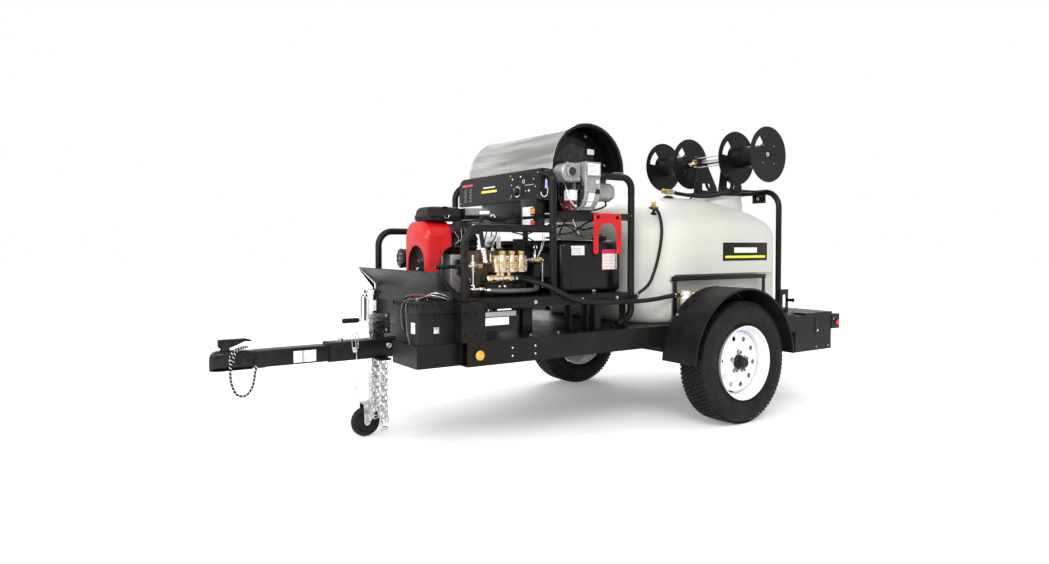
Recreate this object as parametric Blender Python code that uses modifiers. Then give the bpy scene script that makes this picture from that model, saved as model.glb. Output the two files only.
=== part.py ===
"""A single-axle trailer that carries a hot-water pressure washer.

Every place below is given from the axle: X = 0 at the axle, towards the tail, Y across, Z = 0 on the
ground. The empty "trailer" then moves the whole object so that its box is centred on the origin.
"""

import math

import bmesh
import bpy
from mathutils import Matrix, Vector

# Driving dimensions, in metres.
AXLE_X = 0.690  # from the centre of the whole object's box to the axle
GAP = 0.0003  # left between pieces that touch

TYRE_R, TYRE_Y, TYRE_HALF_W, RIM_R = 0.3445, 0.742, 0.100, 0.209
WHEEL_SIDES = 40

RAIL_Y, RAIL_W, RAIL_LOW, RAIL_HIGH, SHEET = 0.600, 0.070, 0.443, 0.557, 0.005
RAIL_FRONT, RAIL_BACK = -1.646, 0.775
DECK_HIGH = RAIL_HIGH - 0.0005
DECK_LOW = DECK_HIGH - 0.008
DECK_BACK = 0.872
TRAY_FRONT, TRAY_Y0, TRAY_Y1 = -1.865, -0.530, -0.260

TONGUE_HALF_W, TONGUE_LOW, TONGUE_HIGH = 0.0505, 0.435, 0.528
DRAWBAR_HALF_W, DRAWBAR_FRONT, TONGUE_FRONT = 0.0445, -2.440, -2.100
COUPLER_TIP = -2.635
LATCH_PIVOT = Vector((-2.565, 0.0, 0.553))

BOX_FRONT, BOX_BACK, BOX_LOW, BOX_HIGH = 0.776, 1.165, 0.308, 0.5445
LID_PIVOT = Vector((0.8765, 0.0, 0.5545))
TAIL = 1.255

SKID_FRONT, SKID_BACK, SKID_Y = -1.640, -0.605, 0.545
SKID_LOW, SKID_HIGH = 0.697, 0.747
CAGE_Y, CAGE_TUBE = 0.520, 0.019
CAGE_FRONT, CAGE_MIDDLE, CAGE_BACK = -1.615, -1.106, -0.578
CAGE_LOW_TOP, CAGE_BAR, CAGE_TALL_TOP = 1.085, 1.155, 1.370
HOOP_TURN = -0.800

ENGINE_FRONT, ENGINE_Y, CRANK_Z = -1.480, 0.000, 0.920
PUMP_SHAFT = (-0.285, 0.885)
BELT_X0, BELT_X1 = -1.130, -1.085
ENGINE_PULLEY_R, PUMP_PULLEY_R, BELT_THICK = 0.055, 0.100, 0.009
UNLOADER_Y, UNLOADER_Z = -0.420, 0.835

BARREL_X, BARREL_Z, BARREL_R = -0.815, 1.410, 0.245
BARREL_Y0, BARREL_Y1 = -0.450, 0.420
DRUM_R, DRUM_Y0, DRUM_Y1 = 0.222, -0.330, 0.400
BASE_LOW = CAGE_BAR - 0.012
BURNER_Y, BURNER_Z, BURNER_R = -0.460, 1.288, 0.121
BURNER_X0, BURNER_X1 = -0.943, -0.844
FLAME_X, FLAME_Z, FLAME_R = -0.8935, 1.350, 0.050
PANEL_X, PANEL_BACK = -1.120, -1.070
PANEL_Y, PANEL_LOW, PANEL_HIGH = 0.440, 1.240, 1.400
TOGGLE_LEAN = math.radians(12)

TANK_X, TANK_HALF_L, TANK_LOW = 0.150, 0.650, DECK_HIGH + GAP
NECK_X, NECK_Y, NECK_TOP, NECK_R = 0.630, -0.060, 1.338, 0.165
WELL_FRONT, WELL_TOP, WELL_Y = -0.285, 0.835, 0.498

REEL_X, REEL_Z, REEL_DISC_R, REEL_DRUM_R = 0.683, 1.597, 0.183, 0.070
REEL_Y = {"left_reel": (-0.450, -0.185), "right_reel": (0.231, 0.507)}
STAND_X, STAND_Y, STAND_TOP = 0.835, 0.420, 1.365
STAND_PLATES = (-0.100, 0.124)

JACK_X, JACK_Y, JACK_PIVOT_Z, JACK_TOP = -1.811, 0.130, 0.600, 0.770
JACK_OUTER_R, JACK_INNER_R = 0.0285, 0.0230
CASTER_X, CASTER_R = -1.853, 0.078


# Scene ------------------------------------------------------------------------------------------


def clear_scene():
    for obj in list(bpy.data.objects):
        bpy.data.objects.remove(obj)


def new_collection(name):
    made = bpy.data.collections.new(name)
    bpy.context.scene.collection.children.link(made)
    return made


clear_scene()
PARTS = new_collection("trailer_pressure_washer")
HELPERS = new_collection("helpers")
HELPERS.hide_render = True
TRAILER = bpy.data.objects.new("trailer", None)
TRAILER.location = (AXLE_X, 0, 0)
PARTS.objects.link(TRAILER)


def new_material(name, colour, roughness, metallic=0.0):
    made = bpy.data.materials.new(name)
    made.use_nodes = True
    shader = made.node_tree.nodes["Principled BSDF"]
    shader.inputs["Base Color"].default_value = (*colour, 1)
    shader.inputs["Roughness"].default_value = roughness
    shader.inputs["Metallic"].default_value = metallic
    return made


BLACK_PAINT = new_material("black_paint", (0.016, 0.016, 0.017), 0.42)
BLACK_PLASTIC = new_material("black_plastic", (0.020, 0.020, 0.021), 0.55)
RUBBER = new_material("rubber", (0.018, 0.018, 0.018), 0.85)
WHITE_PAINT = new_material("white_paint", (0.80, 0.81, 0.82), 0.30)
RED_PAINT = new_material("red_paint", (0.55, 0.010, 0.012), 0.30)
AMBER = new_material("amber_lens", (0.85, 0.25, 0.02), 0.15)
ZINC = new_material("zinc", (0.62, 0.63, 0.64), 0.28, 1.0)
STAINLESS = new_material("stainless", (0.66, 0.66, 0.65), 0.25, 1.0)
CAST_ALUMINIUM = new_material("cast_aluminium", (0.42, 0.43, 0.43), 0.50, 0.9)
BRONZE = new_material("bronze", (0.16, 0.11, 0.06), 0.50, 0.7)
BRASS = new_material("brass", (0.72, 0.50, 0.20), 0.30, 1.0)
WHITE_POLY = new_material("white_poly", (0.80, 0.80, 0.76), 0.45)


# Shapes -----------------------------------------------------------------------------------------


def place(obj, material):
    obj.data.materials.append(material)
    obj.parent = TRAILER
    PARTS.objects.link(obj)
    return obj


def object_of(name, bm, material):
    mesh = bpy.data.meshes.new(name)
    bmesh.ops.recalc_face_normals(bm, faces=bm.faces)
    bm.to_mesh(mesh)
    bm.free()
    return place(bpy.data.objects.new(name, mesh), material)


def bevel(obj, width, segments=1):
    modifier = obj.modifiers.new("edges", "BEVEL")
    modifier.width = width
    modifier.segments = segments
    modifier.limit_method = "ANGLE"
    return obj


def box(name, low, high, material, edge=0.0):
    low, high = Vector(low), Vector(high)
    bm = bmesh.new()
    bmesh.ops.create_cube(bm, size=1.0)
    bmesh.ops.scale(bm, vec=high - low, verts=bm.verts)
    bmesh.ops.translate(bm, vec=(low + high) / 2, verts=bm.verts)
    obj = object_of(name, bm, material)
    return bevel(obj, edge) if edge else obj


def cylinder(name, start, end, radius, material, sides=20, end_radius=None):
    start, end = Vector(start), Vector(end)
    along = end - start
    bm = bmesh.new()
    bmesh.ops.create_cone(
        bm,
        cap_ends=True,
        segments=sides,
        radius1=radius,
        radius2=radius if end_radius is None else end_radius,
        depth=along.length,
    )
    turn = Vector((0, 0, 1)).rotation_difference(along).to_matrix().to_4x4()
    bmesh.ops.transform(bm, matrix=Matrix.Translation((start + end) / 2) @ turn, verts=bm.verts)
    obj = object_of(name, bm, material)
    obj.data.shade_smooth()
    obj.data.set_sharp_from_angle(angle=math.radians(35))
    return obj


def open_box(name, low, high, wall, material, missing):
    """A sheet box with one face missing, given as the way that face looked."""
    obj = box(name, low, high, material)
    bm = bmesh.new()
    bm.from_mesh(obj.data)
    gone = [face for face in bm.faces if face.normal.dot(Vector(missing)) > 0.9]
    bmesh.ops.delete(bm, geom=gone, context="FACES_ONLY")
    bm.to_mesh(obj.data)
    bm.free()
    modifier = obj.modifiers.new("wall", "SOLIDIFY")
    modifier.thickness = wall
    modifier.offset = -1.0
    modifier.use_even_offset = True
    return obj


PLANES = {
    "YZ": Matrix(((0, 0, 1), (1, 0, 0), (0, 1, 0))),  # drawn in Y and Z, thick along X
    "XZ": Matrix(((1, 0, 0), (0, 0, -1), (0, 1, 0))),  # drawn in X and Z, thick along Y
}


def outline(name, loops, plane, low, high, material):
    """A flat outline, with any holes after its outer loop, made thick from low to high."""
    curve = bpy.data.curves.new(name, "CURVE")
    curve.dimensions = "2D"
    curve.fill_mode = "BOTH"
    curve.extrude = (high - low) / 2
    for loop in loops:
        spline = curve.splines.new("POLY")
        spline.points.add(len(loop) - 1)
        for point, (a, b) in zip(spline.points, loop):
            point.co = (a, b, 0, 1)
        spline.use_cyclic_u = True
    obj = place(bpy.data.objects.new(name, curve), material)
    turn = PLANES[plane]
    across = turn @ Vector((0, 0, 1))
    sign = across[[abs(value) > 0.5 for value in across].index(True)]
    obj.matrix_basis = Matrix.Translation(across * sign * (low + high) / 2) @ turn.to_4x4()
    return obj


def tube(name, points, radius, material, resolution=2):
    curve = bpy.data.curves.new(name, "CURVE")
    curve.dimensions = "3D"
    curve.bevel_depth = radius
    curve.bevel_resolution = resolution
    curve.use_fill_caps = True
    spline = curve.splines.new("POLY")
    spline.points.add(len(points) - 1)
    for point, place_at in zip(spline.points, points):
        point.co = (*place_at, 1)
    return place(bpy.data.objects.new(name, curve), material)


def turned(name, profile, centre, axis, material, steps=WHEEL_SIDES, closed=True):
    """A turned shape: profile is (radius, height along the axis), down its outer side."""
    mesh = bpy.data.meshes.new(name)
    edges = [(i, i + 1) for i in range(len(profile) - 1)]
    if closed:
        edges.append((len(profile) - 1, 0))
    mesh.from_pydata([(radius, 0, height) for radius, height in profile], edges, [])
    obj = place(bpy.data.objects.new(name, mesh), material)
    modifier = obj.modifiers.new("turn", "SCREW")
    modifier.steps = steps
    modifier.render_steps = steps
    modifier.use_merge_vertices = True
    modifier.merge_threshold = 0.00001
    modifier.use_smooth_shade = True
    facing = Vector((0, 0, 1)).rotation_difference(Vector(axis)).to_matrix().to_4x4()
    flat_down = Matrix.Rotation(math.pi / steps, 4, "Z")
    obj.matrix_basis = Matrix.Translation(centre) @ facing @ flat_down
    return obj


def loft(name, sections, material):
    """A closed skin through rings of equally many points."""
    bm = bmesh.new()
    rings = [[bm.verts.new(point) for point in ring] for ring in sections]
    for ring, upper in zip(rings, rings[1:]):
        for i in range(len(ring)):
            j = (i + 1) % len(ring)
            bm.faces.new((ring[i], ring[j], upper[j], upper[i]))
    bm.faces.new(list(reversed(rings[0])))
    bm.faces.new(rings[-1])
    return object_of(name, bm, material)


def as_mesh(obj):
    """The evaluated shape of a curve or a modified mesh as a plain mesh, with its caps welded."""
    bpy.context.view_layer.update()
    evaluated = obj.evaluated_get(bpy.context.evaluated_depsgraph_get())
    mesh = bpy.data.meshes.new_from_object(evaluated)
    bm = bmesh.new()
    bm.from_mesh(mesh)
    bmesh.ops.remove_doubles(bm, verts=bm.verts, dist=0.00001)
    bmesh.ops.recalc_face_normals(bm, faces=bm.faces)
    bm.to_mesh(mesh)
    bm.free()
    name, material, turn = obj.name, obj.active_material, obj.matrix_basis.copy()
    bpy.data.objects.remove(obj)
    made = bpy.data.objects.new(name, mesh)
    mesh.materials.clear()
    place(made, material)
    made.matrix_basis = turn
    return made


def boolean(obj, other, operation):
    """Joins the helper to the object, or cuts it away, and hides the helper."""
    if other.type != "MESH" or other.modifiers:
        other = as_mesh(other)
    PARTS.objects.unlink(other)
    HELPERS.objects.link(other)
    other.hide_render = True
    other.display_type = "WIRE"
    modifier = obj.modifiers.new(other.name, "BOOLEAN")
    modifier.operation = operation
    modifier.object = other


def fuse(obj, *others):
    obj = as_mesh(obj) if obj.type != "MESH" else obj
    for other in others:
        boolean(obj, other, "UNION")
    return obj


def cut(obj, *others):
    obj = as_mesh(obj) if obj.type != "MESH" else obj
    for other in others:
        boolean(obj, other, "DIFFERENCE")
    return obj


def pivot(obj, point):
    """Moves the object's own origin to a point of its joint's axis."""
    offset = obj.matrix_basis.inverted() @ Vector(point)
    if obj.type == "CURVE":
        for spline in obj.data.splines:
            for item in spline.points:
                item.co = (*(item.co.xyz - offset), 1)
    else:
        obj.data.transform(Matrix.Translation(-offset))
    obj.matrix_basis = Matrix.Translation(point) @ obj.matrix_basis.to_3x3().to_4x4()
    return obj


# Outlines and routes ----------------------------------------------------------------------------


def arc(centre, radius, start, end, count):
    """Points on an arc, in degrees, both ends included."""
    turns = [math.radians(start + (end - start) * i / (count - 1)) for i in range(count)]
    return [(centre[0] + radius * math.cos(t), centre[1] + radius * math.sin(t)) for t in turns]


def circle(centre, radius, count):
    return arc(centre, radius, 0, 360 - 360 / count, count)


def bent(corners, radius, steps=4):
    """A route through straight runs, with each inner corner rounded."""
    corners = [Vector(corner) for corner in corners]
    route = [corners[0]]
    for before, corner, after in zip(corners, corners[1:], corners[2:]):
        back, ahead = (before - corner).normalized(), (after - corner).normalized()
        half = back.angle(ahead) / 2
        reach = radius / math.tan(half)
        start, end = corner + back * reach, corner + ahead * reach
        middle = corner + (back + ahead).normalized() * radius / math.sin(half)
        for i in range(steps + 1):
            spoke = (start - middle).normalized().slerp((end - middle).normalized(), i / steps)
            route.append(middle + spoke * radius)
    route.append(corners[-1])
    return route


def flowing(corners, spacing):
    """A smooth route through every given point, sampled about every spacing."""
    corners = [Vector(corner) for corner in corners]
    padded = [2 * corners[0] - corners[1], *corners, 2 * corners[-1] - corners[-2]]
    route = []
    for p0, p1, p2, p3 in zip(padded, padded[1:], padded[2:], padded[3:]):
        count = max(1, round((p2 - p1).length / spacing))
        for i in range(count):
            t = i / count
            curve = 2 * p1 + (p2 - p0) * t
            curve += (2 * p0 - 5 * p1 + 4 * p2 - p3) * t**2
            curve += (3 * p1 - p0 - 3 * p2 + p3) * t**3
            route.append(curve / 2)
    route.append(corners[-1])
    return route


def rounded_ring(centre_x, half_x, half_y, corner, z, per_corner=5):
    ring = []
    for quarter, (sx, sy) in enumerate(((1, 1), (-1, 1), (-1, -1), (1, -1))):
        middle = (centre_x + sx * (half_x - corner), sy * (half_y - corner))
        ring += arc(middle, corner, 90 * quarter, 90 * quarter + 90, per_corner)
    return [(x, y, z) for x, y in ring]


def stadium(first, second, grow, count=10):
    """The outline of a belt round two circles, each (a, b, radius), grown by a clearance."""
    (a1, b1, r1), (a2, b2, r2) = first, second
    span = math.hypot(a2 - a1, b2 - b1)
    along = math.degrees(math.atan2(b2 - b1, a2 - a1))
    lean = math.degrees(math.acos((r1 - r2) / span))
    near = arc((a1, b1), r1 + grow, along + lean, along + 360 - lean, count)
    far = arc((a2, b2), r2 + grow, along - lean, along + lean, count)
    return near + far


# Chassis ----------------------------------------------------------------------------------------


def make_rail(name, side):
    outer, inner, web = side * RAIL_Y, side * (RAIL_Y - RAIL_W), side * (RAIL_Y - SHEET)
    channel = [
        (outer, RAIL_LOW),
        (inner, RAIL_LOW),
        (inner, RAIL_LOW + SHEET),
        (web, RAIL_LOW + SHEET),
        (web, RAIL_HIGH - SHEET),
        (inner, RAIL_HIGH - SHEET),
        (inner, RAIL_HIGH),
        (outer, RAIL_HIGH),
    ]
    outline(name, [channel], "YZ", RAIL_FRONT, RAIL_BACK, BLACK_PAINT)


def make_deck_frame():
    """The deck sheet with its cross members below it, as one welded piece."""
    half = RAIL_Y - RAIL_W - GAP
    rib_low, rib_width = RAIL_LOW + 0.004, 0.045
    ribs = (-1.646, -1.130, -0.560, 0.180, 0.725)
    profile = []
    for start, following in zip(ribs, (*ribs[1:], DECK_BACK)):
        end = start + rib_width
        profile += [(start, rib_low), (end, rib_low), (end, DECK_LOW), (following, DECK_LOW)]
    profile += [(DECK_BACK, DECK_HIGH), (ribs[0], DECK_HIGH)]
    outline("deck_frame", [profile], "XZ", -half, half, BLACK_PAINT)


def make_battery_tray():
    low = (TRAY_FRONT, TRAY_Y0, RAIL_LOW)
    high = (RAIL_FRONT - GAP, TRAY_Y1, RAIL_HIGH - 0.009)
    open_box("battery_tray", low, high, 0.004, BLACK_PAINT, (0, 0, 1))


def make_tongue():
    tongue = box(
        "tongue",
        (TONGUE_FRONT, -TONGUE_HALF_W, TONGUE_LOW),
        (RAIL_FRONT - GAP, TONGUE_HALF_W, TONGUE_HIGH),
        BLACK_PAINT,
    )
    drawbar = box(
        "drawbar",
        (DRAWBAR_FRONT, -DRAWBAR_HALF_W, TONGUE_LOW + 0.004),
        (TONGUE_FRONT + 0.05, DRAWBAR_HALF_W, TONGUE_HIGH - 0.011),
        BLACK_PAINT,
    )
    jack_mount = box(
        "jack_mount",
        (JACK_X - 0.036, TONGUE_HALF_W - 0.010, TONGUE_HIGH - 0.060),
        (JACK_X + 0.036, JACK_Y - JACK_OUTER_R - 0.004, JACK_PIVOT_Z + 0.036),
        ZINC,
    )
    fuse(tongue, drawbar, jack_mount)


def make_coupler():
    side_view = [
        (DRAWBAR_FRONT - GAP, 0.436),
        (DRAWBAR_FRONT - GAP, 0.518),
        (-2.540, 0.527),
        (-2.600, 0.526),
        (COUPLER_TIP, 0.505),
        (COUPLER_TIP, 0.460),
        (-2.620, 0.441),
    ]
    coupler = outline("coupler", [side_view], "XZ", -0.044, 0.044, BLACK_PAINT)
    ball = cylinder("ball_socket", (-2.590, 0, 0.430), (-2.590, 0, 0.487), 0.026, ZINC, 16)
    cut(coupler, ball)
    handle = [(-2.580, 0.535), (-2.535, 0.535), (-2.455, 0.560), (-2.455, 0.568), (-2.580, 0.574)]
    latch = outline("coupler_latch", [handle], "XZ", -0.016, 0.016, ZINC)
    pivot(latch, LATCH_PIVOT)


def make_wiring_loop():
    route = [
        (-2.440, -0.060, 0.470),
        (-2.450, -0.062, 0.420),
        (-2.462, -0.064, 0.360),
        (-2.492, -0.065, 0.322),
        (-2.530, -0.065, 0.330),
        (-2.552, -0.063, 0.380),
        (-2.556, -0.060, 0.440),
        (-2.550, -0.057, 0.500),
    ]
    tube("wiring_loop", flowing(route, 0.022), 0.007, BLACK_PLASTIC)


def make_chains():
    """Both chains as plain hanks, hung from one plate under the tongue."""
    plate_low = TONGUE_LOW - GAP - 0.012
    plate = box("safety_chains", (-1.865, -0.095, plate_low), (-1.800, 0.060, TONGUE_LOW - GAP), ZINC)
    near = box("near_chain", (-1.860, -0.094, 0.065), (-1.802, -0.052, plate_low + 0.004), ZINC)
    far = box("far_chain", (-1.862, 0.014, 0.105), (-1.806, 0.056, plate_low + 0.004), ZINC)
    fuse(plate, near, far)


def make_axle():
    middle = 0.030
    beam = box("axle_beam", (-middle, -0.630, TYRE_R), (middle, 0.630, TYRE_R + 2 * middle), BLACK_PAINT)
    spindle = cylinder("spindle", (0, -0.760, TYRE_R), (0, 0.760, TYRE_R), 0.020, ZINC, 16)
    hangers = [
        box(
            f"hanger_{side}",
            (-0.060, side * 0.565 - 0.028, TYRE_R + 0.050),
            (0.060, side * 0.565 + 0.028, RAIL_LOW - GAP),
            BLACK_PAINT,
        )
        for side in (-1, 1)
    ]
    fuse(beam, spindle, *hangers)


def make_fender(name, side):
    centre, outer, count = (0.0, TYRE_R), 0.420, 17
    skin = arc(centre, outer, 177, 3, count) + arc(centre, outer - 0.004, 3, 177, count)
    inside, outside = side * (RAIL_Y + GAP), side * (TYRE_Y + TYRE_HALF_W + 0.004)
    outline(name, [skin], "XZ", min(inside, outside), max(inside, outside), BLACK_PAINT)


def make_wheel(name, side):
    """A tyre and its rim. Their flats are as wide as a side, so that a flat rests on the ground."""
    grow = 1 / math.cos(math.pi / WHEEL_SIDES)
    tread, half = TYRE_R * grow, TYRE_HALF_W
    tyre = [
        (RIM_R, 0.066),
        (0.236, 0.086),
        (0.285, half),
        (0.322, 0.090),
        (tread, 0.070),
        (tread, -0.070),
        (0.322, -0.090),
        (0.285, -half),
        (0.236, -0.086),
        (RIM_R, -0.066),
    ]
    centre, axis = (0, side * TYRE_Y, TYRE_R), (0, side, 0)
    turned(f"{name}_tyre", tyre, centre, axis, RUBBER)
    bead = RIM_R - GAP
    rim = [
        (0.000, 0.093),
        (0.030, 0.093),
        (0.040, 0.088),
        (0.040, 0.048),
        (0.075, 0.030),
        (bead - 0.020, 0.022),
        (bead - 0.010, 0.092),
        (bead, 0.092),
        (bead, -0.090),
        (bead - 0.008, -0.090),
        (bead - 0.024, 0.012),
        (0.070, 0.020),
        (0.036, 0.018),
        (0.036, -0.050),
        (0.024, -0.050),
        (0.024, 0.060),
        (0.000, 0.060),
    ]
    turned(f"{name}_rim", rim, centre, axis, WHITE_PAINT, closed=False)


def make_marker(name, side):
    start = (-1.583, side * (RAIL_Y + GAP), 0.494)
    end = (-1.583, side * (RAIL_Y + 0.018), 0.494)
    cylinder(name, start, end, 0.026, AMBER, 16, end_radius=0.021)


def make_toolbox():
    """The rear toolbox, its tail channel and its lid, which hinges at the front edge."""
    low, high = (BOX_FRONT, -RAIL_Y, BOX_LOW), (BOX_BACK, RAIL_Y, BOX_HIGH)
    toolbox = open_box("rear_toolbox", low, high, 0.004, BLACK_PAINT, (0, 0, 1))
    toolbox = as_mesh(toolbox)
    tail = box("tail_bar", (BOX_BACK - 0.002, -RAIL_Y, 0.440), (TAIL, RAIL_Y, 0.538), BLACK_PAINT)
    ledge = box(
        "ledge",
        (BOX_FRONT + 0.001, -RAIL_Y + 0.001, BOX_HIGH - 0.004),
        (DECK_BACK, RAIL_Y - 0.001, BOX_HIGH),
        BLACK_PAINT,
    )
    fuse(toolbox, tail, ledge)
    lid = box("toolbox_lid", (0.8745, -0.603, 0.5452), (1.170, 0.603, 0.558), BLACK_PAINT)
    pivot(lid, LID_PIVOT)


# Skid -------------------------------------------------------------------------------------------


def make_skid_base():
    """A pan with its rails turned down, on two front plates and two rear posts."""
    low, high = (SKID_FRONT, -SKID_Y, SKID_LOW), (SKID_BACK, SKID_Y, SKID_HIGH)
    base = as_mesh(open_box("skid_base", low, high, SHEET, BLACK_PAINT, (0, 0, -1)))
    supports = []
    for side in (-1, 1):
        plate = (side * RAIL_Y, side * (SKID_Y - 0.004))
        supports.append(
            box(
                f"front_plate_{side}",
                (-1.676, min(plate), RAIL_HIGH + GAP),
                (-1.558, max(plate), 0.737),
                BLACK_PAINT,
            )
        )
        post = (side * 0.541, side * 0.500)
        supports.append(
            box(
                f"rear_post_{side}",
                (-0.850, min(post), RAIL_HIGH + GAP),
                (-0.810, max(post), SKID_LOW + 0.010),
                BLACK_PAINT,
            )
        )
    fuse(base, *supports)


def make_cage(name, side):
    """A low front hoop, a tall hoop round the heater and the bar that ties its legs.

    The near tall hoop stops short on both sides of the burner, and its ends turn in to the panel
    and to the drum.
    """
    y, foot = side * CAGE_Y, SKID_HIGH + GAP
    front_leg = [(CAGE_MIDDLE, y, foot), (CAGE_MIDDLE, y, CAGE_TALL_TOP)]
    rear_foot = (CAGE_BACK - 0.100, y, DECK_HIGH + 0.022)
    rear_leg = [(CAGE_BACK, y, CAGE_TALL_TOP), (CAGE_BACK, y, 0.620), rear_foot]
    low = [(CAGE_FRONT, y, foot), (CAGE_FRONT, y, CAGE_LOW_TOP), (CAGE_MIDDLE, y, CAGE_LOW_TOP)]
    extra = []
    if side > 0:
        cage = tube(name, bent(front_leg + rear_leg, 0.085), CAGE_TUBE, BLACK_PAINT)
    else:
        turned_in = (HOOP_TURN, DRUM_Y0 - GAP, CAGE_TALL_TOP)
        route = [turned_in, (HOOP_TURN, y, CAGE_TALL_TOP), *rear_leg]
        cage = tube(name, bent(route, 0.060), CAGE_TUBE, BLACK_PAINT)
        to_panel = (CAGE_MIDDLE, -PANEL_Y - GAP, CAGE_TALL_TOP)
        extra.append(tube(f"{name}_front", bent([*front_leg, to_panel], 0.045), CAGE_TUBE, BLACK_PAINT))
    bar = [(CAGE_MIDDLE, y, CAGE_BAR), (CAGE_BACK, y, CAGE_BAR)]
    extra.append(tube(f"{name}_low", bent(low, 0.085), CAGE_TUBE, BLACK_PAINT))
    extra.append(tube(f"{name}_bar", bar, CAGE_TUBE * 0.98, BLACK_PAINT))
    fuse(cage, *extra)


def make_front_guard():
    """A bent sheet that leans forward over the batteries."""
    face, lip, thick = SKID_FRONT - GAP, -1.745, 0.003
    sheet = [
        (face, SKID_LOW),
        (face, 0.780),
        (lip + 0.002, 0.877),
        (lip, 0.875),
        (face - thick, 0.779),
        (face - thick, SKID_LOW),
    ]
    outline("front_guard", [sheet], "XZ", -0.498, 0.498, BLACK_PAINT)


def make_batteries():
    low = (TRAY_FRONT + 0.008, TRAY_Y0 + 0.006, RAIL_LOW + 0.0045)
    high = (RAIL_FRONT - 0.012, TRAY_Y1 - 0.006, 0.745)
    case = as_mesh(box("battery_box", low, high, BLACK_PLASTIC, edge=0.012))
    lid_low = (TRAY_FRONT + 0.004, TRAY_Y0 - 0.002, 0.690)
    lid_high = (RAIL_FRONT - 0.008, TRAY_Y1 + 0.038, 0.745)
    fuse(case, as_mesh(box("battery_lids", lid_low, lid_high, BLACK_PLASTIC, edge=0.010)))


# Engine and pump --------------------------------------------------------------------------------


def make_engine_block():
    """Crankcase and two cylinders in a V, drawn across the crankshaft."""
    centre = Vector((ENGINE_Y, CRANK_Z))
    reach, half, case_half = 0.205, 0.050, 0.125
    right, left = Vector((1, 1)).normalized(), Vector((-1, 1)).normalized()
    outer, inner = right * half, left * half
    view = [
        (ENGINE_Y, CRANK_Z - half * math.sqrt(2)),
        tuple(centre + right * reach - inner),
        tuple(centre + right * reach + inner),
        (ENGINE_Y, CRANK_Z + half * math.sqrt(2)),
        tuple(centre + left * reach + outer),
        tuple(centre + left * reach - outer),
    ]
    cylinders = outline("cylinders", [view], "YZ", ENGINE_FRONT + 0.001, -1.310, CAST_ALUMINIUM)
    low = (ENGINE_FRONT, ENGINE_Y - case_half, SKID_HIGH + GAP)
    case = box("engine_block", low, (-1.180, ENGINE_Y + case_half, 0.980), CAST_ALUMINIUM)
    fuse(case, cylinders)


def make_engine_shroud():
    """A red cowl, open behind, with a round way in for the cooling air."""
    half, low, high, corner = 0.138, 0.770, 1.130, 0.100
    view = [(ENGINE_Y - half, low), (ENGINE_Y + half, low)]
    view += arc((ENGINE_Y + half - corner, high - corner), corner, 0, 90, 6)
    view += arc((ENGINE_Y - half + corner, high - corner), corner, 90, 180, 6)
    shroud = outline("engine_shroud", [view], "YZ", -1.620, ENGINE_FRONT - 0.001, RED_PAINT)
    middle = (low + high) / 2
    inner = [(ENGINE_Y + (y - ENGINE_Y) * 0.97, middle + (z - middle) * 0.97) for y, z in view]
    hollow = outline("shroud_hollow", [inner], "YZ", -1.615, -1.470, RED_PAINT)
    mouth_front, mouth_back = (-1.64, ENGINE_Y, CRANK_Z), (-1.60, ENGINE_Y, CRANK_Z)
    cut(shroud, hollow, cylinder("shroud_mouth", mouth_front, mouth_back, 0.112, RED_PAINT, 24))


def make_crankshaft():
    """The cooling fan at the front of the crankshaft and the pulley at its back."""
    hub, hub_back = (-1.600, ENGINE_Y, CRANK_Z), (ENGINE_FRONT - 0.0015, ENGINE_Y, CRANK_Z)
    plate_front, plate_back = (-1.530, ENGINE_Y, CRANK_Z), (-1.522, ENGINE_Y, CRANK_Z)
    fan = cylinder("flywheel_fan", hub, hub_back, 0.045, CAST_ALUMINIUM, 20)
    plate = cylinder("fan_plate", plate_front, plate_back, 0.125, ZINC, 24)
    blades = []
    for i in range(8):
        blade = box(f"fan_blade_{i}", (-1.574, 0.060, -0.003), (-1.525, 0.118, 0.003), ZINC)
        spin = Matrix.Rotation(math.radians(45 * i), 4, "X")
        blade.data.transform(Matrix.Translation((0, ENGINE_Y, CRANK_Z)) @ spin)
        blades.append(blade)
    web_front, web_back = (-1.575, ENGINE_Y, CRANK_Z), (-1.526, ENGINE_Y, CRANK_Z)
    fuse(fan, plate, cylinder("fan_web", web_front, web_back, 0.066, ZINC, 20), *blades)
    pivot(fan, hub)
    pulley("engine_pulley", (ENGINE_Y, CRANK_Z), ENGINE_PULLEY_R, -1.1797, 24)


def pulley(name, shaft, radius, shaft_front, steps):
    """A V-belt pulley and the stub of its shaft, turned about a line along X."""
    y, z = shaft
    middle = (BELT_X0 + BELT_X1) / 2
    half, lip = (BELT_X1 - BELT_X0) / 2, radius + 0.006
    profile = [
        (0.000, half + 0.008),
        (lip, half + 0.008),
        (lip, half + 0.001),
        (radius, half + 0.001),
        (radius, -half - 0.001),
        (lip, -half - 0.001),
        (lip, -half - 0.008),
        (0.016, -half - 0.008),
        (0.016, shaft_front - middle),
        (0.000, shaft_front - middle),
    ]
    turned(name, profile, (middle, y, z), (1, 0, 0), ZINC, steps, closed=False)


def belt_circles():
    return (
        (ENGINE_Y, CRANK_Z, ENGINE_PULLEY_R + 0.0005),
        (*PUMP_SHAFT, PUMP_PULLEY_R + 0.0005),
    )


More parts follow.
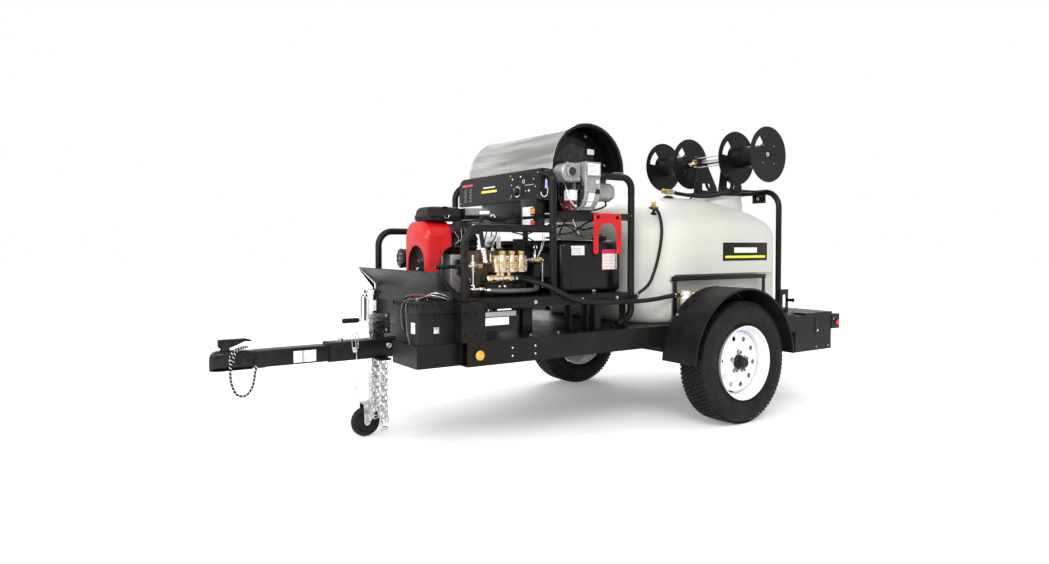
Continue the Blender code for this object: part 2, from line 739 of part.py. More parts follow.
def make_belt_drive():
    pulley("pump_pulley", PUMP_SHAFT, PUMP_PULLEY_R, -1.1847, 32)
    engine, pump = belt_circles()
    loops = [stadium(engine, pump, BELT_THICK, 14), stadium(engine, pump, 0.0008, 14)]
    outline("drive_belt", loops, "YZ", BELT_X0 + 0.001, BELT_X1 - 0.001, RUBBER)
    guard = outline("belt_guard", [stadium(engine, pump, 0.030, 8)], "YZ", -1.150, -1.040, BLACK_PAINT)
    hollow = outline("guard_hollow", [stadium(engine, pump, 0.027, 8)], "YZ", -1.160, -1.043, BLACK_PAINT)
    foot = box("guard_foot", (-1.060, -0.300, SKID_HIGH + GAP), (-1.041, 0.000, 0.800), BLACK_PAINT)
    guard = as_mesh(guard)
    fuse(guard, foot)
    cut(guard, hollow)


def make_engine_top():
    low, high = (-1.610, ENGINE_Y - 0.130, 1.1303), (-1.400, ENGINE_Y + 0.060, 1.205)
    box("air_cleaner", low, high, BLACK_PLASTIC, edge=0.020)
    cylinder("muffler", (-1.600, 0.245, 0.930), (-1.320, 0.245, 0.930), 0.055, BLACK_PAINT, 20)


def make_pump():
    """A three-cylinder pump: crankcase, brass head with its valve caps, and the unloader below."""
    low, high = (-1.455, -0.355, SKID_HIGH + GAP), (-1.185, -0.215, 0.975)
    box("pump_crankcase", low, high, BRONZE, edge=0.012)
    head = box("pump_head", (-1.395, -0.452, 0.866), (-1.200, -0.3553, 0.955), BRASS, edge=0.006)
    caps = []
    for i in range(3):
        x = -1.3525 + 0.055 * i
        caps.append(cylinder(f"valve_cap_{i}", (x, -0.404, 0.950), (x, -0.404, 0.975), 0.022, BRASS, 12))
    front, back = (-1.440, UNLOADER_Y, UNLOADER_Z), (-1.288, UNLOADER_Y, UNLOADER_Z)
    unloader = cylinder("unloader", front, back, 0.020, BRASS, 12)
    neck_low, neck_high = (-1.350, UNLOADER_Y, UNLOADER_Z), (-1.350, UNLOADER_Y, 0.880)
    neck = cylinder("unloader_neck", neck_low, neck_high, 0.014, BRASS, 12)
    fuse(as_mesh(head), *caps, unloader, neck)
    knob_front, knob_back = (-1.465, UNLOADER_Y, UNLOADER_Z), (-1.4403, UNLOADER_Y, UNLOADER_Z)
    knob = cylinder("unloader_knob", knob_front, knob_back, 0.019, BLACK_PLASTIC, 16)
    pivot(knob, knob_front)


# Heater -----------------------------------------------------------------------------------------


def make_coil():
    """Stainless wrap over the drum that holds the coil, on a base between the tall hoops."""
    centre = (BARREL_X, BARREL_Z)
    skirt, wall = -4, 0.004
    wrap = arc(centre, BARREL_R, skirt, 180 - skirt, 21)
    wrap += arc(centre, BARREL_R - wall, 180 - skirt, skirt, 21)
    outline("coil_wrap", [wrap], "XZ", BARREL_Y0, BARREL_Y1, STAINLESS)
    base = box(
        "coil_drum",
        (CAGE_MIDDLE + 0.060, -CAGE_Y + CAGE_TUBE + 0.001, BASE_LOW),
        (CAGE_BACK - 0.030, CAGE_Y - CAGE_TUBE - 0.001, BASE_LOW + 0.024),
        BLACK_PAINT,
    )
    body = outline("drum_body", [circle(centre, DRUM_R, 28)], "XZ", DRUM_Y0, DRUM_Y1, ZINC)
    hole_near, hole_far = (FLAME_X, DRUM_Y0 - 0.01, FLAME_Z), (FLAME_X, DRUM_Y0 + 0.02, FLAME_Z)
    flame_hole = cylinder("flame_hole", hole_near, hole_far, 0.045, ZINC, 16)
    saddles = [
        box(
            f"saddle_{y}",
            (BARREL_X - 0.100, y - 0.015, BASE_LOW + 0.010),
            (BARREL_X + 0.100, y + 0.015, BARREL_Z - DRUM_R + 0.030),
            BLACK_PAINT,
        )
        for y in (-0.250, 0.320)
    ]
    end_wall = 0.006
    inside_near = (BARREL_X, DRUM_Y0 + end_wall, BARREL_Z)
    inside_far = (BARREL_X, DRUM_Y1 - end_wall, BARREL_Z)
    inside = cylinder("drum_inside", inside_near, inside_far, DRUM_R - 0.007, ZINC, 28)
    drum = fuse(base, *saddles, body)
    cut(drum, inside, flame_hole)
    coil = [circle(centre, 0.205, 24), circle(centre, 0.180, 24)]
    outline("heating_coil", coil, "XZ", DRUM_Y0 + 0.040, DRUM_Y1 - 0.040, ZINC)


def make_burner():
    """A cast scroll with its motor and igniter, bolted to the drum's near end by the flame tube."""
    y, z, x0, x1 = BURNER_Y, BURNER_Z, BURNER_X0, BURNER_X1
    scroll = arc((y, z), BURNER_R, 180, 360, 15)
    scroll += arc((y, z), BURNER_R, 15, 75, 6) + [(y, 1.432), (y - BURNER_R, 1.432)]
    housing = as_mesh(outline("burner_housing", [scroll], "YZ", x0, x1, CAST_ALUMINIUM))
    motor = cylinder("burner_motor", (x1 - 0.005, y, z), (-0.672, y, z), 0.050, CAST_ALUMINIUM, 16)
    flame_near, flame_far = (FLAME_X, -0.390, FLAME_Z), (FLAME_X, DRUM_Y0 - GAP, FLAME_Z)
    flame = cylinder("flame_tube", flame_near, flame_far, FLAME_R, CAST_ALUMINIUM, 16)
    igniter = box("igniter", (-1.065, -0.545, 1.328), (x0 + 0.0005, -0.455, 1.425), CAST_ALUMINIUM)
    fuse(housing, motor, flame)
    chamber = cylinder("blower_chamber", (x0 - 0.02, y, z), (x1 - 0.006, y, z), 0.096, CAST_ALUMINIUM, 24)
    cut(housing, chamber)
    strut_low, strut_high = (x0 - 0.010, -0.500, z - 0.115), (x0 + 0.001, -0.470, z + 0.100)
    strut = box("pump_strut", strut_low, strut_high, CAST_ALUMINIUM)
    fuel_unit = box("fuel_unit", (-1.000, -0.525, 1.178), (x0 - 0.003, -0.455, 1.290), CAST_ALUMINIUM)
    fuse(housing, igniter, strut, fuel_unit)
    front = (x0 + 0.003, y, z)
    wheel = cylinder("blower_wheel", front, (x1 - 0.0075, y, z), 0.090, ZINC, 24)
    cut(wheel, cylinder("blower_eye", (x0 - 0.01, y, z), (x1 - 0.020, y, z), 0.072, ZINC, 24))
    pivot(wheel, front)


def make_panel():
    corner = 0.060
    face = [(-PANEL_Y, PANEL_LOW), (PANEL_Y, PANEL_LOW)]
    face += arc((PANEL_Y - corner, PANEL_HIGH - corner), corner, 0, 90, 6)
    face.append((-PANEL_Y, PANEL_HIGH))
    panel = outline("control_panel", [face], "YZ", PANEL_X, PANEL_BACK, BLACK_PAINT)
    lower = box("switch_box", (PANEL_X, -0.257, 1.085), (PANEL_BACK, 0.167, PANEL_LOW + 0.005), BLACK_PAINT)
    fuse(panel, lower)
    knob_at, knob_foot = (PANEL_X - 0.024, -0.215, 1.290), (PANEL_X - GAP, -0.215, 1.290)
    knob = cylinder("thermostat_knob", knob_at, knob_foot, 0.020, BLACK_PLASTIC, 16, end_radius=0.023)
    pivot(knob, knob_at)
    toggle_at = Vector((PANEL_X - 0.006, -0.330, 1.290))
    lean = Vector((-math.cos(TOGGLE_LEAN), 0, -math.sin(TOGGLE_LEAN)))
    toggle_tip = toggle_at + lean * 0.022
    toggle = cylinder("burner_switch", toggle_at, toggle_tip, 0.0030, ZINC, 10, end_radius=0.0042)
    bm = bmesh.new()
    bmesh.ops.create_uvsphere(bm, u_segments=12, v_segments=8, radius=0.0055)
    bmesh.ops.translate(bm, vec=toggle_at, verts=bm.verts)
    fuse(toggle, object_of("toggle_ball", bm, ZINC))
    pivot(toggle, toggle_at)


def make_fuel_tank():
    box("fuel_tank", (-0.990, -0.440, SKID_HIGH + GAP), (-0.572, 0.400, 1.030), BLACK_PLASTIC, edge=0.025)
    foot = (-0.680, -0.370, 1.0303)
    cap = cylinder("fuel_cap", foot, (-0.680, -0.370, 1.062), 0.042, BLACK_PLASTIC, 20, end_radius=0.038)
    pivot(cap, foot)


def make_wand_holder():
    """A red plate in the shape of an arch, hung outside the tie bar."""
    x0, x1, low, high, leg = -0.860, -0.668, 0.955, 1.172, 0.034
    middle = (x0 + x1) / 2
    view = [(x0, low), (x0 + leg, low), (x0 + leg, low + 0.060)]
    view += arc((middle, 1.045), middle - x0 - leg, 180, 0, 9)
    view += [(x1 - leg, low + 0.060), (x1 - leg, low), (x1, low), (x1, high), (x0, high)]
    back = -CAGE_Y - CAGE_TUBE - 0.001
    outline("wand_holder", [view], "XZ", back - 0.004, back, RED_PAINT)


# Water ------------------------------------------------------------------------------------------


def make_water_tank():
    """A moulded tank with a well over each wheel, a domed top and a filling neck."""
    levels = (
        (TANK_LOW, 0.030, 0.030, 0.260),
        (TANK_LOW + 0.035, 0.000, 0.000, 0.290),
        (1.060, 0.000, 0.000, 0.290),
        (1.105, 0.008, 0.012, 0.288),
        (1.145, 0.025, 0.040, 0.285),
        (1.185, 0.055, 0.095, 0.275),
        (1.220, 0.095, 0.165, 0.260),
        (1.250, 0.145, 0.245, 0.240),
        (1.280, 0.215, 0.330, 0.200),
        (1.303, 0.300, 0.410, 0.130),
        (1.315, 0.400, 0.470, 0.070),
    )
    sections = [
        rounded_ring(TANK_X, TANK_HALF_L - end, 0.550 - side, corner, z)
        for z, end, side, corner in levels
    ]
    tank = loft("water_tank", sections, WHITE_POLY)
    neck_low, neck_high = (NECK_X, NECK_Y, 1.140), (NECK_X, NECK_Y, NECK_TOP)
    neck = cylinder("filling_neck", neck_low, neck_high, NECK_R + 0.015, WHITE_POLY, 28, end_radius=NECK_R)
    fuse(tank, neck)
    for side in (-1, 1):
        across = (side * WELL_Y, side * 0.600)
        low, high = (WELL_FRONT, min(across), 0.500), (0.850, max(across), WELL_TOP)
        cut(tank, box(f"wheel_well_{side}", low, high, WHITE_POLY))
    foot, lid_top = (NECK_X, NECK_Y, NECK_TOP + GAP), (NECK_X, NECK_Y, NECK_TOP + 0.022)
    pivot(cylinder("manway_lid", foot, lid_top, NECK_R + 0.006, BLACK_PLASTIC, 28), foot)


def make_plumbing():
    """The suction strainer by the tank, the hose from it to the pump and the hose back to the tank."""
    x, y, z, bowl_r, pipe_r = -0.197, -0.5634, 0.720, 0.036, 0.0128
    low, high = (x, y, 0.620), (x, y, 0.700)
    strainer = cylinder("water_filter", low, high, 0.026, WHITE_POLY, 16, end_radius=bowl_r)
    top = cylinder("filter_head", (x, y, 0.698), (x, y, 0.742), bowl_r, WHITE_POLY, 16)
    inlet = cylinder("filter_inlet", (x, y, z), (x + 0.075, y, z), pipe_r, BRASS, 12)
    outlet = cylinder("filter_outlet", (x, y, z), (x - 0.055, y, z), pipe_r, BRASS, 12)
    port_near, port_far = (x + 0.060, y, z), (x + 0.060, -WELL_Y - GAP, z)
    fuse(strainer, top, inlet, outlet, cylinder("tank_port", port_near, port_far, 0.0125, BRASS, 12))
    suction = [
        (x - 0.0555, y, z),
        (x - 0.085, y, z),
        (x - 0.160, y - 0.008, 0.714),
        (-0.460, -0.574, 0.704),
        (-0.620, -0.578, 0.700),
        (-0.880, -0.578, 0.706),
        (-1.000, -0.578, 0.726),
        (-1.090, -0.576, 0.762),
        (-1.160, -0.560, 0.796),
        (-1.205, -0.500, 0.818),
        (-1.240, -0.436, 0.832),
        (-1.266, UNLOADER_Y, UNLOADER_Z),
        (-1.2877, UNLOADER_Y, UNLOADER_Z),
    ]
    tube("suction_hose", flowing(suction, 0.036), 0.0130, RUBBER)
    back = [
        (-0.3082, -0.4148, 1.1871),
        (-0.3167, -0.4275, 1.2093),
        (-0.3300, -0.4600, 1.2080),
        (-0.3400, -0.4950, 1.1750),
        (-0.3520, -0.5250, 1.1100),
        (-0.3640, -0.5350, 1.0400),
        (-0.3750, -0.5300, 0.9600),
        (-0.4000, -0.5280, 0.8800),
        (-0.4500, -0.5380, 0.8000),
        (-0.5050, -0.5480, 0.7620),
        (-0.5440, -0.5530, 0.7450),
    ]
    tube("return_hose", flowing(back, 0.035), 0.0090, RUBBER)


# Hose reels -------------------------------------------------------------------------------------


def make_reel_stand():
    """A hoop behind the tank with two plates over the manway, which carry both reels."""
    hoop = bent(
        [
            (STAND_X, -STAND_Y, DECK_HIGH + GAP),
            (STAND_X, -STAND_Y, STAND_TOP),
            (STAND_X, STAND_Y, STAND_TOP),
            (STAND_X, STAND_Y, DECK_HIGH + GAP),
        ],
        0.110,
    )
    stand = as_mesh(tube("reel_stand", hoop, CAGE_TUBE, BLACK_PAINT))
    plates = []
    for i, y in enumerate(STAND_PLATES):
        view = [(0.600, 1.362), (0.845, 1.362), (0.845, 1.420), (0.725, 1.630), (0.641, 1.630)]
        plates.append(outline(f"stand_plate_{i}", [view], "XZ", y - 0.003, y + 0.003, BLACK_PAINT))
    shaft = (REEL_Y["left_reel"][1] + GAP, REEL_Y["right_reel"][0] - GAP)
    axle = cylinder("reel_axle", (REEL_X, shaft[0], REEL_Z), (REEL_X, shaft[1], REEL_Z), 0.020, ZINC, 14)
    fuse(stand, *plates, axle)


def make_reel(name):
    low, high = REEL_Y[name]
    half = (high - low) / 2
    profile = [
        (0.000, half),
        (REEL_DISC_R, half),
        (REEL_DISC_R, half - 0.006),
        (REEL_DRUM_R, half - 0.006),
        (REEL_DRUM_R, -half + 0.006),
        (REEL_DISC_R, -half + 0.006),
        (REEL_DISC_R, -half),
        (0.000, -half),
    ]
    turned(name, profile, (REEL_X, (low + high) / 2, REEL_Z), (0, 1, 0), BLACK_PAINT, 32, closed=False)


# Jack -------------------------------------------------------------------------------------------


def make_jack():
    """A side-wind jack: outer tube on its swivel, sliding inner tube with the caster, and crank."""
    def upright(name, low, high, radius):
        return cylinder(name, (JACK_X, JACK_Y, low), (JACK_X, JACK_Y, high), radius, ZINC, 20)

    outer = upright("jack_outer_tube", 0.330, JACK_TOP, JACK_OUTER_R)
    bore = upright("jack_bore", 0.320, 0.720, JACK_INNER_R + 0.0008)
    swivel_near = (JACK_X, JACK_Y - JACK_OUTER_R - 0.003, JACK_PIVOT_Z)
    swivel_at = (JACK_X, JACK_Y, JACK_PIVOT_Z)
    fuse(outer, cylinder("jack_swivel", swivel_near, swivel_at, 0.036, ZINC, 20))
    cut(outer, bore)
    pivot(outer, swivel_at)

    inner = upright("jack_inner_tube", 0.180, 0.570, JACK_INNER_R)
    front, back, half, crown_low = -1.875, JACK_X + 0.023, 0.034, 0.170
    crown = box("fork_crown", (front, JACK_Y - half, crown_low), (back, JACK_Y + half, 0.182), ZINC)
    fork = []
    for side in (-1, 1):
        cheek = (JACK_Y + side * half, JACK_Y + side * (half - 0.004))
        view = [(CASTER_X - 0.020, 0.066), (CASTER_X + 0.020, 0.066), (back, 0.175), (front, 0.175)]
        fork.append(outline(f"fork_cheek_{side}", [view], "XZ", min(cheek), max(cheek), ZINC))
    pin_near, pin_far = (CASTER_X, JACK_Y - 0.036, CASTER_R), (CASTER_X, JACK_Y + 0.036, CASTER_R)
    fuse(inner, crown, *fork, cylinder("caster_pin", pin_near, pin_far, 0.006, ZINC, 12))

    grow, half = 1 / math.cos(math.pi / 24), 0.0245
    wheel = [
        (0.0070, half),
        (0.060, half),
        (CASTER_R * grow, half - 0.008),
        (CASTER_R * grow, -half + 0.008),
        (0.060, -half),
        (0.0070, -half),
    ]
    turned("jack_wheel", wheel, (CASTER_X, JACK_Y, CASTER_R), (0, 1, 0), RUBBER, 24)

    top, front = 0.742, JACK_X - JACK_OUTER_R - GAP
    route = [
        (front, JACK_Y, top),
        (-1.872, JACK_Y, top),
        (-1.872, JACK_Y, 0.612),
        (-1.890, JACK_Y, 0.612),
    ]
    crank = as_mesh(tube("jack_crank", bent(route, 0.010, 2), 0.006, ZINC))
    grip_near, grip_far = (-1.885, JACK_Y, 0.612), (-1.975, JACK_Y, 0.612)
    fuse(crank, cylinder("crank_grip", grip_near, grip_far, 0.013, BLACK_PLASTIC, 14))
    pivot(crank, (front, JACK_Y, top))


# The whole object -------------------------------------------------------------------------------

for prefix, way in (("left", -1), ("right", 1)):
    make_rail(f"{prefix}_rail", way)
    make_fender(f"{prefix}_fender", way)
    make_wheel(prefix, way)
    make_marker(f"{prefix}_marker_light", way)
    make_cage(f"{prefix}_cage", way)
    make_reel(f"{prefix}_reel")
make_deck_frame()
make_battery_tray()
make_tongue()
make_coupler()
make_wiring_loop()
make_chains()
make_axle()
make_toolbox()
make_skid_base()
make_front_guard()
make_batteries()
make_engine_block()
make_engine_shroud()
make_crankshaft()
make_belt_drive()
make_engine_top()
make_pump()
make_coil()
make_burner()
make_panel()
make_fuel_tank()
make_wand_holder()
make_water_tank()
make_plumbing()
make_reel_stand()
make_jack()
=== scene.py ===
"""The looks of the trailer-mounted hot-water pressure washer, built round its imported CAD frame.

Places are given from the axle, as in the CAD source: X = 0 at the axle, towards the tail, Y across,
Z = 0 on the ground. Each piece is moved by the axle's own place when it is finished.
"""

import math

import bmesh
import bpy
from mathutils import Matrix, Vector


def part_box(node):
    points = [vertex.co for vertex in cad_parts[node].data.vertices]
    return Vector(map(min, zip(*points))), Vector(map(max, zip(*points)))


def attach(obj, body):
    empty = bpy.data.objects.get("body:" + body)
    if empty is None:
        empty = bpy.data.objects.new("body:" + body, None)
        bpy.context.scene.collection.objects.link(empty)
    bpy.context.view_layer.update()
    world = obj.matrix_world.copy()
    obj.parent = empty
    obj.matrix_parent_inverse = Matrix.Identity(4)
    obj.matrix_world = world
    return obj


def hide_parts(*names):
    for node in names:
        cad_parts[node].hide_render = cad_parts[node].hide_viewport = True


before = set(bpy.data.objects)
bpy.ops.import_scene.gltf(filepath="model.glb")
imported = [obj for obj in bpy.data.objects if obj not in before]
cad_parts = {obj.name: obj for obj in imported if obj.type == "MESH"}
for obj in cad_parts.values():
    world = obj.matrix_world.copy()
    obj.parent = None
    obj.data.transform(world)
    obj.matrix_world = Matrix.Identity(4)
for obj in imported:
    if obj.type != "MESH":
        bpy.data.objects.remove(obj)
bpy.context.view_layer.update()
AXLE_LOW, AXLE_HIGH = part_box("axle_beam")
TO_WORLD = Matrix.Translation(((AXLE_LOW.x + AXLE_HIGH.x) / 2, 0, 0))
GAP = 0.0003


# Camera, floor and light ------------------------------------------------------------------------


def make_camera():
    """A camera that stands ahead of the trailer and to its left."""
    place, yaw, pitch = Vector((-2.541, -3.443, 0.998)), 0.596, 0.027
    focal_share = 713.2 / 1049
    forward = Vector((math.sin(yaw) * math.cos(pitch), math.cos(yaw) * math.cos(pitch), -math.sin(pitch)))
    right = Vector((math.cos(yaw), -math.sin(yaw), 0))
    up = right.cross(forward)
    data = bpy.data.cameras.new("camera")
    data.sensor_width = 36
    data.lens = focal_share * data.sensor_width
    data.shift_x, data.shift_y = -0.00496, -0.01582
    data.clip_end = 200
    camera = bpy.data.objects.new("camera", data)
    turn = Matrix((right, up, -forward)).transposed().to_4x4()
    camera.matrix_world = Matrix.Translation(place) @ turn
    bpy.context.scene.collection.objects.link(camera)
    bpy.context.scene.camera = camera


def area_light(name, place, target, size, power):
    """A rectangular lamp at a place, turned to its target."""
    data = bpy.data.lights.new(name, "AREA")
    data.shape = "RECTANGLE"
    data.size, data.size_y = size
    data.energy = power
    light = bpy.data.objects.new(name, data)
    light.location = place
    light.rotation_euler = (Vector(target) - Vector(place)).to_track_quat("-Z", "Y").to_euler()
    bpy.context.scene.collection.objects.link(light)


def make_studio():
    """A white room: soft sky, three lamps and a pale floor."""
    world = bpy.data.worlds.new("studio")
    world.use_nodes = True
    world.node_tree.nodes["Background"].inputs["Color"].default_value = (1, 1, 1, 1)
    world.node_tree.nodes["Background"].inputs["Strength"].default_value = 1.0
    bpy.context.scene.world = world
    bpy.context.scene.view_settings.view_transform = "Standard"
    area_light("key", (-3.5, -5.0, 5.0), (0.2, 0, 0.7), (4.0, 3.0), 330)
    area_light("front_fill", (-5.5, -1.0, 2.6), (-0.5, 0, 0.8), (3.0, 2.5), 120)
    area_light("rear_rim", (4.0, 4.5, 4.0), (0, 0, 0.8), (3.5, 2.5), 170)
    bm = bmesh.new()
    bmesh.ops.create_grid(bm, x_segments=1, y_segments=1, size=40)
    mesh = bpy.data.meshes.new("floor")
    bm.to_mesh(mesh)
    bm.free()
    floor = bpy.data.objects.new("floor", mesh)
    floor.location.z = -0.001
    bpy.context.scene.collection.objects.link(floor)
    ground = surface("floor", (0.86, 0.86, 0.86), (0.88, 0.88, 0.88), 0.9, grain=0.6)
    glow = ground.node_tree.nodes["Principled BSDF"].inputs
    glow["Emission Color"].default_value = (1, 1, 1, 1)
    glow["Emission Strength"].default_value = 0.22
    mesh.materials.append(ground)


# Materials --------------------------------------------------------------------------------------


def surface(name, dark, light, roughness, metallic=0.0, grain=8.0, spread=0.06, bump=0.0, fine=300.0,
            stretch=(1, 1, 1), coat=0.0, specular=0.5, see_through=0.0):
    """A finish whose colour drifts in soft clouds, whose gloss varies and whose skin has a fine grain."""
    made = bpy.data.materials.new(name)
    made.use_nodes = True
    tree = made.node_tree
    nodes, links = tree.nodes, tree.links
    shader = nodes["Principled BSDF"]
    shader.inputs["Metallic"].default_value = metallic
    shader.inputs["Coat Weight"].default_value = coat
    shader.inputs["Coat Roughness"].default_value = 0.12
    shader.inputs["Specular IOR Level"].default_value = specular
    shader.inputs["Transmission Weight"].default_value = see_through
    coords = nodes.new("ShaderNodeTexCoord")
    mapping = nodes.new("ShaderNodeMapping")
    mapping.inputs["Scale"].default_value = stretch
    links.new(coords.outputs["Object"], mapping.inputs["Vector"])

    def noise(scale, detail):
        made_noise = nodes.new("ShaderNodeTexNoise")
        made_noise.inputs["Scale"].default_value = scale
        made_noise.inputs["Detail"].default_value = detail
        links.new(mapping.outputs["Vector"], made_noise.inputs["Vector"])
        return made_noise.outputs["Fac"]

    clouds = noise(grain, 5.0)
    ramp = nodes.new("ShaderNodeValToRGB")
    ramp.color_ramp.elements[0].position, ramp.color_ramp.elements[1].position = 0.35, 0.68
    ramp.color_ramp.elements[0].color, ramp.color_ramp.elements[1].color = (*dark, 1), (*light, 1)
    links.new(clouds, ramp.inputs["Fac"])
    links.new(ramp.outputs["Color"], shader.inputs["Base Color"])
    gloss = nodes.new("ShaderNodeMapRange")
    gloss.inputs["From Min"].default_value, gloss.inputs["From Max"].default_value = 0.3, 0.7
    gloss.inputs["To Min"].default_value = max(0.02, roughness - spread)
    gloss.inputs["To Max"].default_value = min(1.0, roughness + spread)
    links.new(noise(grain * 3.1, 6.0), gloss.inputs["Value"])
    links.new(gloss.outputs["Result"], shader.inputs["Roughness"])
    if bump:
        relief = nodes.new("ShaderNodeBump")
        relief.inputs["Strength"].default_value = bump
        relief.inputs["Distance"].default_value = 0.001
        links.new(noise(fine, 3.0), relief.inputs["Height"])
        links.new(relief.outputs["Normal"], shader.inputs["Normal"])
    return made


# name: (the record's slot, the finish)
FINISHES = {
    "black": ("black_paint", surface("powder_black", (0.0045, 0.0038, 0.0036), (0.0095, 0.0082, 0.0078), 0.34,
                                     grain=5, bump=0.1, fine=700, specular=0.17)),
    "satin": ("black_paint", surface("satin_black", (0.0035, 0.003, 0.003), (0.0075, 0.0066, 0.0064), 0.2,
                                     grain=6, bump=0.05, fine=500, specular=0.24)),
    "plastic": ("black_plastic", surface("moulded_black", (0.006, 0.0053, 0.005),
                                         (0.012, 0.0108, 0.0102), 0.42,
                                         grain=12, bump=0.25, fine=1100, specular=0.16)),
    "grey": ("black_plastic", surface("moulded_grey", (0.16, 0.16, 0.155), (0.2, 0.2, 0.195), 0.45,
                                      grain=20, bump=0.15, fine=900, specular=0.3)),
    "rubber": ("tyre", surface("tyre_rubber", (0.0065, 0.0055, 0.0052), (0.014, 0.012, 0.0112), 0.62,
                               grain=14, spread=0.1, bump=0.3, fine=420, specular=0.16)),
    "hose": ("rubber", surface("hose_rubber", (0.006, 0.0055, 0.0055), (0.013, 0.012, 0.0115), 0.48,
                               grain=25, bump=0.35, fine=900, specular=0.18)),
    "grey_hose": ("rubber", surface("grey_hose_rubber", (0.075, 0.074, 0.073), (0.105, 0.103, 0.1), 0.48,
                                    grain=25, bump=0.3, fine=800)),
    "white": ("white_paint", surface("wheel_white", (0.7, 0.71, 0.74), (0.78, 0.79, 0.81), 0.3,
                                     grain=7, bump=0.03, fine=500, coat=0.3)),
    "label": ("white_paint", surface("label_white", (0.66, 0.66, 0.65), (0.74, 0.74, 0.73), 0.38, grain=60)),
    "print": ("black_plastic", surface("label_grey", (0.2, 0.2, 0.2), (0.27, 0.27, 0.27), 0.45, grain=80)),
    "yellow": ("amber_lens", surface("stripe_yellow", (0.8, 0.7, 0.02), (0.88, 0.78, 0.03), 0.35, grain=40)),
    "red": ("red_paint", surface("red_paint", (0.4, 0.003, 0.0042), (0.52, 0.0055, 0.0075), 0.28,
                                 grain=7, bump=0.05, fine=400, coat=0.15, specular=0.25)),
    "dark_red": ("red_paint", surface("dark_red_paint", (0.085, 0.006, 0.008), (0.14, 0.01, 0.012), 0.38,
                                      grain=30, bump=0.1, fine=500)),
    "pink": ("red_paint", surface("label_red", (0.55, 0.02, 0.07), (0.64, 0.03, 0.1), 0.4, grain=60,
                                  specular=0.2)),
    "amber": ("amber_lens", surface("amber_lens", (0.9, 0.24, 0.005), (1.0, 0.36, 0.01), 0.16,
                                    grain=60, bump=0.3, fine=250, coat=0.6)),
    "tail_red": ("red_paint", surface("tail_lens", (0.5, 0.004, 0.01), (0.66, 0.008, 0.014), 0.18,
                                      grain=60, coat=0.6)),
    "zinc": ("zinc", surface("zinc_plate", (0.36, 0.37, 0.38), (0.74, 0.75, 0.76), 0.24, metallic=1.0,
                             grain=35, spread=0.1, bump=0.1, fine=350)),
    "chrome": ("zinc", surface("bright_plate", (0.68, 0.69, 0.7), (0.82, 0.83, 0.84), 0.14, metallic=1.0,
                               grain=18, spread=0.05, bump=0.03, fine=250)),
    "galvanised": ("zinc", surface("galvanised", (0.3, 0.31, 0.32), (0.74, 0.75, 0.76), 0.34, metallic=1.0,
                                   grain=90, spread=0.12, bump=0.2, fine=350)),
    # Painted reflections: the stainless colour runs from dark to light in long streaks along the barrel's
    # axis, in place of reflected light and dark; only the fine bump is the brushing.
    "stainless": ("stainless", surface("brushed_steel_with_painted_reflections", (0.3, 0.295, 0.28), (0.7, 0.695, 0.68), 0.18,
                                       metallic=1.0, grain=5, spread=0.1, bump=0.04, fine=70,
                                       stretch=(3.5, 0.3, 3.5))),
    "cast": ("cast_aluminium", surface("cast_aluminium", (0.25, 0.25, 0.245), (0.36, 0.36, 0.35), 0.46,
                                       metallic=0.55, grain=25, spread=0.1, bump=0.45, fine=520)),
    "dark_metal": ("cast_aluminium", surface("dark_metal", (0.018, 0.016, 0.014), (0.05, 0.047, 0.043), 0.4,
                                             metallic=0.7, grain=30, spread=0.1, bump=0.3, fine=400)),
    "bronze": ("bronze", surface("bronze_casting", (0.04, 0.03, 0.016), (0.085, 0.064, 0.034), 0.44,
                                 metallic=0.4, grain=20, spread=0.1, bump=0.4, fine=420,
                                         specular=0.25)),
    "brass": ("brass", surface("machined_brass", (0.5, 0.33, 0.09), (0.78, 0.58, 0.24), 0.24, metallic=1.0,
                               grain=45, spread=0.1, bump=0.12, fine=350)),
    "forged_brass": ("brass", surface("forged_brass", (0.55, 0.44, 0.3), (0.8, 0.7, 0.55), 0.26,
                                      metallic=1.0, grain=45, spread=0.12, bump=0.25, fine=420)),
    "poly": ("white_poly", surface("moulded_poly", (0.5, 0.5, 0.455), (0.56, 0.56, 0.515), 0.42,
                                   grain=2.2, spread=0.07, bump=0.06, fine=160, specular=0.3)),
    "white_plastic": ("white_poly", surface("white_plastic", (0.62, 0.62, 0.6), (0.72, 0.72, 0.7), 0.36,
                                            grain=30, bump=0.05, fine=500)),
    "blue": ("white_poly", surface("connector_blue", (0.3, 0.34, 0.72), (0.42, 0.46, 0.8), 0.35, grain=60)),
    "orange": ("amber_lens", surface("rocker_orange", (0.72, 0.16, 0.01), (0.84, 0.22, 0.02), 0.3, grain=60)),
}


# Routes and outlines ----------------------------------------------------------------------------


def arc(centre, radius, start, end, count):
    """Points on an arc, in degrees, both ends included."""
    turns = [math.radians(start + (end - start) * i / (count - 1)) for i in range(count)]
    return [(centre[0] + radius * math.cos(t), centre[1] + radius * math.sin(t)) for t in turns]


def circle(centre, radius, count=32):
    """Points round a circle, without repeating the first."""
    return arc(centre, radius, 0, 360 - 360 / count, count)


def rounded_rectangle(a0, a1, b0, b1, corner, count=6):
    loop = arc((a1 - corner, b1 - corner), corner, 0, 90, count)
    loop += arc((a0 + corner, b1 - corner), corner, 90, 180, count)
    loop += arc((a0 + corner, b0 + corner), corner, 180, 270, count)
    return loop + arc((a1 - corner, b0 + corner), corner, 270, 360, count)


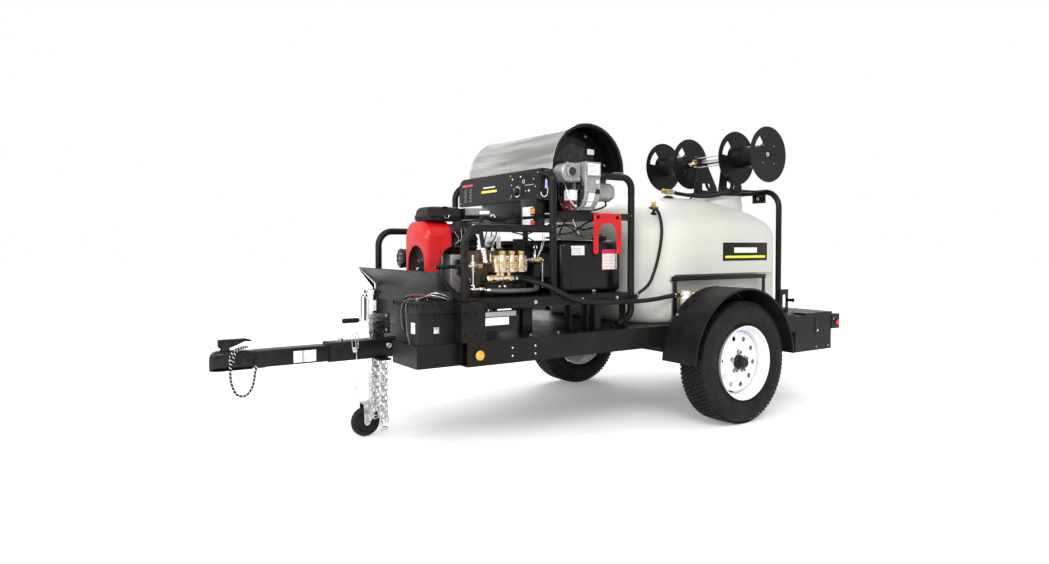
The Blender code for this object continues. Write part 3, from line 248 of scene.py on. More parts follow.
def bent(corners, radius, steps=8):
    """A route through straight runs, with each inner corner rounded."""
    corners = [Vector(corner) for corner in corners]
    route = [corners[0]]
    for before, corner, after in zip(corners, corners[1:], corners[2:]):
        back, ahead = (before - corner).normalized(), (after - corner).normalized()
        half = back.angle(ahead) / 2
        reach = radius / math.tan(half)
        start, end = corner + back * reach, corner + ahead * reach
        middle = corner + (back + ahead).normalized() * radius / math.sin(half)
        for i in range(steps + 1):
            spoke = (start - middle).normalized().slerp((end - middle).normalized(), i / steps)
            route.append(middle + spoke * radius)
    route.append(corners[-1])
    return route


def flowing(corners, spacing):
    """A smooth route through every given point, sampled about every spacing."""
    corners = [Vector(corner) for corner in corners]
    padded = [2 * corners[0] - corners[1], *corners, 2 * corners[-1] - corners[-2]]
    route = []
    for p0, p1, p2, p3 in zip(padded, padded[1:], padded[2:], padded[3:]):
        count = max(1, round((p2 - p1).length / spacing))
        for i in range(count):
            t = i / count
            curve = 2 * p1 + (p2 - p0) * t
            curve += (2 * p0 - 5 * p1 + 4 * p2 - p3) * t**2
            curve += (3 * p1 - p0 - 3 * p2 + p3) * t**3
            route.append(curve / 2)
    route.append(corners[-1])
    return route


def frames_along(points, closed=False):
    """(point, side, up) at every point of a route, turned as little as possible from one to the next."""
    count, made, up = len(points), [], None
    for i, point in enumerate(points):
        before = points[i - 1] if closed or i else point
        after = points[(i + 1) % count] if closed or i < count - 1 else point
        along = (after - before).normalized()
        if up is None:
            up = along.orthogonal().normalized()
        up = (up - along * up.dot(along)).normalized()
        made.append((point, along.cross(up), up))
    return made


def wound(points, radius, pitch, start=0.0, steps=14):
    """A helix round a route."""
    made, travelled, frames = [], 0.0, frames_along(points)
    for (point, side, up), (after, side_after, up_after) in zip(frames, frames[1:]):
        length = (after - point).length
        count = max(1, round(length / pitch * steps))
        for i in range(count):
            t = i / count
            turn = start + 2 * math.pi * (travelled + length * t) / pitch
            centre = point.lerp(after, t)
            across = side.lerp(side_after, t).normalized()
            rise = up.lerp(up_after, t).normalized()
            made.append(centre + (across * math.cos(turn) + rise * math.sin(turn)) * radius)
        travelled += length
    return made


# Shapes -----------------------------------------------------------------------------------------

PLANES = {
    "YZ": Matrix(((0, 0, 1), (1, 0, 0), (0, 1, 0))),  # drawn in Y and Z, thick along X
    "XZ": Matrix(((1, 0, 0), (0, 0, 1), (0, 1, 0))),  # drawn in X and Z, thick along Y
    "XY": Matrix.Identity(3),  # drawn in X and Y, thick along Z
}


class Kit:
    """Shapes of several finishes that belong together and ride on one body."""

    def __init__(self, name, body="root"):
        self.name, self.body, self.meshes = name, body, {}

    def add(self, finish, bm):
        bmesh.ops.recalc_face_normals(bm, faces=bm.faces)
        scratch = bpy.data.meshes.new("scratch")
        bm.to_mesh(scratch)
        bm.free()
        self.meshes.setdefault(finish, bmesh.new()).from_mesh(scratch)
        bpy.data.meshes.remove(scratch)

    def box(self, finish, low, high, edge=0.0015, turn=None, segments=2):
        low, high = Vector(low), Vector(high)
        bm = bmesh.new()
        bmesh.ops.create_cube(bm, size=1.0)
        bmesh.ops.scale(bm, vec=high - low, verts=bm.verts)
        if edge:
            bmesh.ops.bevel(bm, geom=bm.edges[:], offset=edge, segments=segments, profile=0.5, affect="EDGES")
        if turn:
            bmesh.ops.transform(bm, matrix=turn.to_4x4(), verts=bm.verts)
        bmesh.ops.translate(bm, vec=(low + high) / 2, verts=bm.verts)
        self.add(finish, bm)

    def lathe(self, finish, start, along, profile, sides=32, closed=False):
        """Turns (distance along, radius) pairs about start's line. Closed joins the last to the first."""
        start, turn = Vector(start), Vector((0, 0, 1)).rotation_difference(Vector(along)).to_matrix()
        bm = bmesh.new()
        rings = []
        for distance, radius in profile:
            if radius < 1e-6:
                rings.append([bm.verts.new(start + turn @ Vector((0, 0, distance)))])
                continue
            spokes = [2 * math.pi * (i + 0.5) / sides for i in range(sides)]
            rings.append([
                bm.verts.new(start + turn @ Vector((radius * math.cos(t), radius * math.sin(t), distance)))
                for t in spokes
            ])
        pairs = list(zip(rings, rings[1:]))
        if closed:
            pairs.append((rings[-1], rings[0]))
        for ring, after in pairs:
            for i in range(sides):
                j = (i + 1) % sides
                corners = [
                    ring[i % len(ring)], ring[j % len(ring)], after[j % len(after)], after[i % len(after)]
                ]
                corners = list(dict.fromkeys(corners))
                if len(corners) > 2:
                    bm.faces.new(corners)
        if not closed:
            for ring in (rings[0], rings[-1]):
                if len(ring) > 1:
                    bm.faces.new(ring)
        self.add(finish, bm)

    def rod(self, finish, start, end, radius, end_radius=None, edge=0.0008, sides=28):
        along = Vector(end) - Vector(start)
        length, last = along.length, radius if end_radius is None else end_radius
        edge = min(edge, radius * 0.4, last * 0.4, length * 0.3)
        profile = [
            (0, 0), (0, radius - edge), (edge, radius), (length - edge, last), (length, last - edge),
            (length, 0)
        ]
        self.lathe(finish, start, along, profile, sides)

    def ball(self, finish, centre, radius, sides=16):
        profile = [
            (radius * -math.cos(math.pi * i / sides), radius * math.sin(math.pi * i / sides))
            for i in range(sides + 1)
        ]
        self.lathe(finish, centre, (0, 0, 1), [(d, max(r, 0)) for d, r in profile], sides * 2)

    def tube(self, finish, points, radius, sides=16, closed=False):
        """A round bar along a route. Radius is one number, or one for each point."""
        points = [Vector(point) for point in points]
        radii = radius if isinstance(radius, list) else [radius] * len(points)
        bm = bmesh.new()
        rings = []
        for (point, side, up), size in zip(frames_along(points, closed), radii):
            spokes = [2 * math.pi * i / sides for i in range(sides)]
            rings.append(
                [bm.verts.new(point + (side * math.cos(t) + up * math.sin(t)) * size) for t in spokes]
            )
        pairs = list(zip(rings, rings[1:]))
        shift = 0
        if not closed:
            bm.faces.new(rings[0])
            bm.faces.new(rings[-1])
        else:
            first, last = rings[0][0].co, rings[-1]
            shift = min(range(sides), key=lambda i: (last[i].co - first).length)
        for ring, after in pairs:
            for i in range(sides):
                j = (i + 1) % sides
                bm.faces.new((ring[i], ring[j], after[j], after[i]))
        if closed:
            for i in range(sides):
                j = (i + 1) % sides
                bm.faces.new(
                    (rings[-1][(i + shift) % sides], rings[-1][(j + shift) % sides], rings[0][j], rings[0][i])
                )
        self.add(finish, bm)

    def sheet(self, finish, loops, plane, low, high, edge=0.0008):
        """A flat outline, with any holes after its outer loop, made thick from low to high."""
        curve = bpy.data.curves.new("outline", "CURVE")
        curve.dimensions = "2D"
        curve.fill_mode = "BOTH"
        edge = min(edge, (high - low) * 0.3)
        curve.extrude = (high - low) / 2 - edge
        curve.bevel_depth = edge
        curve.bevel_resolution = 0
        curve.offset = -edge
        for loop in loops:
            spline = curve.splines.new("POLY")
            spline.points.add(len(loop) - 1)
            for point, (a, b) in zip(spline.points, loop):
                point.co = (a, b, 0, 1)
            spline.use_cyclic_u = True
        drawn = bpy.data.objects.new("outline", curve)
        bpy.context.scene.collection.objects.link(drawn)
        bpy.context.view_layer.update()
        mesh = bpy.data.meshes.new_from_object(drawn.evaluated_get(bpy.context.evaluated_depsgraph_get()))
        bm = bmesh.new()
        bm.from_mesh(mesh)
        bpy.data.objects.remove(drawn)
        bpy.data.curves.remove(curve)
        bpy.data.meshes.remove(mesh)
        bmesh.ops.remove_doubles(bm, verts=bm.verts, dist=0.00001)
        turn = PLANES[plane]
        middle = turn @ Vector((0, 0, 1)) * (low + high) / 2
        bmesh.ops.transform(bm, matrix=Matrix.Translation(middle) @ turn.to_4x4(), verts=bm.verts)
        self.add(finish, bm)

    def loft(self, finish, sections):
        """A closed skin through rings of equally many points."""
        bm = bmesh.new()
        rings = [[bm.verts.new(point) for point in ring] for ring in sections]
        for ring, upper in zip(rings, rings[1:]):
            for i in range(len(ring)):
                j = (i + 1) % len(ring)
                bm.faces.new((ring[i], ring[j], upper[j], upper[i]))
        bm.faces.new(rings[0])
        bm.faces.new(rings[-1])
        self.add(finish, bm)

    def bolt(self, place, facing, radius=0.008, finish="zinc", washer=True):
        """A hexagon head on its washer, on the face that looks the given way."""
        place, facing = Vector(place), Vector(facing).normalized()
        if washer:
            self.lathe(
                finish, place, facing, [(0, 0), (0, radius * 1.5), (0.0014, radius * 1.5), (0.0014, 0)], 20
            )
        head = [
            (0, 0), (0, radius), (radius * 0.7, radius), (radius * 0.85, radius * 0.85), (radius * 0.85, 0)
        ]
        self.lathe(finish, place + facing * 0.0014 * washer, facing, head, 6)

    def nut(self, finish, start, along, radius, length, sides=6):
        """A hexagon fitting with turned-down ends."""
        profile = [
            (0, 0), (0, radius * 0.88), (length * 0.1, radius), (length * 0.9, radius),
            (length, radius * 0.88)
        ]
        self.lathe(finish, start, along, [*profile, (length, 0)], sides)

    def cut(self, finish, other):
        solids = []
        for kit in (self, other):
            mesh = bpy.data.meshes.new("solid")
            kit.meshes.pop(finish).to_mesh(mesh)
            solid = bpy.data.objects.new("solid", mesh)
            bpy.context.scene.collection.objects.link(solid)
            solids.append(solid)
        modifier = solids[0].modifiers.new("cut", "BOOLEAN")
        modifier.operation, modifier.object, modifier.solver = "DIFFERENCE", solids[1], "EXACT"
        modifier.use_self = True
        bpy.context.view_layer.update()
        mesh = bpy.data.meshes.new_from_object(solids[0].evaluated_get(bpy.context.evaluated_depsgraph_get()))
        self.meshes[finish] = bmesh.new()
        self.meshes[finish].from_mesh(mesh)
        for solid in solids:
            bpy.data.objects.remove(solid)

    def done(self, *replaced, smooth=38):
        """Makes one object of each finish, and hides the CAD nodes that the first stands for."""
        for i, (finish, bm) in enumerate(self.meshes.items()):
            slot, material = FINISHES[finish]
            name = self.name if i == 0 else f"{self.name}_{finish}"
            mesh = bpy.data.meshes.new(name)
            bm.to_mesh(mesh)
            bm.free()
            mesh.transform(TO_WORLD)
            mesh.materials.clear()
            mesh.materials.append(material)
            mesh.shade_smooth()
            mesh.set_sharp_from_angle(angle=math.radians(smooth))
            piece = bpy.data.objects.new(name, mesh)
            bpy.context.scene.collection.objects.link(piece)
            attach(piece, self.body)
            if i == 0 and replaced:
                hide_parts(*replaced)


def at_axle(node):
    """A CAD node's lowest and highest corner, from the axle."""
    back = TO_WORLD.inverted()
    low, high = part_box(node)
    return back @ low, back @ high


# Wheels -----------------------------------------------------------------------------------------

WHEEL_R, WHEEL_Y, TYRE_HALF, BEAD_R = 0.3445, 0.742, 0.1, 0.209
AXLE_Z = WHEEL_R


def make_tyre(prefix, side):
    """One tyre's carcass, with its rows of tread blocks."""
    kit = Kit(f"{prefix}_tyre_detail", f"{prefix}_wheel")
    centre, out = (0, side * WHEEL_Y, AXLE_Z), (0, side, 0)
    groove_r = WHEEL_R - 0.0052
    half_section = [
        (0.066, BEAD_R), (0.078, BEAD_R + 0.001), (0.081, BEAD_R + 0.006), (0.0785, BEAD_R + 0.011),
        (0.0825, BEAD_R + 0.016), (0.0905, 0.24), (0.0955, 0.256), (0.0968, 0.257), (0.0968, 0.261),
        (0.0962, 0.262), (0.099, 0.276), (0.0998, 0.286), (0.0985, 0.298), (0.0955, 0.309),
        (0.0968, 0.3105), (0.0962, 0.3135), (0.0935, 0.315), (0.088, 0.3245), (0.08, 0.332),
        (0.07, groove_r - 0.0005),
    ]
    section = half_section + [(0.035, groove_r), (0.0, groove_r)]
    section += [
        (-along, radius) for along, radius in reversed(half_section)
    ] + [(-0.06, BEAD_R - 0.001), (0.06, BEAD_R - 0.001)]
    kit.lathe("rubber", centre, out, section, 120, closed=True)
    for row, along in enumerate((-0.066, -0.0405, -0.0135, 0.0135, 0.0405, 0.066)):
        outer_row = abs(along) > 0.05
        half = 0.0135 if outer_row else 0.0112
        top = WHEEL_R - (0.0014 if outer_row else 0.0)
        add_tread_row(kit, side, along, half, groove_r - 0.002, top, 84, 0.5 * (row % 2))
    kit.done(f"{prefix}_tyre", smooth=30)


def add_tread_row(kit, side, along, half, low, high, count, phase):
    """Blocks round the tyre, each with a zigzag front and back edge."""
    bm = bmesh.new()
    step = 2 * math.pi / count
    outline = ((-1, -0.36), (0, -0.24), (1, -0.4), (1, 0.3), (0, 0.42), (-1, 0.3))
    for i in range(count):
        middle = step * (i + phase)
        rings = []
        for radius, shrink in ((low, 1.0), (high - 0.001, 1.0), (high, 0.86)):
            ring = []
            for a, b in outline:
                turn = middle + b * step * shrink
                place = (
                    radius * math.cos(turn), side * (WHEEL_Y + along + a * half * shrink),
                    AXLE_Z + radius * math.sin(turn)
                )
                ring.append(bm.verts.new(place))
            rings.append(ring)
        for ring, upper in zip(rings, rings[1:]):
            for j in range(len(ring)):
                k = (j + 1) % len(ring)
                bm.faces.new((ring[j], ring[k], upper[k], upper[j]))
        bm.faces.new(rings[0])
        bm.faces.new(rings[-1])
    kit.add("rubber", bm)


def make_rim(prefix, side):
    """One wheel's barrel, pierced disc, nuts, hub and valve."""
    kit = Kit(f"{prefix}_rim_detail", f"{prefix}_wheel")
    centre, out = Vector((0, side * WHEEL_Y, AXLE_Z)), Vector((0, side, 0))
    bead = BEAD_R - GAP
    barrel = [
        (0.0925, bead - 0.0005), (0.0925, bead - 0.004), (0.089, bead - 0.009), (0.08, bead - 0.011),
        (0.066, bead - 0.0125), (0.06, bead - 0.018), (0.052, bead - 0.028), (0.036, bead - 0.031),
        (0.018, bead - 0.031), (-0.01, bead - 0.016), (-0.06, bead - 0.013), (-0.082, bead - 0.01),
        (-0.0895, bead - 0.004), (-0.0895, bead - 0.0005), (-0.084, bead - 0.002), (-0.078, bead - 0.007),
        (-0.06, bead - 0.0095), (-0.01, bead - 0.0125), (0.016, bead - 0.0275), (0.036, bead - 0.0275),
        (0.049, bead - 0.025), (0.056, bead - 0.016), (0.062, bead - 0.0095), (0.08, bead - 0.0075),
        (0.086, bead - 0.002),
    ]
    kit.lathe("white", centre, out, barrel, 96, closed=True)
    disc_y = side * (WHEEL_Y + 0.03)
    holes = [
        circle((0.134 * math.cos(t), AXLE_Z + 0.134 * math.sin(t)), 0.0145, 20)
        for t in (math.radians(36 * i - 5) for i in range(10))
    ]
    disc = [circle((0, AXLE_Z), 0.164, 72), *holes, circle((0, AXLE_Z), 0.041, 32)]
    kit.sheet("white", disc, "XZ", disc_y - 0.0025, disc_y + 0.0025)
    dish = [
        (0.0285, 0.158), (0.0325, 0.162), (0.0315, 0.17), (0.022, 0.1785), (0.018, 0.1785), (0.0265, 0.168)
    ]
    kit.lathe("white", centre, out, dish, 72, closed=True)
    kit.lathe(
        "white", centre, out,
        [(0.031, 0.088), (0.0335, 0.086), (0.0385, 0.08), (0.0395, 0.076), (0.0395, 0.042), (0.031, 0.042)],
        60, closed=True
    )
    for i in range(5):
        turn = math.radians(72 * i + 18)
        foot = centre + Vector((0.0572 * math.cos(turn), 0, 0.0572 * math.sin(turn))) + out * 0.0395
        kit.lathe("dark_metal", foot, out, [(0, 0), (0, 0.0125), (0.004, 0.0095), (0.004, 0)], 24)
        kit.nut("zinc", foot + out * 0.003, out, 0.0105, 0.015)
        kit.rod("dark_metal", foot + out * 0.016, foot + out * 0.0215, 0.0058, sides=16)
    hub = [
        (0.02, 0), (0.02, 0.0395), (0.052, 0.0395), (0.056, 0.036), (0.058, 0.031), (0.084, 0.0295),
        (0.0885, 0.027), (0.0925, 0.02), (0.0905, 0.0175), (0.0905, 0)
    ]
    kit.lathe("satin", centre, out, hub, 40)
    kit.nut("satin", centre + out * 0.0405, out, 0.046, 0.012, 5)
    turn = math.radians(236)
    valve = centre + Vector((0.183 * math.cos(turn), 0, 0.183 * math.sin(turn)))
    kit.rod("plastic", valve + out * 0.056, valve + out * 0.088, 0.0052, 0.0042)
    back = [(-0.05, 0), (-0.05, 0.036), (0.016, 0.036), (0.016, 0)]
    kit.lathe("dark_metal", centre, out, back, 32)
    kit.done(f"{prefix}_rim")


# Chassis ----------------------------------------------------------------------------------------

RAIL_Y, RAIL_W, RAIL_LOW, RAIL_HIGH = 0.6, 0.07, 0.443, 0.557
RAIL_FRONT, DECK_TOP = -1.646, 0.5565


def make_rail_details(prefix, side):
    """Rivets, weld beads and a gusset along one rail, with the fender's lip and inner wall."""
    kit = Kit(f"{prefix}_rail_details")
    face = side * RAIL_Y
    for x, zs in (
        (-1.4, (0.477, 0.515)), (-1.268, (0.477, 0.515)), (-1.062, (0.48, 0.518)), (-0.95, (0.512,))
    ):
        for z in zs:
            kit.lathe("zinc" if x < -1.1 else "black", (x, face, z), (0, side, 0),
                      [(0, 0), (0, 0.0058), (0.0022, 0.005), (0.0035, 0.003), (0.0038, 0)], 16)
    gusset = [(-0.475, RAIL_HIGH - 0.004), (-0.475, RAIL_LOW + 0.02), (-0.405, 0.415), (-0.37, 0.415),
              (-0.37, RAIL_HIGH - 0.004)]
    low, high = sorted((face + side * 0.0004, face + side * 0.0044))
    kit.sheet("black", [gusset], "XZ", low, high)
    for x in (RAIL_FRONT + 0.004, -0.56, 0.18, 0.725):  # weld beads where the cross members meet the rail
        inner = side * (RAIL_Y - RAIL_W)
        kit.tube(
            "satin",
            flowing([(x, inner, RAIL_LOW + 0.01), (x, inner, 0.5), (x, inner, DECK_TOP - 0.01)], 0.02),
            0.0028, 8
        )
    outer = side * (WHEEL_Y + TYRE_HALF + 0.004)
    lip = [(x, outer - side * 0.0052, z) for x, z in arc((0, AXLE_Z), 0.4135, 177, 3, 60)]
    kit.tube("black", lip, 0.005, 10)
    inner_wall = arc((0, AXLE_Z), 0.415, 177, 3, 40) + [(0.4, AXLE_Z + 0.09), (-0.4, AXLE_Z + 0.09)]
    low, high = sorted((side * (RAIL_Y + 0.001), side * (RAIL_Y + 0.004)))
    kit.sheet("black", [inner_wall], "XZ", low, high)
    for turn in (40, 90, 140):
        x, z = arc((0, AXLE_Z), 0.4205, turn, turn + 1, 2)[0]
        kit.bolt((x, side * 0.622, z), (x, 0, z - AXLE_Z), 0.006, "zinc")
    kit.done()


def make_fender(prefix, side):
    """The plain round fender, with a rolled outer edge."""
    kit = Kit(f"{prefix}_fender_skin")
    outer, thick, inside, outside = 0.42, 0.004, 0.6003, 0.846
    skin = arc((0, AXLE_Z), outer, 177, 3, 96) + arc((0, AXLE_Z), outer - thick, 3, 177, 96)
    kit.sheet("plastic", [skin], "XZ", *sorted((side * inside, side * (outside - 0.001))), 0.001)
    edge = [Vector((x, side * (outside - 0.004), z)) for x, z in arc((0, AXLE_Z), outer - 0.0042, 177, 3, 96)]
    kit.tube("plastic", edge, 0.004, 10)
    kit.done(f"{prefix}_fender")


def make_markers():
    """The amber lamp on each rail."""
    for prefix, side in (("left", -1), ("right", 1)):
        kit = Kit(f"{prefix}_marker_lens")
        foot, out = (-1.583, side * (RAIL_Y + GAP), 0.494), (0, side, 0)
        lens = [
            (0.004, 0), (0.004, 0.0235), (0.009, 0.0228), (0.0135, 0.0195), (0.0168, 0.013), (0.0178, 0.006),
            (0.018, 0)
        ]
        kit.lathe("amber", foot, out, lens, 40)
        kit.lathe(
            "hose", foot, out,
            [
                (0, 0.015), (0, 0.0262), (0.006, 0.0262), (0.0078, 0.0245), (0.007, 0.0228), (0.004, 0.0215),
                (0.004, 0.015)
            ], 40, closed=True
        )
        for ring in (0.009, 0.0155):
            loop = [
                (x, side * (RAIL_Y + 0.0185 - ring * ring * 12), z)
                for x, z in circle((-1.583, 0.494), ring, 32)
            ]
            kit.tube("amber", loop, 0.0007, 6, closed=True)
        kit.done(f"{prefix}_marker_light")


def make_tail():
    """Tail channel, its lamps and the slotted bracket behind the near wheel."""
    kit = Kit("tail_details")
    for side in (-1, 1):
        plate = rounded_rectangle(1.168, 1.2545, 0.44, 0.537, 0.004, 3)
        low, high = sorted((side * (RAIL_Y + 0.0005), side * (RAIL_Y + 0.0045)))
        kit.sheet("black", [plate], "XZ", low, high)
        lamp, out = (1.222, side * (RAIL_Y + 0.0045), 0.482), (0, side, 0)
        kit.lathe(
            "tail_red", lamp, out,
            [(0.002, 0), (0.002, 0.0185), (0.009, 0.0175), (0.0135, 0.0125), (0.015, 0)], 32
        )
        kit.lathe(
            "hose", lamp, out,
            [(0, 0), (0, 0.0215), (0.0045, 0.0215), (0.0055, 0.0195), (0.003, 0.018), (0.003, 0)], 32
        )
        kit.bolt((1.184, side * (RAIL_Y + 0.0045), 0.505), out, 0.0045, "zinc")
        bracket = rounded_rectangle(0.785, 0.87, 0.56, 0.712, 0.01)
        slot = rounded_rectangle(0.812, 0.844, 0.585, 0.678, 0.0158, 8)
        low, high = sorted((side * 0.47, side * 0.475))
        kit.sheet("black", [bracket, slot], "XZ", low, high)
        kit.rod("black", (0.857, side * 0.47, 0.64), (0.857, side * 0.52, 0.64), 0.01)
        kit.bolt((0.857, side * 0.52, 0.64), out, 0.009, "black")
        hasp = rounded_rectangle(0.985, 1.013, 0.405, 0.52, 0.006)
        low, high = sorted((side * (RAIL_Y + 0.0004), side * (RAIL_Y + 0.0034)))
        kit.sheet("satin", [hasp], "XZ", low, high)
        kit.rod("zinc", (0.999, side * 0.603, 0.44), (0.999, side * 0.612, 0.44), 0.008)
    for y in (-0.44, 0.44):  # hinge knuckles along the lid's front edge
        for i in range(5):
            start = y - 0.05 + 0.021 * i
            kit.rod("black", (0.8655, start, 0.5515), (0.8655, start + 0.019, 0.5515), 0.0045)
    kit.rod("black", (1.2558 - 0.005, -0.59, 0.533), (1.2508, 0.59, 0.533), 0.004)
    for x in (1.0, 1.13):
        for y in (-0.598, 0.598):
            kit.rod("zinc", (x, y, 0.33), (x, y + math.copysign(0.0045, y), 0.33), 0.005)
    kit.done()
    lid = Kit("toolbox_lid_latch", "box_lid")
    for y in (-0.3, 0.3):
        lid.box("satin", (1.1703, y - 0.03, 0.5458), (1.176, y + 0.03, 0.557), 0.001)
    tread = [(0.89 + 0.03 * i, -0.58 + 0.029 * j + 0.0145 * (i % 2)) for i in range(9) for j in range(40)]
    for i, (x, y) in enumerate(tread):  # raised bars of the tread plate
        turn = Matrix.Rotation(math.radians(45 if (i + i // 40) % 2 else -45), 3, "Z")
        lid.box("black", (x - 0.009, y - 0.0016, 0.5574), (x + 0.009, y + 0.0016, 0.5588), 0.0, turn)
    lid.done()


def make_tongue():
    """The tongue and its drawbar, the jack's bracket, and the hitch pin on its wire."""
    kit = Kit("tongue_details")
    front, back, half, low, high = -2.1, -1.6463, 0.0505, 0.435, 0.528
    kit.box("black", (front, -half, low), (back, half, high), 0.005)
    kit.box("black", (-2.44, -0.0445, low + 0.004), (front + 0.05, 0.0445, high - 0.011), 0.005)
    jack_side = 0.13 - 0.0285 - 0.004
    kit.box("zinc", (-1.845, half, low + 0.006), (-1.777, half + 0.005, 0.612), 0.0015)
    kit.lathe(
        "zinc", (-1.811, half + 0.002, 0.6), (0, 1, 0),
        [
            (0, 0), (0, 0.036), (0.012, 0.036), (0.014, 0.031), (jack_side - half - 0.002, 0.031),
            (jack_side - half - 0.002, 0)
        ], 36
    )
    kit.bolt((-2.03, 0.0, high), (0, 0, 1), 0.014, "zinc")
    kit.tube("black", [(front, half - 0.003, low + 0.003), (front, half - 0.003, high - 0.003)], 0.003, 8)
    collar = [Vector((-2.098, y, z)) for y, z in rounded_rectangle(-half, half, low, high, 0.008)]
    kit.tube("black", collar, 0.0028, 8, closed=True)
    label_front, label_back = -2.272, -2.165
    for start, end, finish in (
        (label_front, -2.2325, "label"), (-2.2285, -2.2255, "label"), (-2.2215, label_back, "label"),
        (-2.232, -2.229, "print"), (-2.225, -2.222, "print")
    ):
        kit.box(finish, (start, -0.0451, 0.447), (end, -0.0446, 0.502), 0)
    for row in range(4):
        kit.box(
            "print", (-2.21, -0.0454, 0.4575 + 0.01 * row),
            (-2.172 - 0.006 * (row % 2), -0.045, 0.4595 + 0.01 * row), 0
        )
    for x in (-2.05, -1.95):
        kit.bolt((x, -half, 0.48), (0, -1, 0), 0.008, "black")
    kit.box("satin", (-1.7, -half - 0.006, low - 0.004), (back - 0.001, half + 0.006, high + 0.004), 0.002)
    for y in (-1, 1):
        brace = [(-1.8, y * 0.0515), (-1.648, y * 0.0515), (-1.648, y * 0.19)]
        kit.sheet("black", [brace], "XY", 0.5, 0.506)
    pin_x = -1.978
    kit.rod("zinc", (pin_x, 0.058, 0.487), (pin_x, -0.06, 0.487), 0.0075)
    kit.lathe(
        "zinc", (pin_x, -0.06, 0.487), (0, -1, 0),
        [(0, 0), (0, 0.013), (0.004, 0.013), (0.006, 0.01), (0.006, 0)], 20
    )
    bail = [
        (pin_x - 0.014, -0.064, 0.492), (pin_x - 0.016, -0.066, 0.556), (pin_x - 0.006, -0.066, 0.572),
        (pin_x + 0.006, -0.066, 0.572), (pin_x + 0.016, -0.066, 0.556), (pin_x + 0.014, -0.064, 0.492)
    ]
    kit.tube("zinc", flowing(bail, 0.008), 0.0024, 8)
    wire = [
        (pin_x, -0.066, 0.566), (pin_x + 0.004, -0.067, 0.5), (pin_x + 0.007, -0.066, 0.42),
        (pin_x + 0.006, -0.062, 0.35), (pin_x + 0.001, -0.06, 0.3)
    ]
    kit.tube("zinc", flowing(wire, 0.012), 0.0022, 8)
    clip = [
        (pin_x + 0.001, -0.06, 0.302), (pin_x + 0.012, -0.06, 0.286), (pin_x + 0.01, -0.06, 0.272),
        (pin_x - 0.001, -0.06, 0.264), (pin_x - 0.01, -0.06, 0.276), (pin_x - 0.012, -0.06, 0.29),
        (pin_x - 0.002, -0.06, 0.3), (pin_x + 0.006, -0.06, 0.268), (pin_x - 0.004, -0.06, 0.24)
    ]
    kit.tube("zinc", flowing(clip, 0.005), 0.0016, 8)
    kit.done("tongue")


def make_coupler():
    kit = Kit("coupler_detail")
    rings = []
    stations = (  # x, half width, low, high
        (-2.4403, 0.044, 0.4365, 0.518), (-2.5, 0.044, 0.4365, 0.5215), (-2.53, 0.0435, 0.437, 0.524),
        (-2.552, 0.04, 0.4375, 0.525), (-2.575, 0.0385, 0.438, 0.526), (-2.597, 0.037, 0.4385, 0.5255),
        (-2.614, 0.0315, 0.439, 0.521), (-2.626, 0.022, 0.44, 0.511), (-2.632, 0.011, 0.442, 0.498),
        (-2.634, 0.004, 0.448, 0.486),
    )
    for x, half, low, high in stations:
        corner = min(half, (high - low) / 2) * 0.55
        rings.append([Vector((x, y, z)) for y, z in rounded_rectangle(-half, half, low, high, corner, 5)])
    kit.loft("satin", rings)
    kit.sheet(
        "satin", [arc((-2.59, 0), 0.0445, 90, 270, 22) + [(-2.455, -0.0445), (-2.455, 0.0445)]], "XY", 0.4362,
        0.4412
    )
    for x in (-2.47, -2.515):
        for side in (-1, 1):
            kit.bolt((x, side * 0.044, 0.476), (0, side, 0), 0.009, "black")
    kit.box("satin", (-2.44, -0.0485, 0.438), (-2.4, -0.0446, 0.514), 0.001)
    kit.box("satin", (-2.44, 0.0446, 0.438), (-2.4, 0.0485, 0.514), 0.001)
    for side in (-1, 1):
        ear = [(-2.584, 0.518), (-2.548, 0.518), (-2.552, 0.56), (-2.565, 0.5665), (-2.578, 0.56)]
        low, high = sorted((side * 0.0168, side * 0.02))
        kit.sheet("satin", [ear], "XZ", low, high)
    kit.rod("black", (-2.565, -0.023, 0.553), (-2.565, 0.023, 0.553), 0.0045)
    kit.done("coupler")
    latch = Kit("coupler_latch_detail", "latch")
    lever = [
        (-2.588, 0.5335), (-2.556, 0.5335), (-2.52, 0.546), (-2.482, 0.562), (-2.456, 0.56), (-2.454, 0.566),
        (-2.478, 0.574), (-2.59, 0.574), (-2.595, 0.556)
    ]
    for low, high in ((-0.016, -0.0125), (0.0125, 0.016)):
        latch.sheet("black", [lever], "XZ", low, high)
    latch.box("black", (-2.594, -0.016, 0.5705), (-2.478, 0.016, 0.5742), 0.0012)
    tongue_tip = [(-2.482, 0.5708), (-2.456, 0.5625), (-2.454, 0.5655), (-2.48, 0.5742)]
    latch.sheet("black", [tongue_tip], "XZ", -0.016, 0.016)
    latch.box("black", (-2.596, -0.012, 0.54), (-2.588, 0.012, 0.573), 0.001)
    latch.done("coupler_latch")


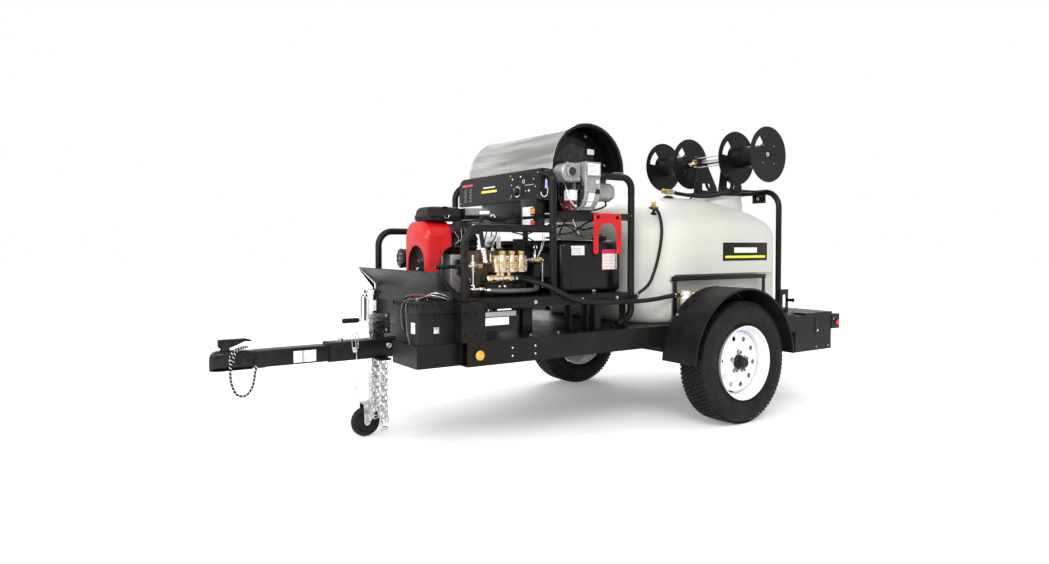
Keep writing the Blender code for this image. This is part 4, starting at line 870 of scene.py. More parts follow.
def make_wiring_loop():
    """The lighting harness, black with a white spiral, held to the coupler at both ends."""
    kit = Kit("wiring_loop_detail")
    route = [
        (-2.44, -0.06, 0.47), (-2.45, -0.062, 0.42), (-2.462, -0.064, 0.36), (-2.492, -0.065, 0.322),
        (-2.53, -0.065, 0.33), (-2.552, -0.063, 0.38), (-2.556, -0.06, 0.44), (-2.55, -0.057, 0.5),
    ]
    path = flowing(route, 0.006)
    kit.tube("plastic", path, 0.0056, 14)
    kit.tube("label", wound(path, 0.0052, 0.017, steps=12), 0.0016, 6)
    for start, side_y in ((0.0, -0.0505), (0.5, -0.0525)):
        over = [
            (-2.556, -0.054, 0.47), (-2.552, side_y, 0.5), (-2.536, -0.046, 0.5255), (-2.514, -0.028, 0.5325),
            (-2.492, -0.006, 0.5335), (-2.478, 0.018, 0.5325)
        ]
        lifted = [Vector(point) + Vector((0.012, 0, 0)) * start * 2 for point in over]
        turn = flowing(lifted, 0.006)
        kit.tube("plastic", turn, 0.0056, 14)
        kit.tube("label", wound(turn, 0.0052, 0.017, start, 12), 0.0016, 6)
    kit.box("plastic", (-2.451, -0.069, 0.456), (-2.427, -0.0486, 0.484), 0.003)
    kit.done("wiring_loop")


def make_chains():
    """Safety chains of welded links, folded up and hung from eye bolts under the tongue."""
    kit = Kit("safety_chain_links")
    pitch, long_half, wide_half, wire = 0.027, 0.0175, 0.011, 0.0036

    def link(centre, down, across):
        centre, down, across = Vector(centre), Vector(down).normalized(), Vector(across).normalized()
        straight = long_half - wide_half + wire / 2
        loop = [(a + straight, b) for a, b in arc((0, 0), wide_half - wire, -90, 90, 7)]
        loop += [(a - straight, b) for a, b in arc((0, 0), wide_half - wire, 90, 270, 7)]
        kit.tube("galvanised", [centre + down * a + across * b for a, b in loop], wire, 8, closed=True)

    def strand(x, y, top, bottom, sway, first):
        count = int((top - bottom) / pitch)
        for i in range(count):
            share = i / max(1, count - 1)
            lean = math.sin(share * math.pi * 2.2 + first) * sway
            turn = math.radians(42 + 90 * ((i + first) % 2))
            across = (math.cos(turn), math.sin(turn), 0)
            link((x + lean, y + lean * 0.4, top - pitch * (i + 0.5)), (lean * 0.6, 0, -1), across)

    for x, y, low, top in ((-1.834, -0.073, 0.074, 0.412), (-1.834, 0.035, 0.114, 0.412)):
        for i, (dx, dy, drop) in enumerate(
            ((-0.015, -0.004, 0.0), (0.015, 0.004, 0.014), (0.0, 0.009, 0.05))
        ):
            strand(x + dx, y + dy * 0.7, top - 0.006 * i, low + drop, 0.0022, i)
        link((x + 0.002, y, low + 0.004), (1, 0, 0.2), (0, 0.3, 1))
        eye = [Vector((x + a, y, 0.417 + b)) for a, b in circle((0, 0), 0.0115, 24)]
        kit.tube("zinc", eye, 0.0034, 10, closed=True)
        kit.rod("zinc", (x, y, 0.4275), (x, y, 0.4346), 0.0045)
    kit.box("black", (-1.865, -0.095, 0.425), (-1.8, 0.06, 0.4347), 0.001)
    kit.done("safety_chains")
    eye = Kit("tongue_eye_bolt")
    ring = [Vector((-1.8 + a, -0.064, 0.497 + b)) for a, b in circle((0, 0), 0.011, 24)]
    eye.tube("zinc", ring, 0.003, 10, closed=True)
    eye.nut("zinc", (-1.8, -0.0505, 0.5), (0, -1, 0), 0.009, 0.007)
    eye.done()


# Jack -------------------------------------------------------------------------------------------

JACK_X, JACK_Y = -1.811, 0.13


def make_jack_outer_detail():
    tube = Kit("jack_outer_detail", "jack_tube")
    wall = [(0.332, 0.0238), (0.332, 0.0285), (0.724, 0.0285), (0.724, 0.0238)]
    tube.lathe("chrome", (JACK_X, JACK_Y, 0), (0, 0, 1), wall, 48, closed=True)
    head = [
        (0.7242, 0), (0.7242, 0.0302), (0.728, 0.031), (0.758, 0.031), (0.766, 0.0285), (0.7695, 0.022),
        (0.77, 0)
    ]
    tube.lathe("chrome", (JACK_X, JACK_Y, 0), (0, 0, 1), head, 48)
    tube.lathe(
        "chrome", (JACK_X, JACK_Y, 0), (0, 0, 1),
        [(0.56, 0.0287), (0.56, 0.0305), (0.64, 0.0305), (0.64, 0.0287)], 48, closed=True
    )
    tube.rod(
        "chrome", (JACK_X, JACK_Y - 0.0315, 0.6), (JACK_X, JACK_Y - 0.022, 0.6), 0.036, edge=0.002, sides=44
    )
    tube.box("label", (JACK_X - 0.01, JACK_Y - 0.0296, 0.66), (JACK_X + 0.01, JACK_Y - 0.0282, 0.715), 0)
    tube.done("jack_outer_tube")


def make_jack_swivel_mount():
    mount = Kit("jack_swivel_mount")
    mount.rod("chrome", (JACK_X, 0.0525, 0.6), (JACK_X, JACK_Y - 0.033, 0.6), 0.03, edge=0.002)
    for turn in range(4):
        angle = math.radians(45 + 90 * turn)
        mount.bolt(
            (JACK_X + 0.022 * math.cos(angle), 0.062, 0.6 + 0.022 * math.sin(angle)), (0, -1, 0), 0.0045,
            "zinc"
        )
    mount.box("galvanised", (JACK_X - 0.05, 0.0512, 0.545), (JACK_X + 0.066, 0.056, 0.65), 0.001)
    mount.tube(
        "zinc",
        bent(
            [(JACK_X + 0.028, 0.068, 0.612), (JACK_X + 0.06, 0.068, 0.612), (JACK_X + 0.06, 0.068, 0.64)],
            0.008
        ), 0.004, 10
    )
    for z in (0.56, 0.635):
        mount.bolt((JACK_X + 0.05, 0.0512, z), (0, -1, 0), 0.007, "zinc")
    mount.done()


def make_jack_leg_detail():
    leg = Kit("jack_leg_detail", "jack_leg")
    leg.rod("galvanised", (JACK_X, JACK_Y, 0.182), (JACK_X, JACK_Y, 0.57), 0.023, edge=0.001, sides=40)
    leg.lathe(
        "zinc", (JACK_X, JACK_Y, 0), (0, 0, 1),
        [(0.1785, 0.0232), (0.1785, 0.03), (0.184, 0.03), (0.187, 0.025), (0.187, 0.0232)], 40, closed=True
    )
    leg.box("zinc", (-1.874, JACK_Y - 0.034, 0.175), (JACK_X + 0.022, JACK_Y + 0.034, 0.18), 0.0015)
    for side in (-1, 1):
        cheek = arc((-1.853, 0.078), 0.0165, 180, 360, 12) + [
            (JACK_X + 0.021, 0.166), (JACK_X + 0.021, 0.176), (-1.873, 0.176), (-1.873, 0.166)
        ]
        low, high = sorted((JACK_Y + side * 0.0305, JACK_Y + side * 0.0338))
        leg.sheet("zinc", [cheek], "XZ", low, high)
        leg.bolt((-1.853, JACK_Y + side * 0.0338, 0.078), (0, side, 0), 0.0085, "zinc")
    leg.rod("zinc", (-1.853, JACK_Y - 0.0335, 0.078), (-1.853, JACK_Y + 0.0335, 0.078), 0.0055)
    leg.done("jack_inner_tube")


def make_jack_wheel_detail():
    wheel = Kit("jack_wheel_detail", "caster")
    section = [
        (-0.0245, 0.0068), (-0.0245, 0.018), (-0.018, 0.021), (-0.016, 0.046), (-0.0215, 0.053),
        (-0.022, 0.064), (-0.0195, 0.0705), (-0.013, 0.0752), (-0.005, 0.0778), (0.005, 0.0778),
        (0.013, 0.0752), (0.0195, 0.0705), (0.022, 0.064), (0.0215, 0.053), (0.016, 0.046), (0.018, 0.021),
        (0.0245, 0.018), (0.0245, 0.0068)
    ]
    wheel.lathe("plastic", (-1.853, JACK_Y, 0.078), (0, 1, 0), section, 56, closed=True)
    for i in range(6):
        turn = Matrix.Rotation(math.radians(60 * i), 4, "Y")
        rib = bmesh.new()
        bmesh.ops.create_cube(rib, size=1.0)
        bmesh.ops.scale(rib, vec=(0.004, 0.038, 0.032), verts=rib.verts)
        bmesh.ops.transform(
            rib,
            matrix=Matrix.Translation((-1.853, JACK_Y, 0.078)) @ turn @ Matrix.Translation((0, 0, 0.034)),
            verts=rib.verts
        )
        wheel.add("plastic", rib)
    wheel.done("jack_wheel")


def make_jack_crank_detail():
    crank = Kit("jack_crank_detail", "jack_handle")
    front = JACK_X - 0.0285 - GAP
    route = [(front, JACK_Y, 0.742), (-1.872, JACK_Y, 0.742), (-1.872, JACK_Y, 0.612), (-1.89, JACK_Y, 0.612)]
    crank.tube("chrome", bent(route, 0.01), 0.0058, 16)
    crank.lathe(
        "chrome", (front, JACK_Y, 0.742), (-1, 0, 0),
        [(0, 0), (0, 0.011), (0.004, 0.012), (0.012, 0.012), (0.015, 0.009), (0.015, 0)], 24
    )
    grip = [
        (0, 0), (0, 0.0095), (0.003, 0.012), (0.012, 0.0128), (0.045, 0.0118), (0.078, 0.013),
        (0.084, 0.0122), (0.089, 0.009), (0.09, 0)
    ]
    crank.lathe("plastic", (-1.885, JACK_Y, 0.612), (-1, 0, 0), grip, 28)
    for i in range(9):
        crank.lathe(
            "plastic", (-1.897 - 0.008 * i, JACK_Y, 0.612), (-1, 0, 0),
            [(0, 0.008), (0, 0.0132), (0.003, 0.0132), (0.003, 0.008)], 28, closed=True
        )
    crank.done("jack_crank")


def make_jack():
    """The jack: outer tube, swivel mount, leg, caster and crank."""
    make_jack_outer_detail()
    make_jack_swivel_mount()
    make_jack_leg_detail()
    make_jack_wheel_detail()
    make_jack_crank_detail()


# Batteries --------------------------------------------------------------------------------------


def make_batteries():
    """Two battery cases side by side, with ribbed lids, straps and their cables."""
    kit = Kit("battery_cases")
    low, high = at_axle("battery_box")
    front, back, lid_low, lid_top = low.x, high.x, 0.69, high.z
    split = (low.y + high.y) / 2
    for y0, y1 in ((low.y, split - 0.001), (split + 0.001, high.y)):
        case_y1 = min(y1 - 0.006, -0.267)
        kit.box(
            "plastic", (front + 0.006, y0 + 0.008, 0.448), (back - 0.006, case_y1, lid_low + 0.004), 0.008,
            segments=3
        )
        rings = []
        for z, inset in (
            (lid_low, 0.0), (0.714, 0.001), (0.718, 0.004), (lid_top - 0.01, 0.01), (lid_top - 0.003, 0.016),
            (lid_top, 0.024)
        ):
            ring = rounded_rectangle(front + inset, back - inset, y0 + inset, y1 - inset, 0.016)
            rings.append([Vector((x, y, z)) for x, y in ring])
        kit.loft("plastic", rings)
        for i in range(4):
            y = y0 + (y1 - y0) * (i + 0.9) / 4.8
            kit.box(
                "plastic", (front + 0.002, y - 0.0055, lid_low + 0.004),
                (front + 0.02, y + 0.0055, lid_top - 0.006), 0.0025
            )
            kit.box(
                "plastic", (front + 0.014, y - 0.0055, lid_top - 0.01),
                (back - 0.014, y + 0.0055, lid_top - 0.0004), 0.0025
            )
        for i in range(4):
            x = front + (back - front) * (i + 0.9) / 4.8
            kit.box(
                "plastic", (x - 0.006, y0 + 0.0008, lid_low + 0.004),
                (x + 0.006, y0 + 0.018, lid_top - 0.006), 0.0025
            )
        strap_x = (front + back) / 2 - 0.01
        strap = [
            (strap_x, y0 + 0.0055, 0.52), (strap_x, y0 + 0.0035, 0.7), (strap_x, y0 + 0.016, lid_top - 0.001)
        ]
        kit.tube("hose", flowing(strap, 0.02), 0.0035, 8)
        kit.box("zinc", (strap_x - 0.014, y0 + 0.0005, 0.6), (strap_x + 0.014, y0 + 0.008, 0.63), 0.0015)
    kit.box("label", (front + 0.004, -0.492, 0.6), (front + 0.0064, -0.452, 0.65), 0)
    kit.done("battery_box")
    cables = Kit("battery_cables")
    top = lid_top
    red = [
        (-1.738, -0.392, 0.7), (-1.756, -0.43, 0.752), (-1.775, -0.44, 0.768), (-1.8, -0.405, 0.77),
        (-1.812, -0.34, 0.764), (-1.81, -0.29, 0.752), (-1.8, -0.255, 0.742)
    ]
    cables.tube("dark_red", flowing(red, 0.01), 0.0058, 12)
    for i, lift in enumerate((0.0, 0.01)):
        silver = [
            (-1.69 + 0.018 * i, -0.5, top + 0.002), (-1.73 + 0.014 * i, -0.505, top + 0.018 + lift),
            (-1.775 + 0.012 * i, -0.49, top + 0.027 + lift), (-1.8 + 0.01 * i, -0.44, top + 0.014),
            (-1.806 + 0.01 * i, -0.4, top + 0.004)
        ]
        cables.tube("galvanised", flowing(silver, 0.008), 0.0022, 8)
    drop = [
        (-1.79, -0.4, top + 0.006), (-1.846, -0.405, top + 0.002), (-1.8635, -0.41, 0.715),
        (-1.8632, -0.414, 0.66), (-1.864, -0.425, 0.6), (-1.8625, -0.446, 0.56), (-1.86, -0.45, 0.52)
    ]
    cables.tube("grey_hose", flowing(drop, 0.01), 0.0022, 8)
    drop = [
        (-1.786, -0.388, top + 0.006), (-1.842, -0.372, top + 0.003), (-1.8638, -0.364, 0.712),
        (-1.8636, -0.36, 0.65), (-1.8625, -0.378, 0.61)
    ]
    cables.tube("grey_hose", flowing(drop, 0.01), 0.002, 8)
    for x, y in ((-1.8, -0.4), (-1.742, -0.398)):
        cables.lathe(
            "zinc", (x, y, top - 0.001), (0, 0, 1),
            [(0, 0), (0, 0.01), (0.006, 0.01), (0.007, 0.0075), (0.012, 0.0075), (0.013, 0)], 16
        )
    cables.done()


def make_front_guard():
    """The front guard's edges, bolts and headboard."""
    kit = Kit("front_guard_details")
    kit.box("black", (-1.638, -0.498, 0.558), (-1.6345, 0.498, 0.7), 0.001)
    for y in (-0.44, 0.0, 0.44):
        kit.bolt((-1.6434, y, 0.735), (-1, 0, 0), 0.007, "black")
    kit.tube("black", [(-1.7445, -0.497, 0.8752), (-1.7445, 0.497, 0.8752)], 0.003, 10)
    for side in (-1, 1):
        plate = [
            (-1.652, 0.7), (-1.652, 0.78), (-1.741, 0.868), (-1.741, 0.862), (-1.662, 0.76), (-1.662, 0.7)
        ]
        low, high = sorted((side * 0.4945, side * 0.4975))
        kit.sheet("black", [plate], "XZ", low, high)
    for x in (-1.655, -1.6):
        for z in (0.59, 0.69):
            kit.bolt((x, -0.6, z), (0, -1, 0), 0.0065, "black")
            kit.bolt((x, 0.6, z), (0, 1, 0), 0.0065, "black")
    kit.done()


# Skid and cage ----------------------------------------------------------------------------------

SKID_FRONT, SKID_BACK, SKID_Y, SKID_LOW, SKID_TOP = -1.64, -0.605, 0.545, 0.697, 0.747
CAGE_Y, CAGE_R = 0.52, 0.019
CAGE_FRONT, CAGE_MIDDLE, CAGE_BACK = -1.615, -1.106, -0.578
LOW_TOP, BAR_Z, TALL_TOP = 1.085, 1.155, 1.37


def make_cages():
    """The bent tubes of both cages, with their feet."""
    for prefix, side in (("left", -1), ("right", 1)):
        kit = Kit(f"{prefix}_cage_tubes")
        y, foot = side * CAGE_Y, SKID_TOP + GAP
        front_leg = [(CAGE_MIDDLE, y, foot), (CAGE_MIDDLE, y, TALL_TOP)]
        rear_leg = [(CAGE_BACK, y, TALL_TOP), (CAGE_BACK, y, 0.62), (CAGE_BACK - 0.1, y, 0.5785)]
        if side > 0:
            kit.tube("black", bent(front_leg + rear_leg, 0.085, 12), CAGE_R, 24)
        else:
            route = [(-0.8, -0.3303, TALL_TOP), (-0.8, y, TALL_TOP), *rear_leg]
            kit.tube("black", bent(route, 0.06, 12), CAGE_R, 24)
            kit.tube("black", bent([*front_leg, (CAGE_MIDDLE, -0.4403, TALL_TOP)], 0.045, 10), CAGE_R, 24)
        low = [(CAGE_FRONT, y, foot), (CAGE_FRONT, y, LOW_TOP), (CAGE_MIDDLE, y, LOW_TOP)]
        kit.tube("black", bent(low, 0.085, 12), CAGE_R, 24)
        kit.box(
            "black", (CAGE_MIDDLE, y - 0.017, BAR_Z - 0.0185), (CAGE_BACK, y + 0.017, BAR_Z + 0.0185), 0.003
        )
        for x in (CAGE_FRONT, CAGE_MIDDLE):
            kit.lathe(
                "satin", (x, y, foot), (0, 0, 1),
                [(0, CAGE_R), (0, CAGE_R + 0.006), (0.003, CAGE_R + 0.0045), (0.006, CAGE_R)], 24, closed=True
            )
        for x, z, along in (
            (CAGE_MIDDLE, LOW_TOP, (-1, 0, 0)), (CAGE_MIDDLE, BAR_Z, (1, 0, 0)),
            (CAGE_BACK, BAR_Z, (-1, 0, 0))
        ):
            start = Vector((x, y, z)) + Vector(along) * CAGE_R * 0.85
            kit.lathe(
                "satin", start, along,
                [(0, CAGE_R - 0.001), (0, CAGE_R + 0.005), (0.005, CAGE_R + 0.001), (0.005, CAGE_R - 0.001)],
                24, closed=True
            )
        kit.done(f"{prefix}_cage")


def make_skid_details():
    """Bolts, channels and plates on the skid."""
    kit = Kit("skid_details")
    for side in (-1, 1):
        y = side * SKID_Y
        for x in (-1.5, -1.23, -0.935, -0.7):
            kit.bolt((x, y, 0.722), (0, side, 0), 0.0065, "zinc" if x > -1.3 else "black")
        kit.tube(
            "black",
            [
                (SKID_FRONT + 0.002, y - side * 0.002, SKID_TOP - 0.002),
                (SKID_BACK - 0.002, y - side * 0.002, SKID_TOP - 0.002)
            ], 0.0028, 8
        )
        for x in (-1.01, -0.9, -0.64):
            kit.box(
                "black", (x - 0.003, min(y, y - side * 0.05), 0.5575),
                (x + 0.003, max(y, y - side * 0.05), SKID_LOW - 0.0004), 0.0008
            )
        kit.box("black", (-0.6, side * 0.5 - 0.02, 0.5572), (-0.7, side * 0.5 + 0.02, 0.564), 0.001)
    kit.box("label", (-1.549, -0.5995, 0.628), (-1.421, -0.5965, 0.664), 0.0005)
    kit.box("print", (-1.549, -0.5995, 0.668), (-1.38, -0.5965, 0.69), 0.0005)
    kit.box("black", (-1.556, -0.5964, 0.6), (-1.376, -0.593, 0.696), 0.0008)
    kit.box("black", (-1.556, -0.596, 0.5575), (-1.54, -0.546, 0.6965), 0.001)
    for x in (-1.25, -1.08):
        kit.bolt((x, -0.53, 0.5565), (0, 0, 1), 0.008, "zinc")
    for y in (-0.44, 0.0, 0.44):
        kit.box("black", (-1.25, y - 0.02, 0.5572), (-1.19, y + 0.02, SKID_LOW - 0.0004), 0.002)
    kit.done()


# Engine -----------------------------------------------------------------------------------------

ENGINE_FRONT, CRANK_Z = -1.48, 0.92


def make_shroud():
    """The engine's red cowl with its screen, and the fan behind it."""
    kit = Kit("engine_shroud_shell")

    def sections(grow, stations):
        rings = []
        for x, inset in stations:
            half, low, high = 0.138 - inset - grow, 0.77 + grow, 1.13 - inset * 0.8 - grow
            ring = [(half, low), (half, low + 0.12)]
            ring += arc((half - 0.09, high - 0.09), 0.09, 0, 90, 14) + arc(
                (-half + 0.09, high - 0.09), 0.09, 90, 180, 14
            )
            ring += [(-half, low + 0.12), (-half, low)]
            rings.append([Vector((x, y, z)) for y, z in ring])
        return rings

    outer = [(-1.6195, 0.018), (-1.618, 0.012), (-1.614, 0.006), (-1.608, 0.002), (-1.6, 0.0), (-1.4815, 0.0)]
    kit.loft("red", sections(0.0, outer))
    hollow = Kit("shroud_hollow")
    hollow.loft("red", sections(0.004, [(-1.615, 0.01), (-1.6, 0.0), (-1.47, 0.0)]))
    kit.cut("red", hollow)
    side_cut = Kit("shroud_side_cut")
    cheek = [(-1.47, 0.7), (-1.558, 0.7)]
    cheek += [
        (-1.558 + 0.078 * (1 - math.cos(t)), 0.86 + 0.135 * math.sin(t))
        for t in (math.radians(9 * i) for i in range(11))
    ]
    side_cut.sheet("red", [cheek + [(-1.47, 0.995)]], "XZ", -0.2, 0.2)
    arch = [(-0.1, 0.7), (0.1, 0.7)] + arc((0, 0.905), 0.1, 0, 180, 24)
    side_cut.sheet("red", [arch], "YZ", -1.64, -1.6)
    kit.cut("red", side_cut)
    arch_rim = [(0.099, 0.772)] + arc((0, 0.905), 0.099, 0, 180, 24) + [(-0.099, 0.772)]
    kit.tube("red", [Vector((-1.6165, y, z)) for y, z in arch_rim], 0.003, 8)
    screen = [(-0.0985, 0.7725), (0.0985, 0.7725)] + arc((0, 0.905), 0.0985, 0, 180, 24)
    mouth = circle((0, CRANK_Z), 0.082, 40)
    kit.sheet("plastic", [screen, mouth], "YZ", -1.609, -1.604)
    for i in range(9):
        radius = 0.014 + 0.0085 * i
        kit.tube(
            "plastic", [Vector((-1.6065, y, z)) for y, z in circle((0, CRANK_Z), radius, 40)], 0.0013, 6,
            closed=True
        )
    for i in range(12):
        turn = math.radians(30 * i)
        start = Vector((-1.6062, 0.01 * math.cos(turn), CRANK_Z + 0.01 * math.sin(turn)))
        kit.tube(
            "plastic", [start, Vector((-1.6062, 0.083 * math.cos(turn), CRANK_Z + 0.083 * math.sin(turn)))],
            0.0014, 6
        )
    for y, z in ((-0.12, 0.8), (0.12, 0.8), (-0.118, 1.045), (0.118, 1.045)):
        kit.lathe(
            "zinc", (-1.6172, y, z), (-1, 0, 0),
            [(0, 0), (0, 0.007), (0.0016, 0.007), (0.002, 0.0045), (0.0024, 0)], 16
        )
    kit.done("engine_shroud")
    fan = Kit("flywheel_fan_blades", "crankshaft")
    hub = Vector((-1.6, 0, CRANK_Z))
    fan.lathe(
        "cast", hub, (1, 0, 0),
        [(0, 0), (0, 0.016), (0.006, 0.02), (0.02, 0.026), (0.026, 0.046), (0.118, 0.046), (0.118, 0)], 36
    )
    fan.lathe(
        "cast", hub, (1, 0, 0), [(0.068, 0.044), (0.066, 0.125), (0.076, 0.125), (0.079, 0.044)], 60,
        closed=True
    )
    for i in range(22):
        turn = Matrix.Rotation(2 * math.pi * i / 22, 4, "X")
        blade = bmesh.new()
        bmesh.ops.create_cube(blade, size=1.0)
        bmesh.ops.scale(blade, vec=(0.042, 0.06, 0.003), verts=blade.verts)
        set_in = Matrix.Translation((0.047, 0.088, 0)) @ Matrix.Rotation(math.radians(14), 4, "X")
        bmesh.ops.transform(blade, matrix=Matrix.Translation(hub) @ turn @ set_in, verts=blade.verts)
        fan.add("cast", blade)
    fan.done("flywheel_fan")


def make_engine_block():
    """Crankcase, two finned cylinders in a V, rocker covers, carburettor and starter."""
    kit = Kit("engine_block_castings")
    kit.box("cast", (ENGINE_FRONT, -0.124, 0.7475), (-1.181, 0.124, 0.955), 0.01, segments=3)
    kit.box("dark_metal", (-1.25, -0.11, 0.76), (-1.181, 0.11, 0.978), 0.008)
    kit.lathe(
        "cast", (-1.196, 0, CRANK_Z), (1, 0, 0),
        [(0, 0), (0, 0.055), (0.012, 0.052), (0.015, 0.034), (0.015, 0)], 40
    )
    for side in (-1, 1):
        lean = Matrix.Rotation(side * math.radians(-45), 4, "X")
        base = Matrix.Translation((-1.394, 0, CRANK_Z)) @ lean
        for i in range(9):
            fin = Kit("fin")
            fin.box(
                "dark_metal", (-0.072, -0.047, 0.062 + 0.0098 * i), (0.072, 0.047, 0.0655 + 0.0098 * i),
                0.0008
            )
            bmesh.ops.transform(fin.meshes["dark_metal"], matrix=base, verts=fin.meshes["dark_metal"].verts)
            kit.add("dark_metal", fin.meshes["dark_metal"])
        core = Kit("core")
        core.box("cast", (-0.06, -0.039, 0.02), (0.06, 0.039, 0.158), 0.006)
        core.box("dark_metal", (-0.066, -0.044, 0.156), (0.066, 0.044, 0.172), 0.004)
        core.box("plastic", (-0.058, -0.04, 0.171), (0.058, 0.04, 0.203), 0.009, segments=3)
        for finish in ("cast", "dark_metal", "plastic"):
            bmesh.ops.transform(core.meshes[finish], matrix=base, verts=core.meshes[finish].verts)
            kit.add(finish, core.meshes[finish])
    kit.rod("dark_metal", (-1.455, 0.03, 1.045), (-1.33, 0.03, 1.045), 0.022)
    kit.box("cast", (-1.44, -0.03, 1.02), (-1.36, 0.02, 1.118), 0.008)
    kit.rod("zinc", (-1.43, -0.128, 0.905), (-1.29, -0.128, 0.905), 0.021)
    kit.rod("dark_metal", (-1.44, -0.13, 0.87), (-1.34, -0.13, 0.87), 0.016)
    for i in range(7):
        kit.bolt((-1.46 + 0.042 * i, -0.124, 0.768), (0, -1, 0), 0.0058, "zinc")
        kit.bolt((-1.46 + 0.042 * i, 0.124, 0.768), (0, 1, 0), 0.0058, "zinc")
    kit.lathe(
        "dark_metal", (-1.35, -0.118, 0.815), (0, -1, 0),
        [(0, 0), (0, 0.036), (0.07, 0.036), (0.078, 0.03), (0.078, 0)], 32
    )
    kit.done("engine_block")


def make_air_cleaner_cover():
    kit = Kit("air_cleaner_cover")
    rings = []
    stations = (
        (1.1305, 0.01), (1.133, 0.004), (1.15, 0.002), (1.1525, 0.0), (1.156, 0.0), (1.16, 0.004),
        (1.188, 0.01), (1.1985, 0.018), (1.2035, 0.03), (1.2048, 0.045)
    )
    for z, inset in stations:
        ring = rounded_rectangle(
            -1.609 + inset, -1.401 - inset * 0.6, -0.129 + inset, 0.059 - inset, 0.024, 8
        )
        rings.append([Vector((x, y, z)) for x, y in ring])
    kit.loft("plastic", rings)
    for i in range(10):
        y = -0.1 + 0.0142 * i
        kit.box("plastic", (-1.6088, y, 1.1345), (-1.6, y + 0.0075, 1.148), 0.001)
    for y in (-0.11, 0.04):
        kit.rod("plastic", (-1.505, y, 1.199), (-1.505, y, 1.2049), 0.014, edge=0.002)
    for y in (-0.1295, 0.0555):
        kit.tube(
            "zinc",
            flowing(
                [
                    (-1.52, y, 1.158), (-1.512, y - 0.0005, 1.146), (-1.498, y - 0.0005, 1.146),
                    (-1.49, y, 1.158)
                ], 0.004
            ), 0.0016, 8
        )
    kit.done("air_cleaner")


def make_muffler_shell():
    exhaust = Kit("muffler_shell")
    at = (-1.6, 0.245, 0.93)
    body = [
        (0, 0), (0, 0.05), (0.003, 0.0548), (0.008, 0.0548), (0.01, 0.0525), (0.27, 0.0525), (0.272, 0.0548),
        (0.277, 0.0548), (0.28, 0.05), (0.28, 0)
    ]
    exhaust.lathe("satin", at, (1, 0, 0), body, 44)
    for i in range(6):
        exhaust.lathe(
            "satin", (-1.56 + 0.04 * i, 0.245, 0.93), (1, 0, 0),
            [(0, 0.052), (0, 0.0548), (0.004, 0.0548), (0.004, 0.052)], 44, closed=True
        )
    for z in (0.905, 0.93, 0.955):
        for i in range(7):
            exhaust.rod(
                "zinc", (-1.604, 0.215 + 0.01 * i, z), (-1.5995, 0.215 + 0.01 * i, z), 0.0022, sides=10
            )
    for y in (0.15, 0.19):
        exhaust.tube(
            "dark_metal",
            flowing([(-1.4, y - 0.04, 0.96), (-1.4, y + 0.01, 0.985), (-1.4, 0.235, 0.975)], 0.01), 0.013, 14
        )
    exhaust.done("muffler")


def make_engine_controls():
    top = Kit("engine_controls")
    top.box("grey", (-1.396, -0.2, 1.16), (-1.298, -0.13, 1.196), 0.003)
    top.box("plastic", (-1.4, -0.13, 1.14), (-1.29, 0.08, 1.199), 0.006)
    top.lathe(
        "white_plastic", (-1.345, -0.2, 1.172), (0.6, -0.8, 0),
        [(0, 0), (0, 0.01), (0.05, 0.01), (0.054, 0.007), (0.054, 0)], 20
    )
    for i in range(4):
        top.rod(
            "zinc", (-1.388 + 0.014 * i, -0.2005, 1.167), (-1.388 + 0.014 * i, -0.203, 1.167), 0.003, sides=12
        )
    ring = [Vector((-1.272 + a, -0.205, 1.15 + b)) for a, b in circle((0, 0), 0.0135, 28)]
    top.tube("white_plastic", ring, 0.0042, 12, closed=True)
    top.tube(
        "plastic", flowing([(-1.272, -0.205, 1.135), (-1.268, -0.2, 1.1), (-1.27, -0.18, 1.04)], 0.01), 0.003,
        8
    )
    bracket = [(-1.478, 1.128), (-1.43, 1.128), (-1.33, 1.1), (-1.3, 1.06), (-1.33, 1.06), (-1.478, 1.075)]
    top.sheet("dark_metal", [bracket], "XZ", -0.16, -0.157)
    linkages = (
        (-1.47, -0.15, 1.075, -1.415, -0.155, 0.965), (-1.44, -0.165, 1.09, -1.44, -0.16, 0.945),
        (-1.42, -0.168, 1.095, -1.395, -0.165, 0.94), (-1.475, -0.17, 1.01, -1.385, -0.175, 1.085),
        (-1.47, -0.168, 0.94, -1.32, -0.175, 0.948)
    )
    for x0, y0, z0, x1, y1, z1 in linkages:
        top.tube(
            "zinc",
            flowing(
                [(x0, y0, z0), ((x0 + x1) / 2 + 0.004, (y0 + y1) / 2 - 0.006, (z0 + z1) / 2), (x1, y1, z1)],
                0.015
            ), 0.0019, 8
        )
    spring = wound(flowing([(-1.462, -0.172, 1.028), (-1.42, -0.176, 1.03)], 0.004), 0.0045, 0.004, steps=10)
    top.tube("zinc", spring, 0.0009, 6)
    top.rod("white_plastic", (-1.305, -0.2, 1.03), (-1.262, -0.2, 1.03), 0.014)
    top.rod("label", (-1.245, -0.16, 1.06), (-1.245, -0.16, 1.01), 0.011)
    hang = Matrix.Rotation(math.radians(8), 3, "Y")
    top.box("label", (-1.318, -0.188, 0.995), (-1.262, -0.185, 1.048), 0.0008, hang)
    top.box("label", (-1.235, -0.185, 0.985), (-1.208, -0.182, 1.05), 0.0008)
    top.box("satin", (-1.46, -0.2, 0.89), (-1.36, -0.128, 0.93), 0.006)
    top.done()


